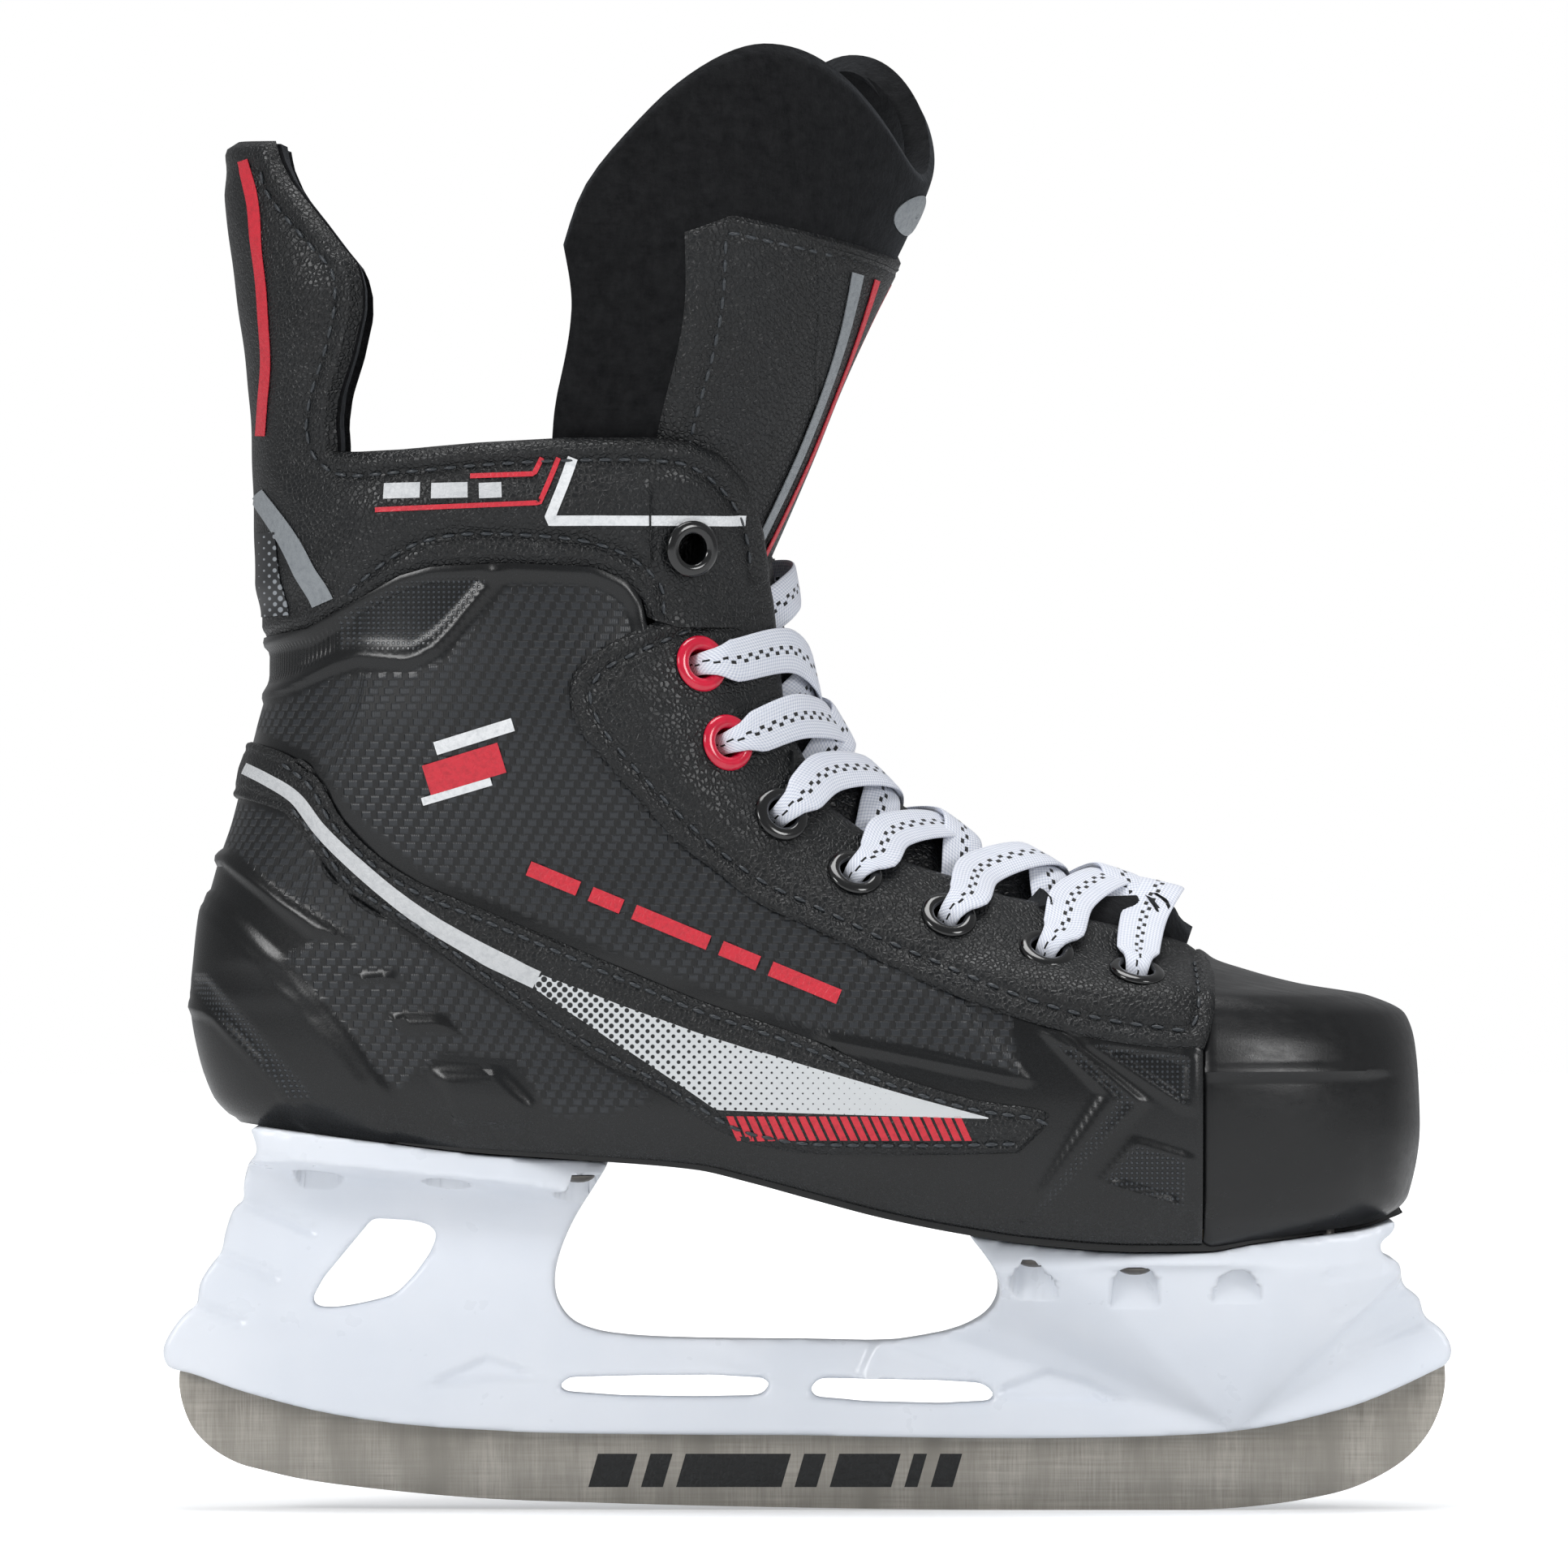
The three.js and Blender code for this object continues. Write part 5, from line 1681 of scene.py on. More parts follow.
@dataclass
class Collar:
    """The padded ankle collar and tendon guard under one leather cover, with a felt lining."""

    guard_reach: float = 16.3
    guard_top: float = 311.3
    collar_top_z: float = 240.4
    top_edge: Line = (
        (-107.5, 240.4), (-101.9, 240.4), (-92.5, 240.8), (-75, 242.3), (-55, 243.4), (-35, 243.5),
        (-26.3, 242.5), (-18.8, 239.4), (-15, 235.4), (-12.5, 231.3), (-10.6, 226.6), (-9.4, 222.5),
        (-8.1, 213.8),
    )
    guard_edge: Line = (
        (-132, 311.3), (-121.9, 311.3), (-120.8, 307), (-118.1, 301.9), (-111.6, 294.2),
        (-106.3, 287.5),
        (-102.6, 283.2), (-101.3, 278), (-101.3, 272.5), (-103.8, 262.5), (-106.9, 253.8),
        (-107.9, 247.5),
        (-107.5, 242.8), (-107.5, 240.4),
    )
    lower_row: Line = (
        (-104, 207.8), (-101.3, 210.6), (-90, 218.8), (-80, 221.5), (-65, 221.6), (-48.8, 219.8),
        (-40, 216.3),
        (-33.8, 210), (-33.1, 203.8),
    )

    def upper_row(self) -> Array:
        """The stitch row about 5 mm inside the free edge of the collar and guard."""
        return np.array([
            (-123.6, 305), (-122.4, 300), (-112, 287), (-107.2, 281), (-106.6, 274), (-108.6, 264),
            (-112, 253),
            (-113, 246), (-111.4, 240), (-106, 235.6), (-92.5, 235.8), (-75, 237.3), (-55, 238.4),
            (-35, 238.5),
            (-27, 237.3), (-20.4, 232.6), (-16.4, 227), (-14.2, 220), (-13.6, 212.6),
        ])

    def edge_front(self, z: Array) -> Array:
        """x of the tendon guard's front edge by height."""
        edge = np.array(self.guard_edge[1:])[::-1]
        return np.interp(z, edge[:, 1], edge[:, 0])

    def lift(self, x: Array, z: Array) -> Array:
        """Height of the cover above the boot form: padded, and rolled in at its free edge."""
        edge = (*self.guard_edge, *self.top_edge[1:], (-8.1, 202))
        free = away(edge, x, z)
        seam = np.maximum(z - along_line(COLLAR_SEAM)(x), 0)
        seam = np.where(x > -36.3, 9, seam)
        body = 0.3 + 1.1 * smoothstep(seam, 0, 2.4)
        body += 1.5 * smoothstep(np.minimum(free, seam), 5, 13)
        rows = np.minimum(away(smooth(self.upper_row()), x, z), away(smooth(self.lower_row), x, z))
        body -= 0.8 * np.exp(-((rows / 1.2) ** 2))
        creases = 0.16 * np.sin(x * 0.33 + z * 0.21) * np.sin(z * 0.17 - x * 0.08)
        body += creases * smoothstep(np.minimum(free, seam), 6, 14)
        round_off = 1 - np.sqrt(np.clip(1 - (1 - np.clip(free / 3.2, 0, 1)) ** 2, 0, 1))
        return body - 3.4 * round_off

    def guard_place(self, u: Array, v: Array) -> Array:
        """Points of the tendon guard: u round the heel and v up."""
        z = self.collar_top_z + (self.guard_top - self.collar_top_z) * v
        q = 2 * u - 1
        back = FORM.back(z)
        x = back + (self.edge_front(z) - back) * q**2
        return np.stack([x, FORM.middle(x) + np.sign(q) * FORM.half_width(x, z), z], axis=-1)

    def two_part(self, name: str, wrap: Wrap, columns: tuple[int, int], rows: tuple[int, int],
                 lift: Callable[[Array, Array, Array], Array], top_drop: float) -> bpy.types.Object:
        """A collar sheet and a guard sheet joined along the row between them.

        Args:
            name: the piece's name.
            wrap: the collar's extent.
            columns: faces along one side, and round the heel.
            rows: faces up the collar, and up the guard.
            lift: height above the boot form.
            top_drop: how far the guard sheet ends below the guard's top.
        """
        share = columns[1] / (2 * columns[0] + columns[1])
        wrap.heel_share = share
        lower = sheet(name, 2 * columns[0] + columns[1], rows[0], wrap.place, lift)
        top = self.guard_top
        self.guard_top = top - top_drop
        upper = sheet(name + "_guard", columns[1], rows[1], self.guard_place, lift)
        self.guard_top = top
        piece = merged(name, [lower, upper])
        mesh = bmesh.new()
        mesh.from_mesh(piece.data)
        rim = [
            v for v in mesh.verts if v.is_boundary and abs(v.co.z / MM - self.collar_top_z) < 1.2
        ]
        bmesh.ops.remove_doubles(mesh, verts=rim, dist=0.5 * MM)
        mesh.to_mesh(piece.data)
        mesh.free()
        return piece

    def build(self, stitches: Stitching) -> None:
        """Makes the cover and the lining, and sews the cover.

        Args:
            stitches: takes the collar's stitch rows.
        """
        low = (*COLLAR_SEAM, (-30, 200.5), (-8, 200.5))
        cover_wrap = Wrap(
            -8.1, along_line(low), along_line(((-150, 240.4), *self.top_edge)),
            reach=self.guard_reach, bunch=1.5
        )
        cover = self.two_part(
            "collar_cover", cover_wrap, (110, 54), (52, 56), lambda u, v,
            p: self.lift(p[:, 0], p[:, 2]), 0.0,
        )
        punch(cover, EYELETS.centres(0), 4.4)
        thicken(cover, 1.3)
        dress(cover, FINISHES.leather)
        seat(cover, None, "leather", "ankle_collar", "tendon_guard")
        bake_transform(cover)

        inner_top = (
            (-150, 240.4), *((x, z - 0.5) for x, z in self.top_edge), (-7.4, 205), (-5.4, 183),
            (-4.3, 177),
            (4.6, 159.4), (22, 146.6), (35, 142.8), (44.6, 139.2), (52, 137.8), (65, 133.6),
            (81.8, 129.6), (88.6, 126.4),
        )
        lining_wrap = Wrap(
            88.6, lambda x: FORM.sole(x) + 8.4, along_line(inner_top), reach=self.guard_reach
        )
        lining = self.two_part(
            "lining", lining_wrap, (110, 34), (72, 34),
            lambda u, v,
            p: -2.55 - 0.9 * np.exp(-(away(self.guard_edge, p[:, 0], p[:, 2]) / 1.2) ** 2), 0.6,
        )
        punch(lining, EYELETS.centres(depth=-2.5), 5.0)
        thicken(lining, 3.4)
        dress(lining, FINISHES.lining)
        seat(lining, None, "felt", "boot_lining", "tendon_guard_lining")
        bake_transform(lining)

        stitches.sew_side(self.lower_row, self.lift)
        stitches.sew_side([tuple(p) for p in self.upper_row()[7:]], self.lift)


@dataclass
class GuardStitches:
    """The stitch row of the tendon guard, which moves with it."""

    def build(self, collar: Collar) -> None:
        """Sews the row and bakes its place into the mesh."""
        stitches = Stitching()
        stitches.sew_side([tuple(p) for p in collar.upper_row()[:8]], collar.lift)
        piece = stitches.build("guard_stitches")
        seat(piece, None, "leather")
        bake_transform(piece)


# ------------------------------------------------------------------ covers on the sides


@dataclass
class Eyestay:
    """The grained cover along each row of eyelets, folded and sewn round its lower edge."""

    thickness: float = 1.2
    facing: Line = (*FACING_EDGE, (88.4, 128))
    toe_end: Line = ((89.2, 105.5), (91, 111), (91.8, 117.6), (91.5, 123.2), (88.4, 128))
    lower: Line = (
        (-53.9, 186.4), (-53.5, 183.4), (-51.6, 177.8), (-46.5, 171.3), (-38.1, 161.6),
        (-27.9, 150.9), (-20.5, 145.3),
        (-14.9, 140.7), (-8.4, 136.9), (0, 133.2), (9.3, 128.8), (20.4, 123.2), (30.7, 118.6),
        (41.8, 114.4),
        (52, 111.1), (65, 107.9), (79, 106), (89.2, 105.5),
    )
    top_end: Line = (
        (-53.9, 186.4), (-53.2, 189), (-51.1, 192.2), (-46.5, 196), (-41.3, 198.8), (-30, 203.8),
        (-12.5, 210), (-8.7, 213.7),
    )
    row: Line = (
        (-13, 205.6), (-28.5, 199.4), (-40, 194.4), (-46.6, 190.6), (-49.2, 186), (-47.6, 180),
        (-42.6, 173), (-34.6, 164),
        (-24.8, 154.2), (-12, 144), (2.4, 137), (22.6, 127.4), (43.4, 119), (53.4, 115.6),
        (66, 112.4), (79, 110.4),
        (85.4, 110), (87.4, 112.4), (88, 118), (87.4, 124.6),
    )

    def lift(self, x: Array, z: Array) -> Array:
        """Height of the cover: rounded at its sewn edge and rolled in at the facing edge."""
        sewn = away((*self.top_end[::-1], *self.lower[1:], *self.toe_end[1:]), x, z)
        free = away(self.facing, x, z)
        body = 1.5 + 0.45 * smoothstep(np.minimum(sewn, free), 4, 10)
        body -= 0.75 * np.exp(-((away(smooth(self.row), x, z) / 1.1) ** 2))

        def round_off(d: Array, r: float) -> Array:
            return 1 - np.sqrt(np.clip(1 - (1 - np.clip(d / r, 0, 1)) ** 2, 0, 1))

        return body - 1.25 * round_off(sewn, 1.5) - 3.6 * round_off(free, 2.6)

    def build(self, stitches: Stitching) -> None:
        """Makes both covers and sews them."""
        patch = coons({
            "bottom": smooth(self.lower), "top": smooth(self.facing),
            "left": smooth(self.top_end), "right": smooth(self.toe_end),
        })
        for side in Side:
            def place(u: Array, v: Array) -> Array:
                flat = patch(u, v)
                return FORM.on_side(flat[:, 0], flat[:, 1], side.value)

            piece = sheet(
                f"eyestay_cover_{side.word}", 260, 60, place, lambda u, v,
                p: self.lift(p[:, 0], p[:, 2]),
                outward=lambda p: p * 0 + [0.2, side.value, 0.2],
            )
            punch(piece, EYELETS.centres(side=side, first=1, depth=1.6), 4.4)
            thicken(piece, self.thickness)
            dress(piece, FINISHES.leather)
            seat(piece, "boot", "leather", f"eyestay_{side.word}")
        stitches.sew_side(self.row, self.lift, 4.8)


@dataclass
class SideStrip:
    """The sewn strip that sweeps from the heel to the ball of the foot, with its printed wedge."""

    thickness: float = 1.1
    upper: Line = (
        (-126.5, 174.9), (-125, 174.6), (-117.1, 171.8), (-110.6, 166.7), (-105, 157.4),
        (-96.7, 149), (-87.4, 143), (-70.7, 136),
        (-46.5, 125.8), (-24.2, 116.5), (0, 108.1), (18.6, 100), (37.2, 94.4), (52, 92.1),
        (54.4, 91),
    )
    lower: Line = (
        (-130, 162), (-128.7, 162), (-118, 158.8), (-112.5, 151.8), (-105, 141.6), (-89.2, 131.4),
        (-70.7, 118.3), (-52.1, 105.8),
        (-33.5, 95.6), (-16.7, 85.8), (-7.5, 83.4), (0, 82.3), (27.9, 81.9), (47.4, 82.3),
    )

    def row(self, outer: Line, inset: float) -> Line:
        """A line moved into the strip by inset."""
        line = spaced(smooth(outer), 60)
        tangent = np.gradient(line, axis=0)
        tangent /= np.linalg.norm(tangent, axis=1, keepdims=True)
        return [tuple(p) for p in line + np.stack([-tangent[:, 1], tangent[:, 0]], axis=1) * inset]

    def lift(self, x: Array, z: Array) -> Array:
        """Height of the strip above the boot form."""
        edge = away((*self.upper, (53.4, 87.9), *self.lower[::-1]), x, z)
        rounded = 1 - np.sqrt(np.clip(1 - (1 - np.clip(edge / 1.2, 0, 1)) ** 2, 0, 1))
        groove = np.exp(-((edge - 2.2) / 0.7) ** 2)
        return 1.45 - 1.1 * rounded - 0.3 * groove + 0.25 * smoothstep(edge, 3, 7)

    def film(self, name: str, place: Callable[[Array, Array], Array], cells: tuple[int, int],
             material: bpy.types.Material,
             lift: Callable[[Array, Array], Array] | None = None,
             above: float = 0.1) -> list[bpy.types.Object]:
        """A printed film on both sides of the boot.

        Args:
            name: the pieces' name, before their side.
            place: side-view point at each (u, v).
            cells: faces along and across.
            material: its ink.
            lift: height of the surface below it.
            above: height of the film above that surface.
        """
        ground = lift or self.lift
        made = []
        for side in Side:
            def on_boot(u: Array, v: Array) -> Array:
                flat = place(u, v)
                return FORM.on_side(flat[:, 0], flat[:, 1], side.value)

            piece = sheet(
                f"{name}_{side.word}", *cells, on_boot, lambda u, v,
                p: ground(p[:, 0], p[:, 2]) + above,
                outward=lambda p: p * 0 + [-0.2, side.value, 0.2],
            )
            thicken(piece, 0.16)
            made.append(dress(piece, material))
        return made

    def build(self, stitches: Stitching) -> None:
        """Makes both strips with their prints and stitch rows."""
        upper, lower = spaced(smooth(self.upper), 400), spaced(smooth(self.lower), 400)
        at = np.linspace(0, 1, 400)
        tip = np.array([(47.4, 82.3), (53.4, 87.9), (54.4, 91)])
        for side in Side:
            def place(u: Array, v: Array) -> Array:
                t = u**1.35
                top = np.stack([np.interp(t, at, upper[:, k]) for k in range(2)], axis=-1)
                base = np.stack([np.interp(t, at, lower[:, k]) for k in range(2)], axis=-1)
                flat = base + (top - base) * v[:, None]
                bow = np.stack([np.interp(v, [0, 0.6, 1], tip[:, k]) for k in range(2)], axis=-1)
                bow = bow - (tip[0] + (tip[2] - tip[0]) * v[:, None])
                flat = flat + bow * smoothstep(u, 0.9, 1)[:, None]
                flat[:, 0] = np.maximum(flat[:, 0], FORM.back(flat[:, 1]))
                return FORM.on_side(flat[:, 0], flat[:, 1], side.value)

            piece = sheet(
                f"side_strip_cover_{side.word}", 210, 30, place, lambda u, v,
                p: self.lift(p[:, 0], p[:, 2]),
                outward=lambda p: p * 0 + [-0.3, side.value, 0.2],
            )
            thicken(piece, self.thickness)
            dress(piece, FINISHES.leather)
            seat(piece, "boot", "leather", f"side_strip_{side.word}")
        stitches.sew_side(self.row(self.upper[2:], -2.2), self.lift, 3.9)
        stitches.sew_side(self.row(self.lower[2:], 2.2), self.lift, 3.9)
        self.print_wedge()

    def print_wedge(self) -> None:
        """Prints the silver line, the halftone wedge and the red bars."""
        line = ribbon(smooth((
            (-126.6, 168.6), (-121.8, 166.4), (-115.3, 162.4), (-109.7, 155), (-101.3, 146.8),
            (-89.2, 136.8), (-75.3, 128.4), (-61, 121.4),
        )), (2.7, 4.4))
        top = spaced(
            ((-61.4, 123.2), (-42.8, 116), (-24.2, 109.2), (0, 101.8), (24.2, 94.8), (40.6, 90.4)),
            200
        )
        base = spaced(
            ((-61.4, 119.2), (-42.8, 106.7), (-28.8, 97.6), (-20.5, 92), (0, 91.3), (40.6, 90.1)),
            200
        )
        at = np.linspace(0, 1, 200)

        def wedge(u: Array, v: Array) -> Array:
            ends = [
                np.stack(
                    [np.interp(u, at, e[:, k]) for k in range(2)], axis=-1
                ) for e in (base, top)
            ]
            return ends[0] + (ends[1] - ends[0]) * v[:, None]

        films = [
            *self.film("silver_line", line, (70, 3), FINISHES.silver),
            *self.film("silver_wedge", wedge, (90, 12), FINISHES.wedge_dots)
        ]
        bars = []
        for k in range(23):
            x = -16.6 + 2.32 * k
            low = 85.2
            corner = np.array(
                [(x + 0.9, low), (x + 2.5, low), (x, low + 5.4), (x - 1.6, low + 5.4)]
            )

            def bar(u: Array, v: Array, c: Array = corner) -> Array:
                u, v = u[:, None], v[:, None]
                return (1 - v) * ((1 - u) * c[0] + u * c[1]) + v * ((1 - u) * c[3] + u * c[2])

            bars += self.film(f"bar_{k}", bar, (2, 4), FINISHES.red)
        lateral = merged("red_bars_lateral", bars[0::2])
        medial = merged("red_bars_medial", bars[1::2])
        for piece in (*films, lateral, medial):
            seat(piece, "boot", "leather")


# ------------------------------------------------------------------ eyelets


class EyeletRow:
    """Where the eyelets are, and the rings in them."""

    # x, z and the direction in which the row climbs there, in degrees
    PLACES = (
        (-27.7, 218.7, 5), (-25.1, 192.2, 8), (-19.1, 174.4, 20), (-6.8, 157.8, 42),
        (10, 144.1, 48), (31.3, 134.4, 55), (53.4, 126.5, 62), (73.9, 121.4, 80),
    )
    RED = (1, 2)

    def frame(self, side: Side, index: int) -> tuple[Array, Array, Array, Array]:
        """Centre, outward normal, ahead and to-edge directions of one eyelet."""
        x, z, climb = self.PLACES[index]
        s = side.value
        along = FORM.on_side(x + 4, z, s) - FORM.on_side(x - 4, z, s)
        up = FORM.on_side(x, z + 4, s) - FORM.on_side(x, z - 4, s)
        normal = np.cross(along, up)
        normal *= np.sign(normal[1] * s) / np.linalg.norm(normal)
        turn = math.radians(climb)
        ahead = np.array([math.cos(turn), 0, math.sin(turn)])
        edge = ahead - normal * (ahead @ normal)
        return FORM.on_side(x, z, s), normal, ahead, edge / np.linalg.norm(edge)

    def off(self, side: Side, index: int, edge: float, out: float) -> Array:
        """A point beside an eyelet: towards the facing edge, and outwards."""
        centre, normal, _, to_edge = self.frame(side, index)
        return centre + normal * out + to_edge * edge

    def centres(
        self, only: int | None = None, side: Side | None = None, first: int = 0, depth: float = 0.0
    ) -> Array:
        """Centres of the eyelet holes at a height above the boot form."""
        found = []
        for each in Side if side is None else (side,):
            for index in range(first, len(self.PLACES)):
                if only is None or index == only:
                    found.append(self.off(each, index, 0, depth))
        return np.array(found)

    def build(self) -> None:
        """Makes a rolled ring in every hole."""
        top = 1.9
        profile = [
            (3.4, -7.0), (5.2, -6.7), (5.4, -6.2), (4.3, -6.0), (4.3, top - 0.2), (6.1, top - 0.1),
            (6.45, top + 0.15),
            (6.45, top + 0.4), (6.2, top + 0.75), (5.6, top + 1.05), (4.9, top + 1.2),
            (4.3, top + 1.15),
            (3.75, top + 0.9), (3.45, top + 0.5), (3.3, top), (3.3, -6.6), (3.4, -7.0),
        ]
        for side in Side:
            for index in range(len(self.PLACES)):
                ring = turned(f"eyelet_ring_{side.word}_{index + 1}", profile, 32)
                centre, normal, _, edge = self.frame(side, index)
                local = get_points(ring)
                other = np.cross(normal, edge)
                shift = 1.5 if index == 0 else 0.0
                place = centre + normal * shift
                set_points(
                    ring,
                    place + local[:, :1] * edge + local[:, 1:2] * other + local[:, 2:] * normal
                )
                activate(ring)
                bpy.ops.object.shade_smooth_by_angle(angle=math.radians(50))
                dress(ring, FINISHES.red_enamel if index in self.RED else FINISHES.black_enamel)
                slot = "red_enamel" if index in self.RED else "black_enamel"
                seat(ring, "boot", slot, f"eyelet_{side.word}_{index + 1}")


EYELETS = EyeletRow()


# ------------------------------------------------------------------ laces


class Tape:
    """A flat lace swept along points, each with the way its flat side faces."""

    def __init__(self) -> None:
        """Starts empty."""
        self.rows: list[tuple[Array, Array, float, float]] = []

    def go(self, point: Array, facing: Array, width: float = 9.6, thick: float = 1.2) -> None:
        """Adds one point of the route."""
        self.rows.append((np.array(point, float), np.array(facing, float), width, thick))

    def rings(self, step: float) -> tuple[Array, Array, Array, Array]:
        """Even places along the smooth route, with facing, width and thickness."""
        table = np.array([np.concatenate([p, f, [w, t]]) for p, f, w, t in self.rows])
        for a, b in zip(table, table[1:]):
            if a[3:6] @ b[3:6] < 0:
                b[3:6] *= -1
        steps = 24
        line = smooth(table[:, :3], steps)
        at = np.minimum(np.arange(len(line)) / steps, len(table) - 1)
        rest = np.stack(
            [np.interp(at, np.arange(len(table)), table[:, k]) for k in range(3, 8)], axis=1
        )
        length = np.linalg.norm(np.diff(line, axis=0), axis=1).sum()
        whole = spaced(np.hstack([line, rest * 1e-4]), max(int(length / step), 8))
        whole[:, 3:] *= 1e4
        return whole[:, :3], whole[:, 3:6], whole[:, 6], whole[:, 7]

    def build(self, name: str, step: float = 1.7) -> tuple[bpy.types.Object, Array]:
        """The closed tape and the line it follows."""
        line, facing, width, thick = self.rings(step)
        tangent = np.gradient(line, axis=0)
        tangent /= np.linalg.norm(tangent, axis=1, keepdims=True)
        facing = facing - tangent * (facing * tangent).sum(1, keepdims=True)
        for _ in range(3):
            facing[1:-1] = (facing[:-2] + 2 * facing[1:-1] + facing[2:]) / 4
        facing /= np.maximum(np.linalg.norm(facing, axis=1, keepdims=True), 1e-6)
        across = np.cross(tangent, facing)
        along = np.concatenate([[0], np.cumsum(np.linalg.norm(np.diff(line, axis=0), axis=1))])
        count, sides = len(line) - 1, 14

        def place(u: Array, v: Array) -> Array:
            i = np.clip(np.rint(u * count).astype(int), 0, count)
            turn = 2 * np.pi * v
            x = np.sign(np.cos(turn)) * np.abs(np.cos(turn)) ** 0.55 * width[i] / 2
            y = np.sign(np.sin(turn)) * np.abs(np.sin(turn)) ** 0.7 * thick[i] / 2
            return line[i] + across[i] * x[:, None] + facing[i] * y[:, None]

        def uv(u: Array, v: Array, points: Array) -> Array:
            i = np.clip(np.rint(u * count).astype(int), 0, count)
            turn = 2 * np.pi * v
            return np.stack(
                [0.5 + np.sign(np.cos(turn)) * np.abs(np.cos(turn)) ** 0.55 / 2, along[i] * MM],
                axis=-1
            )

        piece = sheet(name, count, sides, place, uv=uv)
        mesh = bmesh.new()
        mesh.from_mesh(piece.data)
        bmesh.ops.remove_doubles(mesh, verts=mesh.verts, dist=1e-6)
        bmesh.ops.holes_fill(mesh, edges=[e for e in mesh.edges if e.is_boundary], sides=0)
        bmesh.ops.recalc_face_normals(mesh, faces=mesh.faces)
        mesh.to_mesh(piece.data)
        mesh.free()
        activate(piece)
        bpy.ops.object.shade_smooth_by_angle(angle=math.radians(60))
        dress(piece, FINISHES.lace)
        return piece, line


@dataclass
class Laces:
    """The criss-cross lacing, its two free ends wound into a tied hank, and their sleeves."""

    width: float = 10.6
    hank_top: tuple[float, float, float] = (-32, 46.5, 200.5)
    lean: float = 5.5
    yaw: float = -12.0

    def facing_edge(self, side: Side, index: int) -> tuple[Array, Array]:
        """Where the lace passes the facing's edge, and the surface direction there."""
        centre, normal, ahead, _ = EYELETS.frame(side, index)
        edge = np.array(FACING_EDGE)
        order = np.argsort(edge[:, 1])
        point = centre.copy()
        while point[0] < np.interp(point[2], edge[order, 1], edge[order, 0]):
            point = point + ahead * 0.25
        point[1] = FORM.middle(point[0]) + side.value * FORM.half_width(point[0], point[2])
        out = normal + ahead
        return point, out / np.linalg.norm(out)

    @staticmethod
    def crest(point: Array, ahead: Array) -> Array:
        """The point over the middle of the tongue, ahead of a point."""
        probe = np.array([point[0], 0.0, point[2]])
        while FORM.half_width(probe[0], probe[2]) > 0.01:
            probe = probe + ahead * 0.5
        probe[1] = FORM.middle(probe[0])
        return probe

    def into(self, tape: Tape, side: Side, index: int) -> None:
        """Over the facing's edge, across the flange and down through the eyelet."""
        edge, out = self.facing_edge(side, index)
        _, normal, _, to_edge = EYELETS.frame(side, index)
        tape.go(edge + out * 3.3, out, self.width)
        tape.go(EYELETS.off(side, index, 7.5, 3.7), normal, self.width - 0.8)
        tape.go(EYELETS.off(side, index, 3.6, 4.0), normal, 6.6, 1.7)
        tape.go(EYELETS.off(side, index, 0.5, 2.6), normal - to_edge, 5.2, 2.3)
        tape.go(EYELETS.off(side, index, 0, -1), -to_edge, 4.8, 2.5)
        tape.go(EYELETS.off(side, index, 0, -6), -to_edge, 5.2, 2.3)
        tape.go(EYELETS.off(side, index, 2.2, -9.4), -normal - to_edge, 7, 1.6)

    def half(self, tape: Tape, start: Side, lift: float) -> None:
        """One half of the lacing, from the bar at the toe end up to the top laced row."""
        self.into(tape, start, 7)
        for index in range(6, 0, -1):
            other = start if (7 - index) % 2 == 0 else (
                Side.MEDIAL if start is Side.LATERAL else Side.LATERAL
            )
            source = Side.MEDIAL if other is Side.LATERAL else Side.LATERAL
            edge, out = self.facing_edge(source, index + 1)
            first, _, ahead_a, _ = EYELETS.frame(source, index + 1)
            second, _, ahead_b, _ = EYELETS.frame(other, index)
            ahead = (ahead_a + ahead_b) / np.linalg.norm(ahead_a + ahead_b)
            crest = self.crest((first + second) / 2, ahead)
            crest = crest + ahead * (Tongue.crest_lift(crest[0]) + 1.3 + lift)
            under = edge - out * 8.4
            rise = (crest + edge) / 2 - ahead * 1.2
            rise[1] = FORM.middle(rise[0]) + source.value * 10.5
            tape.go(under, out, self.width)
            tape.go(rise, ahead + np.array([0, source.value * 0.9, 0]), self.width)
            tape.go(crest, ahead, self.width)
            self.into(tape, other, index)

    def lacing(self) -> None:
        """The lacing through seven rows on each side, as one lace."""
        one, two = Tape(), Tape()
        self.half(one, Side.LATERAL, 1.5)
        self.half(two, Side.MEDIAL, 0.1)
        whole = Tape()
        whole.rows = one.rows[::-1]
        x = EYELETS.PLACES[7][0] + 6.5
        whole.go((x, FORM.middle(x), 142.8), (0.25, 0, 1), self.width + 0.8)
        whole.rows += two.rows
        piece, _ = whole.build("lacing_tape")
        seat(piece, "boot", "lace", "lacing")

    def at(self, s: float, u: float, o: float) -> Array:
        """A place in the hank's own axes: across, up and out."""
        lean, yaw = math.radians(self.lean), math.radians(self.yaw)
        y = o * math.cos(lean) - u * math.sin(lean)
        z = o * math.sin(lean) + u * math.cos(lean)
        x = s * math.cos(yaw) - y * math.sin(yaw)
        y = s * math.sin(yaw) + y * math.cos(yaw)
        return np.array([x, y, z]) + self.hank_top

    def direction(self, s: float, u: float, o: float) -> Array:
        """A direction given in the hank's own axes."""
        return self.at(s, u, o) - self.at(0, 0, 0)

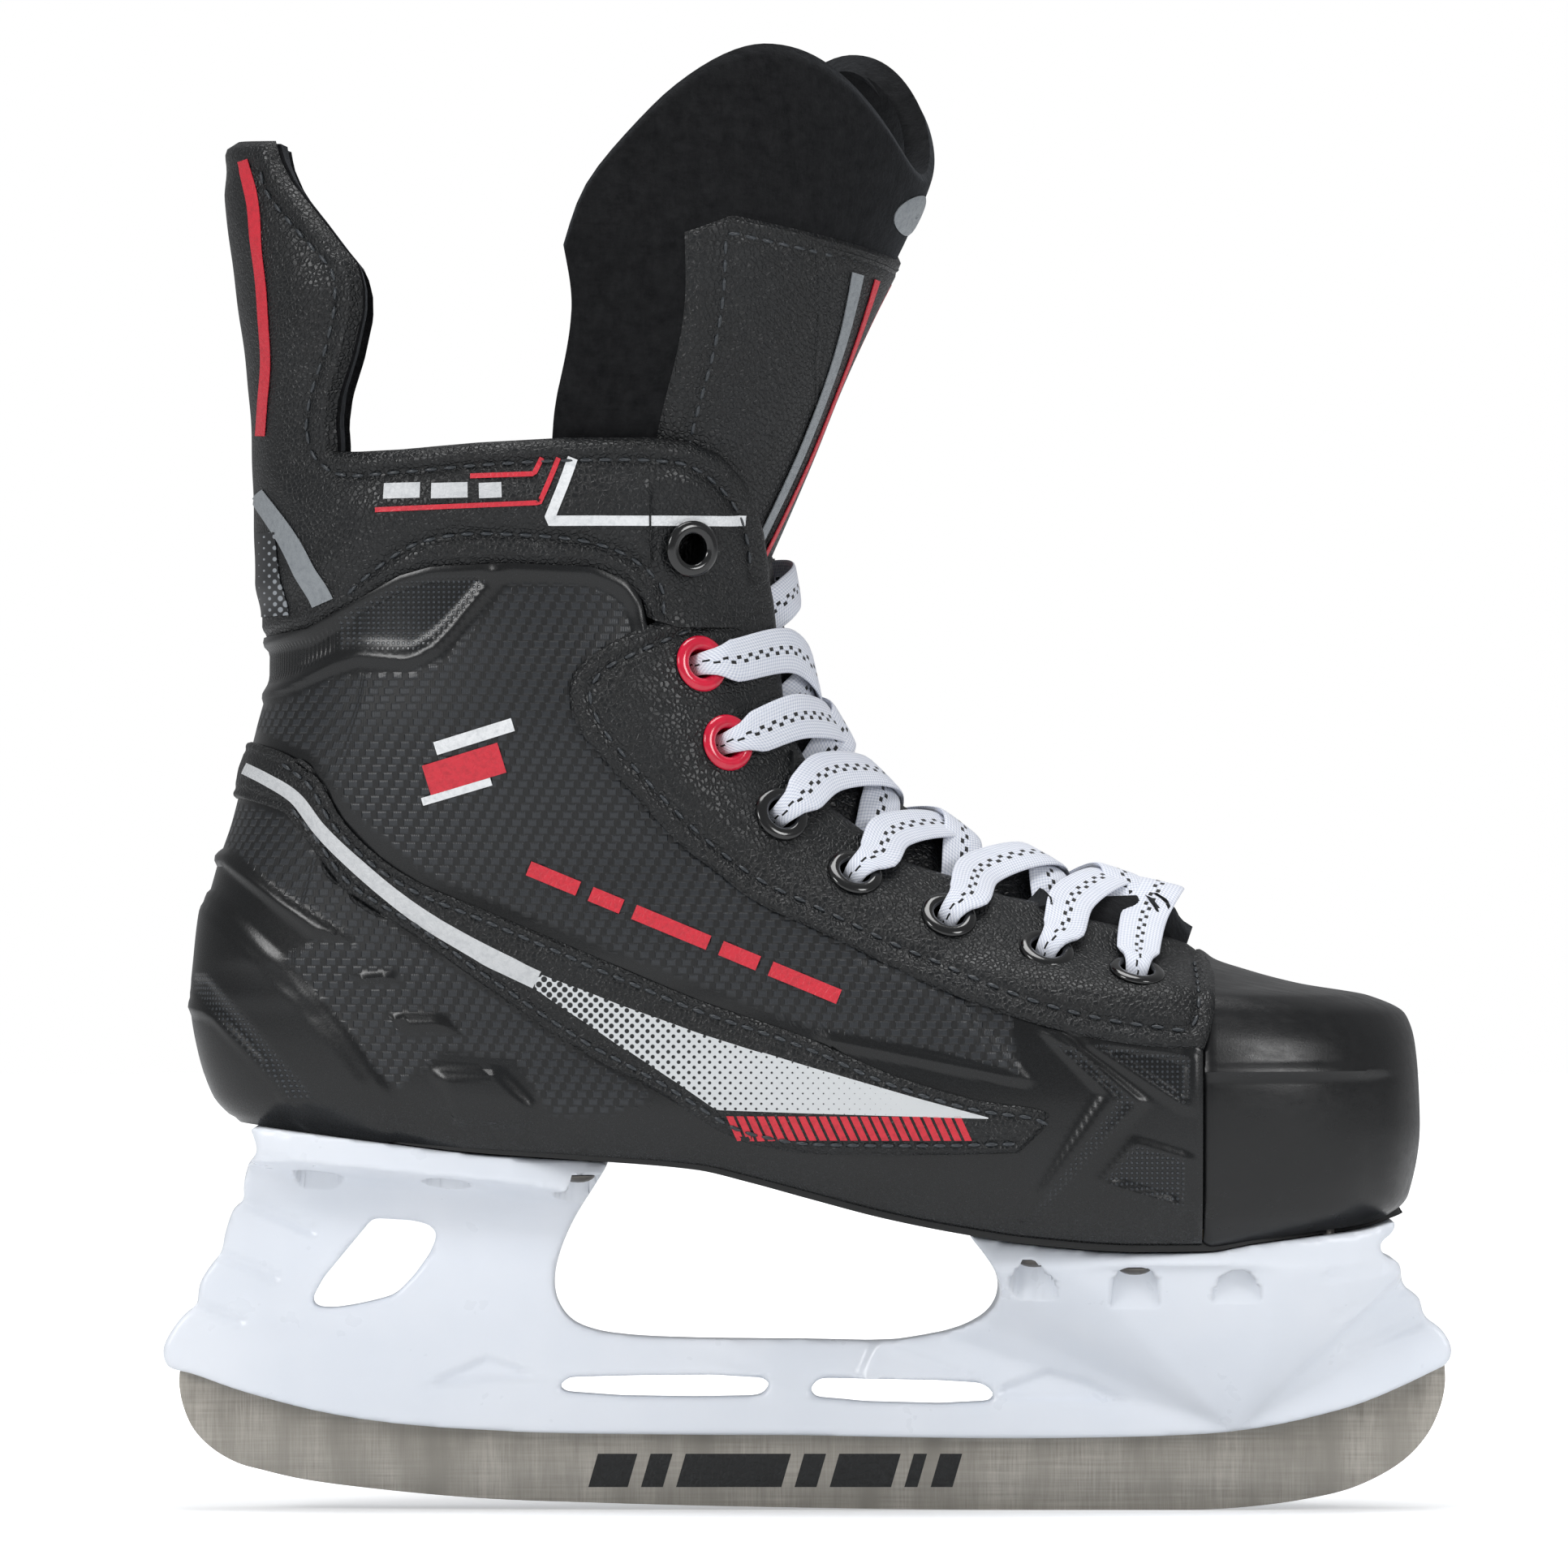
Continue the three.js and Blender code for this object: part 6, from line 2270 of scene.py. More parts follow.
    def wind(self, tape: Tape, outer: float, tail: Sequence[tuple[float, float, float]]) -> None:
        """Two turns round the hank, getting smaller, and the tail to the sleeve."""
        path = [(t, -16.0) for t in np.linspace(0, math.pi / 2, 6)[:-1]]
        path += [(math.pi / 2, c) for c in np.linspace(-16, -80, 7)[:-1]]
        path += [(t, -80.0) for t in np.linspace(math.pi / 2, 3 * math.pi / 2, 11)[:-1]]
        path += [(3 * math.pi / 2, c) for c in np.linspace(-80, -16, 7)[:-1]]
        path += [(t, -16.0) for t in np.linspace(3 * math.pi / 2, 2 * math.pi, 6)[:-1]]
        for k in range(2 * len(path)):
            turn, centre = path[k % len(path)]
            r = outer - 3.2 * k / len(path)
            s, u = r * math.sin(turn), centre + r * math.cos(turn)
            tape.go(self.at(s, u, 0), self.direction(math.sin(turn), math.cos(turn), 0), 9.0)
        for k, (s, u, o) in enumerate(tail):
            flat = min(1.0, max(0.0, (k - 1) / 2))
            tape.go(self.at(s, u, o), self.direction(
                1 - flat, 0, flat * (1 if o >= 0 else -1)
            ), 9.0 if k < len(tail) - 1 else 3.0,
                    1.2 if k < len(tail) - 1 else 2.4)

    def free_ends(self) -> None:
        """Both ends: over the far facing, wound together, and out to the sleeves."""
        lateral, medial = Tape(), Tape()
        side_l, side_m = Side.LATERAL, Side.MEDIAL
        nl, nm = EYELETS.frame(side_l, 1)[1], EYELETS.frame(side_m, 1)[1]
        n1 = EYELETS.frame(side_m, 0)[1]
        lateral.go(EYELETS.off(side_l, 1, 1.9, -11.1), nl, 8)
        lateral.go(EYELETS.off(side_l, 1, 4.2, -13.0), nl)
        for p, f in (
            ((-16.5, -16, 197), (0.6, -0.7, 0.3)), ((-10.5, -9.5, 203), (0.8, -0.5, 0.3)),
            ((-5, -3, 207.5), (0.9, -0.2, 0.3)),
            ((-2.6, 7, 210.5), (0.95, 0.2, 0.2)), ((-4, 17.5, 212), (0.8, 0.55, 0.2)),
            ((-11, 26, 211.5), (0.6, 0.8, 0.1)),
            ((-18, 33, 210), (0.5, 0.85, 0.1)), ((-25, 41, 208.5), (0.3, 0.6, 0.7)),
        ):
            lateral.go(p, f)
        medial.go(EYELETS.off(side_m, 1, 1.75, -10.85), nm, 8)
        medial.go(EYELETS.off(side_m, 1, 2.2, -13.5), nm)
        medial.go((-26.5, 20, 201), (0.1, 1, 0))
        medial.go((-27.5, 20.5, 210), (0.1, 1, 0))
        medial.go(EYELETS.off(side_m, 0, -0.5, -9.2), (0, 1, 0.4), 6, 1.8)
        medial.go(EYELETS.off(side_m, 0, 0, -5), (0, 0.3, 1), 5, 2.3)
        medial.go(EYELETS.off(side_m, 0, 0, 2), (0, 0.3, 1), 5, 2.3)
        medial.go(EYELETS.off(side_m, 0, -1.2, 6.4), n1 + np.array([0, 0, 1]), 6.5, 1.8)
        medial.go(EYELETS.off(side_m, 0, -6, 9.3), n1 + np.array([0, 0, 0.8]), 8)
        medial.go(self.at(-4.5, 4.5, 0), self.direction(-0.4, 1, 0), 9)
        self.wind(
            lateral, 15.2,
            [
                (0, -7.4, 0), (6.4, -14, 0), (6.2, -40, 0.5), (5.2, -62, 3.4), (5, -76, 5.3),
                (5, -90, 5.3), (5, -96, 2.6), (5, -99, 0.6)
            ]
        )
        self.wind(
            medial, 13.6,
            [
                (0, -9.2, 0), (4.2, -15, 0), (1.0, -38, -0.5), (-4.4, -60, -3.4), (-5, -76, -5.3),
                (-5, -90, -5.3), (-5, -96, -2.6), (-5, -99, -0.6)
            ]
        )
        tie = self.tie()
        for name, tape, spread, node in (
            ("lateral", lateral, 5, "medial"), ("medial", medial, -5, "lateral")
        ):
            piece, line = tape.build(f"lace_tail_{name}")
            replaced = ["lace_end_" + name] + (["lace_hank"] if name == "lateral" else [])
            seat(piece, "boot", "lace", *replaced)
            sleeve = self.sleeve(f"lace_sleeve_{name}", spread)
            seat(sleeve, "boot", "aglet", f"aglet_{node}")

    def tie(self) -> bpy.types.Object:
        """The elastic band that holds the hank."""
        loop = spaced(smooth([
            (-15.5, -6.2), (0, -6.2), (15.5, -6.2), (17.1, -4.4), (17.1, 0), (17.1, 4.4),
            (15.5, 6.2), (0, 6.2),
            (-15.5, 6.2), (-17.1, 4.4), (-17.1, 0), (-17.1, -4.4), (-15.5, -6.2),
        ]), 121)

        def place(u: Array, v: Array) -> Array:
            at = np.linspace(0, 1, 121)
            s, o = (np.interp(u, at, loop[:, k]) for k in range(2))
            origin = self.at(0, 0, 0)
            ds, du, do = (self.direction(*d) for d in ((1, 0, 0), (0, 1, 0), (0, 0, 1)))
            return origin + s[:, None] * ds + (-52 + 8 * v)[:, None] * du + o[:, None] * do

        middle = self.at(0, -48, 0)
        band = sheet(
            "hank_band", 120, 10, place, lambda u, v, p: -0.25 * np.abs(2 * v - 1) ** 4,
            outward=lambda p: p - middle
        )
        mesh = bmesh.new()
        mesh.from_mesh(band.data)
        bmesh.ops.remove_doubles(mesh, verts=mesh.verts, dist=1e-6)
        mesh.to_mesh(band.data)
        mesh.free()
        thicken(band, 1.0)
        dress(band, FINISHES.rubber)
        return seat(band, "boot", "tie", "lace_tie")

    def sleeve(self, name: str, spread: float) -> bpy.types.Object:
        """The hard sleeve on a lace's end, with its crimp marks."""
        profile = [(0.0, 0.0), (1.2, 0.0), (1.6, 0.4), (1.7, 1.0)]
        for k in range(6):
            profile += [(1.7, 2.0 + 3 * k), (1.56, 2.5 + 3 * k), (1.7, 3.0 + 3 * k)]
        profile += [(1.7, 19.0), (1.6, 19.6), (1.2, 20.0), (0.0, 20.0)]
        piece = turned(name, profile, 20)
        local = get_points(piece)
        ds, du, do = (self.direction(*d) for d in ((1, 0, 0), (0, 1, 0), (0, 0, 1)))
        set_points(
            piece,
            self.at(spread, -117, 0) + local[:, :1] * ds + local[:, 1:2] * do + local[:, 2:] * du
        )
        activate(piece)
        bpy.ops.object.shade_smooth_by_angle(angle=math.radians(40))
        return dress(piece, FINISHES.sleeve)

    def build(self) -> None:
        """Makes every lace."""
        self.free_ends()
        self.lacing()


# ------------------------------------------------------------------ tongue


@dataclass
class Tongue:
    """The felt tongue with its grained panel, seams, stripes and plain badge."""

    thickness: float = 7.0
    # height, x of the crest, depth of the curve, half width
    STATIONS = (
        (217, -13.5, 49, 29), (226, -9.5, 52, 30.5), (240, -3.5, 58, 33), (255, 2.5, 62, 36.5),
        (272, 10, 63, 39),
        (290, 18.5, 68, 40), (304, 24, 72, 39), (320, 27, 72, 38), (333, 28, 70, 36),
    )
    crest_line: Line = (
        (82, 118), (85.2, 126), (86, 132), (85.6, 136), (83.6, 138.9), (79, 140.2), (70, 142.4),
        (60, 144.6), (50, 147.4),
        (40, 150.6), (27.4, 158), (14, 168), (5, 179), (-1.6, 190), (-3.8, 199), (-6.4, 208),
        (-10, 217),
    )

    def __post_init__(self) -> None:
        """Makes the smooth profiles."""
        z = [row[0] for row in self.STATIONS]
        self.crest, self.depth, self.half = (
            Profile(z, [row[k] for row in self.STATIONS]) for k in (1, 2, 3)
        )
        self.line = spaced(smooth(self.crest_line), 240)
        tangent = np.gradient(self.line, axis=0)
        tangent /= np.linalg.norm(tangent, axis=1, keepdims=True)
        self.out = np.stack([tangent[:, 1], -tangent[:, 0]], axis=1)

    @staticmethod
    def crest_lift(x: float) -> float:
        """How far the tongue's crest stands ahead of the boot form."""
        return float(np.interp(x, [-10, 30, 46, 60, 84], [1.2, 1.6, 2.8, 3.8, 4.4]))

    def top(self, u: Array) -> Array:
        """Height of the tongue's cut edge."""
        off = np.abs(2 * u - 1)
        return 304 + 29 * np.sin(
            np.pi * np.minimum(off / 0.62, 1) / 2
        ) ** 2 - 46 * np.maximum(0, off - 0.62) ** 2 / 0.1444

    def front(self, u: Array, z: Array) -> Array:
        """Outer face of the free, upper part."""
        angle = (2 * u - 1) * np.pi / 2
        out = self.thickness / 2
        y = (self.half(z) + out) * np.sin(angle)
        twist = 0.3 * smoothstep(z, 250, 310)
        x = self.crest(z) + out - self.depth(z) * (1 - np.cos(angle)) + twist * y
        return np.stack([x, y, z], axis=-1)

    def place(self, u: Array, v: Array) -> Array:
        """Outer face: v up to 0.45 lies under the laces, the rest stands free."""
        share = 0.45
        s = np.clip(v / share, 0, 1)
        at = np.linspace(0, 1, len(self.line))
        c = np.stack([np.interp(s, at, self.line[:, k]) for k in range(2)], axis=-1)
        n = np.stack([np.interp(s, at, self.out[:, k]) for k in range(2)], axis=-1)
        y = 24 * (2 * u - 1)
        inner = np.minimum(np.abs(y), 15)
        drop = 2.5 + 16 * (inner / 15) ** 2 + 2.2 * np.maximum(np.abs(y) - 15, 0)
        low = np.stack(
            [c[:, 0] - n[:, 0] * drop, FORM.middle(c[:, 0]) + y, c[:, 1] - n[:, 1] * drop], axis=-1
        )
        join = self.front(u, np.full_like(u, 217.0))
        w = smoothstep(s, 0.72, 1)[:, None]
        low = low * (1 - w) + join * w
        z = 217 + (self.top(u) - 217) * np.clip((v - share) / (1 - share), 0, 1)
        return np.where((v <= share)[:, None], low, self.front(u, z))

    @staticmethod
    def bend(piece: bpy.types.Object) -> None:
        """Bakes a piece's place into its mesh; it stays on no body."""
        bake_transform(piece)

    def panel_place(
        self, edge: float, v_low: float, v_drop: float
    ) -> Callable[[Array, Array], Array]:
        """Points of the panel on the tongue."""

        def place(u: Array, v: Array) -> Array:
            across = edge + (1 - 2 * edge) * u
            off = np.abs(2 * u - 1)
            high = 0.45 + 0.55 * (285 + 11 * off**1.4 - v_drop - 217) / (self.top(across) - 217)
            high = high - 0.03 * np.maximum(off - 0.86, 0) / 0.14
            return self.place(across, v_low + (high - v_low) * v)

        return place

    def build(self) -> None:
        """Makes the felt, the panels, the stitches and the prints."""
        felt = sheet(
            "tongue_felt", 96, 190, self.place,
            lambda u, v,
            p: -1.6 * (smoothstep(np.abs(2 * u - 1), 0.965, 1) + smoothstep(v, 0.988, 1)),
            outward=lambda p: p * 0 + [1, 0, 0.6],
        )
        thicken(felt, self.thickness, 60)
        dress(felt, FINISHES.felt)
        seat(felt, None, "felt", "tongue_lower", "tongue_upper")
        self.bend(felt)

        main = self.panel_place(0.13, 0.02, 0)

        def edge_shape(u: Array, v: Array, high: float) -> Array:
            near = np.minimum(np.minimum(u, 1 - u) * 60, (1 - v) * 170)
            return high * np.sqrt(
                np.clip(1 - (1 - np.clip(near / 1.6, 0, 1)) ** 2, 0, 1)
            ) + 0.1 - 0.35 * np.exp(-(((near - 3.6) / 0.8) ** 2))

        panel = sheet(
            "tongue_cover", 90, 170, main, lambda u, v, p: edge_shape(u, v, 1.3),
            outward=lambda p: p * 0 + [1, 0, 0.6]
        )
        thicken(panel, 1.2)
        dress(panel, FINISHES.leather)
        seat(panel, None, "leather", "tongue_panel")
        self.bend(panel)

        def middle_place(u: Array, v: Array) -> Array:
            spread = np.interp(v, [0, 0.5, 0.68, 1], [0.14, 0.13, 0.22, 0.3])
            return main(0.5 + (2 * u - 1) * spread, 0.45 + 0.54 * v)

        second = sheet(
            "tongue_middle_cover", 50, 100, middle_place, lambda u, v,
            p: 0.6 + edge_shape(u, v, 0.9), outward=lambda p: p * 0 + [1, 0, 0.6]
        )
        thicken(second, 0.9)
        dress(second, FINISHES.leather)
        seat(second, None, "leather")
        self.bend(second)
        self.trim(main)

    def trim(self, main: Callable[[Array, Array], Array]) -> None:
        """Stitches, stripes and the plain badge."""
        stitches = Stitching()
        v = np.linspace(0.4, 0.975, 160)
        top_u = np.linspace(0.06, 0.94, 80)
        for u_line, v_line in ((0.06 + 0 * v, v), (0.94 + 0 * v, v), (top_u, 0 * top_u + 0.975)):
            stitches.sew(*self.on(main, u_line, v_line, 1.12), 4.2)
        piece = stitches.build("tongue_stitches")
        seat(piece, None, "felt")
        self.bend(piece)
        for name, finish, centre, width in (
            ("red", FINISHES.red, 0.385, 0.012), ("grey", FINISHES.grey, 0.31, 0.018)
        ):
            for side in Side:
                def stripe(
                    u: Array, v: Array, c: float = centre, w: float = width, s: int = side.value
                ) -> Array:
                    bow = c + 0.05 * np.sin(np.pi * u * 0.9)
                    across = 0.5 + s * (0.5 - bow) + w * (v - 0.5) * 2
                    return main(across, 0.5 + 0.46 * u)

                film = sheet(
                    f"tongue_{name}_stripe_{side.word}", 60, 3, stripe, 2.0,
                    outward=lambda p: p * 0 + [1, 0, 0.6]
                )
                thicken(film, 0.25)
                dress(film, finish)
                seat(film, None, "felt")
                self.bend(film)

        def oval(u: Array, v: Array) -> Array:
            turn = 2 * np.pi * u
            r = np.maximum(v, 0.02)
            return self.front(0.5 + 0.075 * r * np.cos(turn), 295 + 4.6 * r * np.sin(turn))

        badge = sheet(
            "tongue_badge", 40, 8, oval, lambda u, v, p: 0.9 - 0.6 * v**6,
            outward=lambda p: p * 0 + [1, 0, 0.3]
        )
        thicken(badge, 0.9)
        dress(badge, FINISHES.grey)
        seat(badge, "tongue_top", "felt")

    def on(
        self, place: Callable[[Array, Array], Array], u: Array, v: Array, lift: float
    ) -> tuple[Array, Array]:
        """Points and normals of a placed surface, raised by lift."""
        e = 0.004
        along = place(u + e, v) - place(u - e, v)
        up = place(u, np.minimum(v + e, 1)) - place(u, v - e)
        n = np.cross(along, up)
        n /= np.linalg.norm(n, axis=1, keepdims=True)
        n *= np.sign((n * [1, 0, 0.4]).sum(1, keepdims=True))
        return place(u, v) + n * lift, n


# ------------------------------------------------------------------ holder and runner


def prism(name: str, loops: Sequence[Array], half: float, plane: str = "side") -> bpy.types.Object:
    """A closed slab between outlines.

    Args:
        name: the piece's name.
        loops: the outer outline and any holes, as closed 2-D lines.
        half: half of its thickness.
        plane: "side" for (x, z), "front" for (y, z), "plan" for (x, y).
    """
    deselect()
    bpy.ops.mesh.primitive_plane_add(size=0.01)
    piece = bpy.context.object
    piece.name = piece.data.name = name
    put = {
        "side": lambda a, b, t: (a, t, b), "front": lambda a, b, t: (t, a, b), "plan": lambda a, b,
        t: (a, b, t),
    }[plane]
    mesh = bmesh.new()
    for loop in loops:
        made = [mesh.verts.new(put(a * MM, b * MM, -half * MM)) for a, b in loop]
        for i, vert in enumerate(made):
            mesh.edges.new((vert, made[(i + 1) % len(made)]))
    bmesh.ops.triangle_fill(mesh, use_beauty=True, use_dissolve=False, edges=mesh.edges[:])
    grown = bmesh.ops.extrude_face_region(mesh, geom=mesh.faces[:])
    shift = put(0, 0, 2 * half * MM)
    bmesh.ops.translate(
        mesh, vec=shift, verts=[g for g in grown["geom"] if isinstance(g, bmesh.types.BMVert)]
    )
    bmesh.ops.recalc_face_normals(mesh, faces=mesh.faces)
    mesh.to_mesh(piece.data)
    mesh.free()
    return piece


def combine(piece: bpy.types.Object, other: bpy.types.Object, operation: str) -> None:
    """One boolean step that uses up the other piece."""
    apply(piece, "BOOLEAN", object=other, operation=operation, solver="MANIFOLD")
    bpy.data.objects.remove(other)


def closed(points: Line, steps: int = 5) -> Array:
    """A smooth closed outline through points."""
    line = smooth([*points, points[0]], steps)
    return line[:-1]


@dataclass
class Holder:
    """The moulded blade holder: a web with two towers that flare into the sole plates."""

    voxel: float = 1.0
    bottom: Line = (
        (-145.2, 32.3), (-140.4, 31.2), (-130.8, 27.8), (-121.2, 25), (-111.5, 22.6), (-100, 20.6),
        (-87.5, 19.2), (-75, 18.4),
        (-60, 17.7), (-25, 17.2), (0, 17.1), (25, 16.6), (50, 16.4), (75, 16.8), (90, 17.4),
        (100, 18.4), (110.6, 20.3), (125, 24.1),
        (134.6, 28), (145.2, 33.1),
    )
    front_edge: Line = (
        (146.4, 34.7), (146.6, 37.1), (144.2, 41.4), (140.4, 44.3), (139, 48.7), (135.4, 51.5),
        (134.1, 56.8), (130.3, 58.8),
        (129.8, 61.6), (132.5, 63.6), (133.5, 66.6),
    )
    rear_edge: Line = (
        (-126.4, 88), (-124.8, 81.8), (-126.9, 79.4), (-128.4, 72.7), (-128, 70.8), (-130.3, 69.3),
        (-132.7, 63), (-133.5, 58.8),
        (-135.6, 56.3), (-138.5, 51.5), (-139.2, 46.7), (-141.3, 45.3), (-144.2, 41.9),
        (-146.6, 37.6), (-146.8, 35.2), (-145.9, 33),
    )
    window: Line = (
        (-99, 66.6), (-86.5, 65.2), (-84.4, 62.6), (-93, 50), (-97, 48.2), (-111.4, 46.2),
        (-113, 48)
    )
    arch: Line = (
        (-43.8, 81.6), (-48.1, 74.6), (-52.9, 66.9), (-56.3, 59.2), (-57.7, 52.5), (-56.9, 47.7),
        (-53.8, 43.4), (-48.1, 41),
        (-39.4, 39.8), (-25, 39.2), (0, 39), (19.2, 38.8), (25, 39.6), (33.7, 41.4), (39.4, 44),
        (42.3, 46.7), (43.6, 50.6),
        (42.3, 55.4), (38.5, 60.7), (34.4, 66), (30, 90), (-30, 105), (-40, 95),
    )
    slots: tuple[Line, ...] = (
        (
            (-54.6, 30.3), (-50, 30.5), (-10.5, 30.2), (-8.6, 29), (-10.4, 26.4), (-13, 26),
            (-54.6, 26.9), (-56.8, 28)
        ),
        (
            (3.4, 30.1), (38.4, 29.1), (40.8, 28.3), (42.6, 25.8), (41, 24.8), (2.4, 25.7),
            (0.8, 26.6), (1.4, 29.2)
        ),
    )
    recesses: tuple[Line, ...] = (
        ((-91.5, 27.5), (-73.1, 36), (-57.2, 30.2)),
        ((42.6, 28.5), (55, 33), (63.5, 30.4), (77, 24.1), (43, 24.9)),
    )
    grooves: tuple[Line, ...] = (
        ((-124, 81), (-105.8, 75.6)), ((-128, 70.8), (-113, 64)), ((-133.5, 58.3), (-121.2, 53.5)),
        ((-139, 46.7), (-129.3, 43.4)),
        ((117.8, 54), (129.8, 55.4)), ((120.2, 44.8), (135.4, 51)), ((122.6, 36.2), (140.4, 43.8)),
    )
    rivets: Line = (
        (-111.1, 17), (-81.9, 23), (-52.1, 22), (51.3, 26), (74, 29.5), (97.1, 29), (117.6, 23)
    )

    def envelope(self, plate: float, half: float) -> Array:
        """Front view of a tower that flares into its plate."""
        right = spaced(smooth((
            (6.0, 36), (6.3, 42.5), (7.6, plate - 17), (10.2, plate - 13.5), (12.6, plate - 10.5),
            (17, plate - 8), (26, plate - 6.2), (half, plate - 5),
        )), 40)
        return np.vstack([right, [(half, plate + 24), (-half, plate + 24)], right[::-1] * [-1, 1]])

    def tower(
        self, name: str, plate: float, half: float, tilt: float, centre: float, length: float,
        wide: float
    ) -> bpy.types.Object:
        """One tower, cut to the oval of its plate."""
        body = prism(name, [self.envelope(plate, half)], 90, "front")
        points = get_points(body)
        turn = math.radians(tilt)
        x, z = points[:, 0].copy(), points[:, 2].copy()
        points[:, 0] = x * math.cos(turn) + z * math.sin(turn) + centre - plate * math.sin(turn)
        points[:, 2] = -x * math.sin(turn) + z * math.cos(turn)
        set_points(body, points)
        ring = np.linspace(0, 2 * np.pi, 81)[:-1]
        shape = np.stack(
            [centre + length * np.cos(ring), FORM.middle(np.array(centre)) + wide * np.sin(ring)],
            axis=1
        )
        combine(body, prism(name + "_oval", [shape], 130, "plan"), "INTERSECT")
        return body

    def build(self) -> None:
        """Shapes the holder, its relief and its seats."""
        xs = np.linspace(133.6, -126.6, 120)
        top = np.stack([xs, FORM.sole(xs) - 0.1], axis=1)
        outer = np.vstack(
            [smooth(self.bottom, 4), smooth(self.front_edge, 4), top, smooth(self.rear_edge, 4)]
        )
        body = prism("blade_holder_moulding", [outer], 50)
        web = prism(
            "web", [np.array([(-6.5, -10), (6.5, -10), (6.5, 46), (-6.5, 46)])], 170, "front"
        )
        rear = self.tower("rear_tower", 83, 31, 5.6, -92, 62, 34)
        front = self.tower("front_tower", 61.5, 36, 0.0, 84, 66, 37)
        combine(web, rear, "UNION")
        combine(web, front, "UNION")
        combine(body, web, "INTERSECT")
        for k, opening in enumerate((self.arch, self.window, *self.slots)):
            combine(body, prism(f"opening_{k}", [closed(opening, 3)], 70), "DIFFERENCE")
        slot_line = np.array(self.bottom)
        slot = np.vstack([slot_line[1:-1] + [0, 6.8], [(134, -5), (-140, -5)]])
        combine(body, prism("blade_slot", [slot], 1.8), "DIFFERENCE")
        apply(body, "REMESH", mode="VOXEL", voxel_size=self.voxel * MM, use_smooth_shade=True)
        apply(body, "SMOOTH", factor=0.5, iterations=4)
        self.relief(body)
        dress(body, FINISHES.holder)
        seat(body, "boot", "holder_plastic", "blade_holder")
        self.rivet_heads()

    def relief(self, body: bpy.types.Object) -> None:
        """Presses the grooves and recesses into the side faces."""
        points = get_points(body)
        normals = np.zeros(len(points) * 3, np.float32)
        body.data.vertices.foreach_get("normal", normals)
        normals = normals.reshape(-1, 3)
        x, z = points[:, 0], points[:, 2]
        depth = np.zeros(len(points))
        for line in self.grooves:
            depth = np.maximum(depth, 1.0 * np.clip(1 - (away(line, x, z) / 1.7) ** 2, 0, 1))
        for outline in self.recesses:
            depth = np.maximum(depth, 1.5 * smoothstep(depth_in(outline, x, z), 0.2, 1.6))
        facing = np.clip(np.abs(normals[:, 1]) * 1.6 - 0.6, 0, 1) * (np.abs(points[:, 1]) > 2.6)
        points[:, 1] -= np.sign(points[:, 1]) * depth * facing
        for x0, y0 in self.rivets:
            for s in (-1, 1):
                y1 = FORM.middle(np.array(x0)) + s * y0
                near = np.hypot(points[:, 0] - x0, points[:, 1] - y1) < 5.2
                low = FORM.sole(np.array(x0)) - 3.4
                hit = near & (points[:, 2] < low) & (points[:, 2] > low - 9)
                points[hit, 2] = low
        set_points(body, points)

    def rivet_heads(self) -> None:
        """The domed heads under the plates, and their clinched ends above the board."""
        for index, (x, y) in enumerate(self.rivets):
            for side in Side:
                profile = [
                    (0, -1.5), (1.3, -1.42), (2.4, -1.15), (3.2, -0.75), (3.7, -0.3), (3.85, 0.05),
                    (3.6, 0.2), (1.8, 0.2),
                    (1.8, 9.4), (2.8, 9.5), (2.6, 10.2), (1.4, 10.5), (0, 10.5),
                ]
                head = turned(f"rivet_head_{side.word}_{index + 1}", profile, 24)
                place = np.array(
                    [
                        x, FORM.middle(np.array(x)) + side.value * y,
                        float(FORM.sole(np.array(x))) - 3.7
                    ]
                )
                set_points(head, get_points(head) + place)
                activate(head)
                bpy.ops.object.shade_smooth_by_angle(angle=math.radians(40))
                dress(head, FINISHES.rivet)
                seat(head, "boot", "rivet_steel", f"rivet_{side.word}_{index + 1}")


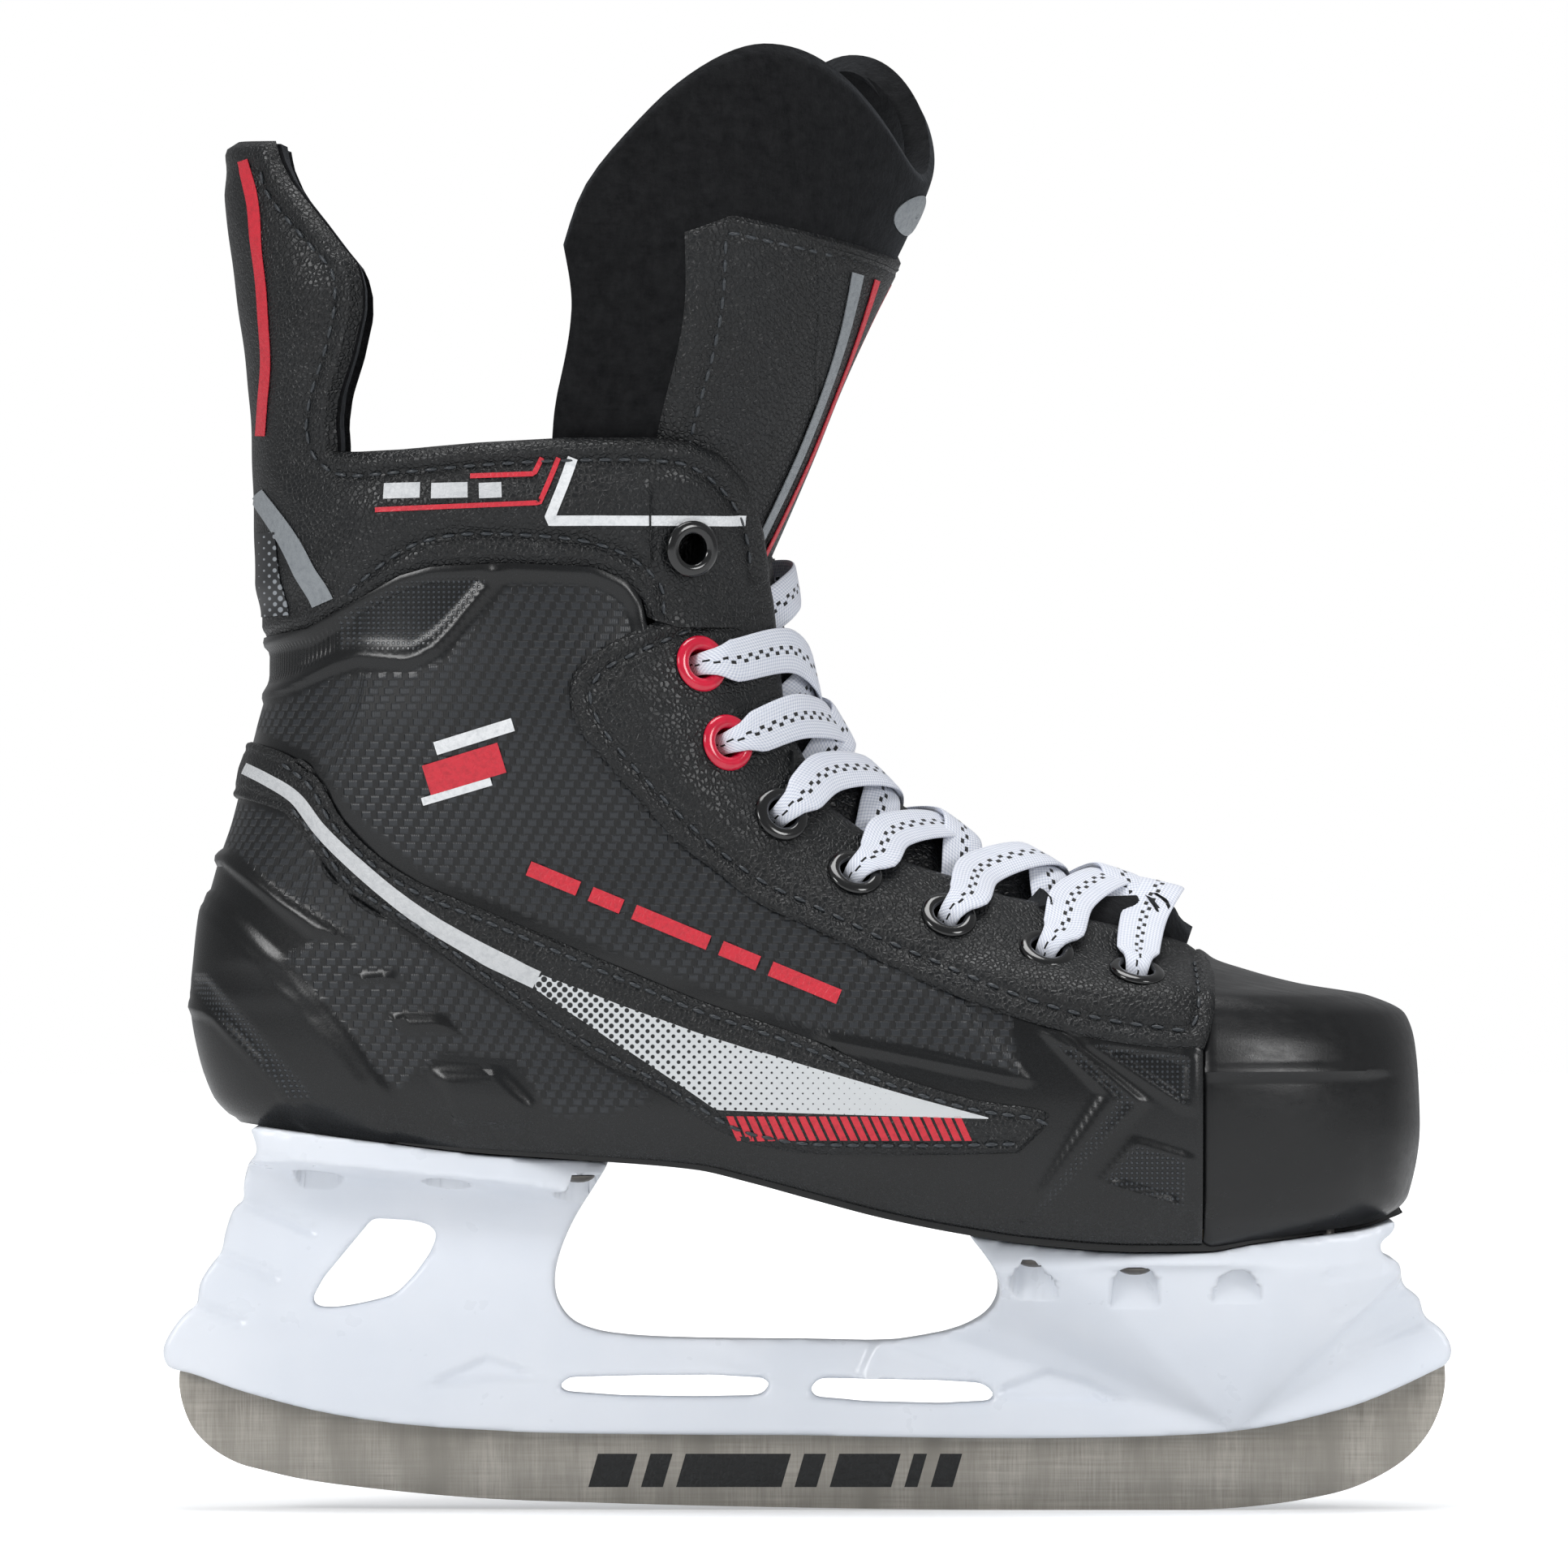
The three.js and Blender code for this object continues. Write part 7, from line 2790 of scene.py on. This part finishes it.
@dataclass
class Runner:
    """The steel runner with its ground edge and plain inked bars."""

    thickness: float = 3.0
    edge: Line = (
        (-143.1, 31.6), (-143.2, 28.5), (-142.3, 23.7), (-139.9, 18.4), (-135.6, 14),
        (-129.8, 10.7), (-124.5, 9.2), (-115.4, 7.1),
        (-100, 5), (-75, 2.7), (-50, 1.7), (-25, 1), (0, 0.5), (25, 0.15), (57, 0), (87, 0),
        (100, 0.7), (113.5, 2.5), (125, 5.4),
        (135.6, 11.2), (141.3, 17.4), (144.2, 23.7), (145.2, 28.5), (145.2, 33),
    )

    def build(self) -> None:
        """Cuts the runner from its outline and inks its sides."""
        top = np.array(Holder().bottom)[2:-2][::-1] + [0, 6.0]
        outline = np.vstack(
            [smooth(self.edge, 6), [(143.2, 33.4), (138, 31.6)], top, [(-138.6, 32.4)]]
        )
        outline[:, 1] = np.maximum(outline[:, 1], 0)
        piece = prism("runner_steel_bar", [outline], self.thickness / 2)
        apply(
            piece, "BEVEL", width=0.12 * MM, segments=2, limit_method="ANGLE",
            angle_limit=math.radians(60)
        )
        activate(piece)
        bpy.ops.object.shade_smooth_by_angle(angle=math.radians(30))
        dress(piece, FINISHES.runner)
        seat(piece, "boot", "runner_steel", "runner")
        bars = []
        for k, (x, w, high) in enumerate(
            (
                (-50, 9, 7.6), (-38, 5, 7.6), (-30, 24, 7.6), (-3, 5, 7.6), (5, 14, 7.6),
                (22, 3, 7.6), (28, 5, 7.6)
            )
        ):
            for side in Side:
                def bar(u: Array, v: Array) -> Array:
                    return np.stack(
                        [x + w * u + 2.2 * v, 0 * u + side.value * 1.5, 5.2 + high * v], axis=-1
                    )

                film = sheet(
                    f"bar_{k}_{side.word}", 2, 2, bar, 0.08,
                    outward=lambda p: p * 0 + [0, side.value, 0]
                )
                thicken(film, 0.1)
                bars.append(dress(film, FINISHES.ink))
        ink = merged("runner_ink_bars", bars)
        seat(ink, "boot", "runner_steel")


# ------------------------------------------------------------------ prints


@dataclass
class CollarPrints:
    """Plain printed shapes on the collar, the guard and the quarter."""

    def build(self, collar: Collar, strip: SideStrip) -> None:
        """Lays every film on the surface below it."""

        def layer(*facts: object) -> list[bpy.types.Object]:
            """A film that stands a little prouder, over the padded surface."""
            return strip.film(*facts, above=0.3)

        films = [
            *layer(
                "collar_white_line", ribbon(((-53.1, 239), (-58.6, 224.7), (-14.8, 225.1)), 2.3),
                (80, 3), FINISHES.white, collar.lift
            ),
            *layer(
                "collar_red_line", ribbon(((-96.6, 227.3), (-60.6, 228.8), (-56.3, 239)), 1.1),
                (60, 2), FINISHES.red, collar.lift
            ),
            *layer(
                "collar_red_line_short", ribbon(((-76, 235), (-61.8, 235.5), (-60, 239)), 1.1),
                (30, 2), FINISHES.red, collar.lift
            ),
            *layer(
                "collar_grey_stripe",
                ribbon(smooth(((-122.6, 231.3), (-115, 220), (-108.8, 206.3))), (3.6, 5)), (40, 5),
                FINISHES.grey, collar.lift
            ),
            *layer(
                "collar_halftone", ribbon(((-119.6, 203.5), (-120.4, 222.5)), (6.4, 4.4)), (40, 10),
                FINISHES.guard_dots, collar.lift
            ),
        ]
        for k, (x, w) in enumerate(((-95, 8), (-84.5, 8), (-74, 5))):
            bar = ribbon(((x, 231.6), (x + w, 231.8)), 3.6)
            films += layer(f"collar_bar_{k}", bar, (8, 3), FINISHES.silver, collar.lift)
        ground = self.quarter_lift
        for name, line, width, finish in (
            ("badge_red", ((-86, 166.2), (-69, 171.4)), 7.0, FINISHES.red),
            ("badge_white", ((-84, 173.4), (-66.5, 178.8)), 3.0, FINISHES.white),
            ("badge_white_low", ((-87, 161.4), (-71.4, 166.0)), 1.8, FINISHES.white),
        ):
            films += layer(f"quarter_{name}", ribbon(line, width), (20, 6), finish, ground)
        for k, (a, b) in enumerate(
            ((0.0, 0.16), (0.2, 0.3), (0.34, 0.58), (0.62, 0.74), (0.78, 1.0))
        ):
            start, end = np.array((-63, 146.4)), np.array((7, 117.4))
            line = (tuple(start + (end - start) * a), tuple(start + (end - start) * b))
            films += layer(f"quarter_bar_{k}", ribbon(line, 3.4), (14, 3), FINISHES.red, ground)
        for piece in films:
            seat(piece, "boot", "shell_plastic" if piece.name.startswith("quarter") else "leather")
        stripe = layer(
            "guard_red_stripe",
            ribbon(
                smooth(
                    (
                        (-127.0, 307), (-123.6, 293.8), (-121.0, 272.5), (-120.4, 260),
                        (-121.6, 244.5)
                    )
                ),
                2.2
            ),
            (70, 3), FINISHES.red, collar.lift,
        )
        for piece in stripe:
            seat(piece, None, "leather")
            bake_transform(piece)

    @staticmethod
    def quarter_lift(x: Array, z: Array) -> Array:
        """The quarter's own surface."""
        return np.full(np.shape(x), 0.1)


# ------------------------------------------------------------------ studio


@dataclass
class Studio:
    """A pale floor, soft lights and the camera that looks straight at the outer side."""

    middle_x: float = -5.4
    middle_z: float = 165.4
    frame_width: float = 357.4
    distance: float = 4000.0

    def camera(self) -> None:
        """Makes the camera."""
        deselect()
        place = (self.middle_x * MM, -self.distance * MM, self.middle_z * MM)
        bpy.ops.object.camera_add(location=place, rotation=(math.pi / 2, 0, 0))
        camera = bpy.context.object
        camera.name = "view"
        camera.data.sensor_width = 36
        camera.data.lens = 36 * self.distance / self.frame_width
        camera.data.clip_end = 20
        bpy.context.scene.camera = camera

    def floor(self) -> None:
        """Makes the floor, which glows with painted light."""
        deselect()
        bpy.ops.mesh.primitive_plane_add(size=12, location=(0, 0, 0))
        floor = bpy.context.object
        floor.name = "floor"
        material, shader = Finish("white_paper_painted_glow", "#f4f5f6", 0.9).nodes()
        grain = add(
            material, "TexNoise",
            {
                "Vector": add(material, "TexCoord").outputs["Object"], "Scale": 1000 / 3.0,
                "Detail": 3, "Roughness": 0.55
            }
        )
        connect(
            material,
            add(material, "Mix", {0: grain, 6: "#f1f2f3", 7: "#f7f8f9"}, data_type="RGBA"),
            shader.inputs["Base Color"]
        )
        # Painted light: the sheet glows for camera rays only, weaker near the skate and stronger
        # away from it, so it looks like a lit sweep of paper.
        away_from = add(
            material, "VectorMath", {0: add(material, "TexCoord").outputs["Object"]},
            operation="LENGTH"
        ).outputs["Value"]
        shader.inputs["Emission Color"].default_value = linear("#ffffff")
        seen = add(material, "LightPath").outputs["Is Camera Ray"]
        glow = add(
            material, "Math",
            {
                0: add(material, "MapRange", {0: away_from, 1: 0.12, 2: 0.6, 3: 0.3, 4: 1.0}),
                1: seen
            },
            operation="MULTIPLY"
        )
        connect(material, glow, shader.inputs["Emission Strength"])
        connect(
            material, add(material, "MapRange", {0: away_from, 1: 0.2, 2: 0.7, 3: 1.0, 4: 0.0}),
            shader.inputs["Specular IOR Level"]
        )
        dress(floor, material)

    def lights(self) -> None:
        """Makes the three soft lights."""
        for name, place, size, power in (
            ("overhead", (0.0, -0.1, 1.7), 1.1, 17.0), ("front_left", (-1.5, -1.7, 1.1), 0.9, 20.0),
            ("front_right", (1.6, -1.6, 0.9), 0.8, 13.0),
        ):
            deselect()
            toward = Vector((0, 0, 0.13)) - Vector(place)
            bpy.ops.object.light_add(
                type="AREA", location=place, rotation=toward.to_track_quat("-Z", "Y").to_euler()
            )
            light = bpy.context.object
            light.name = name
            light.data.shape = "DISK"
            light.data.size = size
            light.data.energy = power

    def world(self) -> None:
        """Makes the pale surroundings, dimmer for reflections than for the eye."""
        world = bpy.data.worlds.new("surroundings")
        world.use_nodes = True
        tree = world.node_tree
        background = tree.nodes["Background"]
        background.inputs["Color"].default_value = linear("#f3f4f6")
        background.inputs["Strength"].default_value = 0.36
        bright = tree.nodes.new("ShaderNodeBackground")
        bright.inputs["Color"].default_value = linear("#ffffff")
        bright.inputs["Strength"].default_value = 1.0
        path = tree.nodes.new("ShaderNodeLightPath")
        mix = tree.nodes.new("ShaderNodeMixShader")
        tree.links.new(path.outputs["Is Camera Ray"], mix.inputs[0])
        tree.links.new(background.outputs[0], mix.inputs[1])
        tree.links.new(bright.outputs[0], mix.inputs[2])
        tree.links.new(mix.outputs[0], tree.nodes["World Output"].inputs["Surface"])
        bpy.context.scene.world = world
        bpy.context.scene.view_settings.view_transform = "Standard"

    def build(self) -> None:
        """Sets everything up."""
        self.camera()
        self.floor()
        self.lights()
        self.world()


def main() -> None:
    """Builds the skate."""
    logging.basicConfig(level=logging.INFO, format="%(message)s")
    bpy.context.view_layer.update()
    Studio().build()
    Laces().build()
    stitches = Stitching()
    shell, strip, collar = BootShell(), SideStrip(), Collar()
    shell.build()
    ToeCap().build()
    Soles().build()
    collar.build(stitches)
    GuardStitches().build(collar)
    Eyestay().build(stitches)
    strip.build(stitches)
    seat(stitches.build("boot_stitches"), "boot", "leather")
    EYELETS.build()
    Tongue().build()
    Holder().build()
    Runner().build()
    CollarPrints().build(collar, strip)
    for name in ("runner_bolt_rear", "runner_bolt_front"):
        dress(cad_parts[name], FINISHES.bolt)
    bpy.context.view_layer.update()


if __name__ == "__main__":
    main()
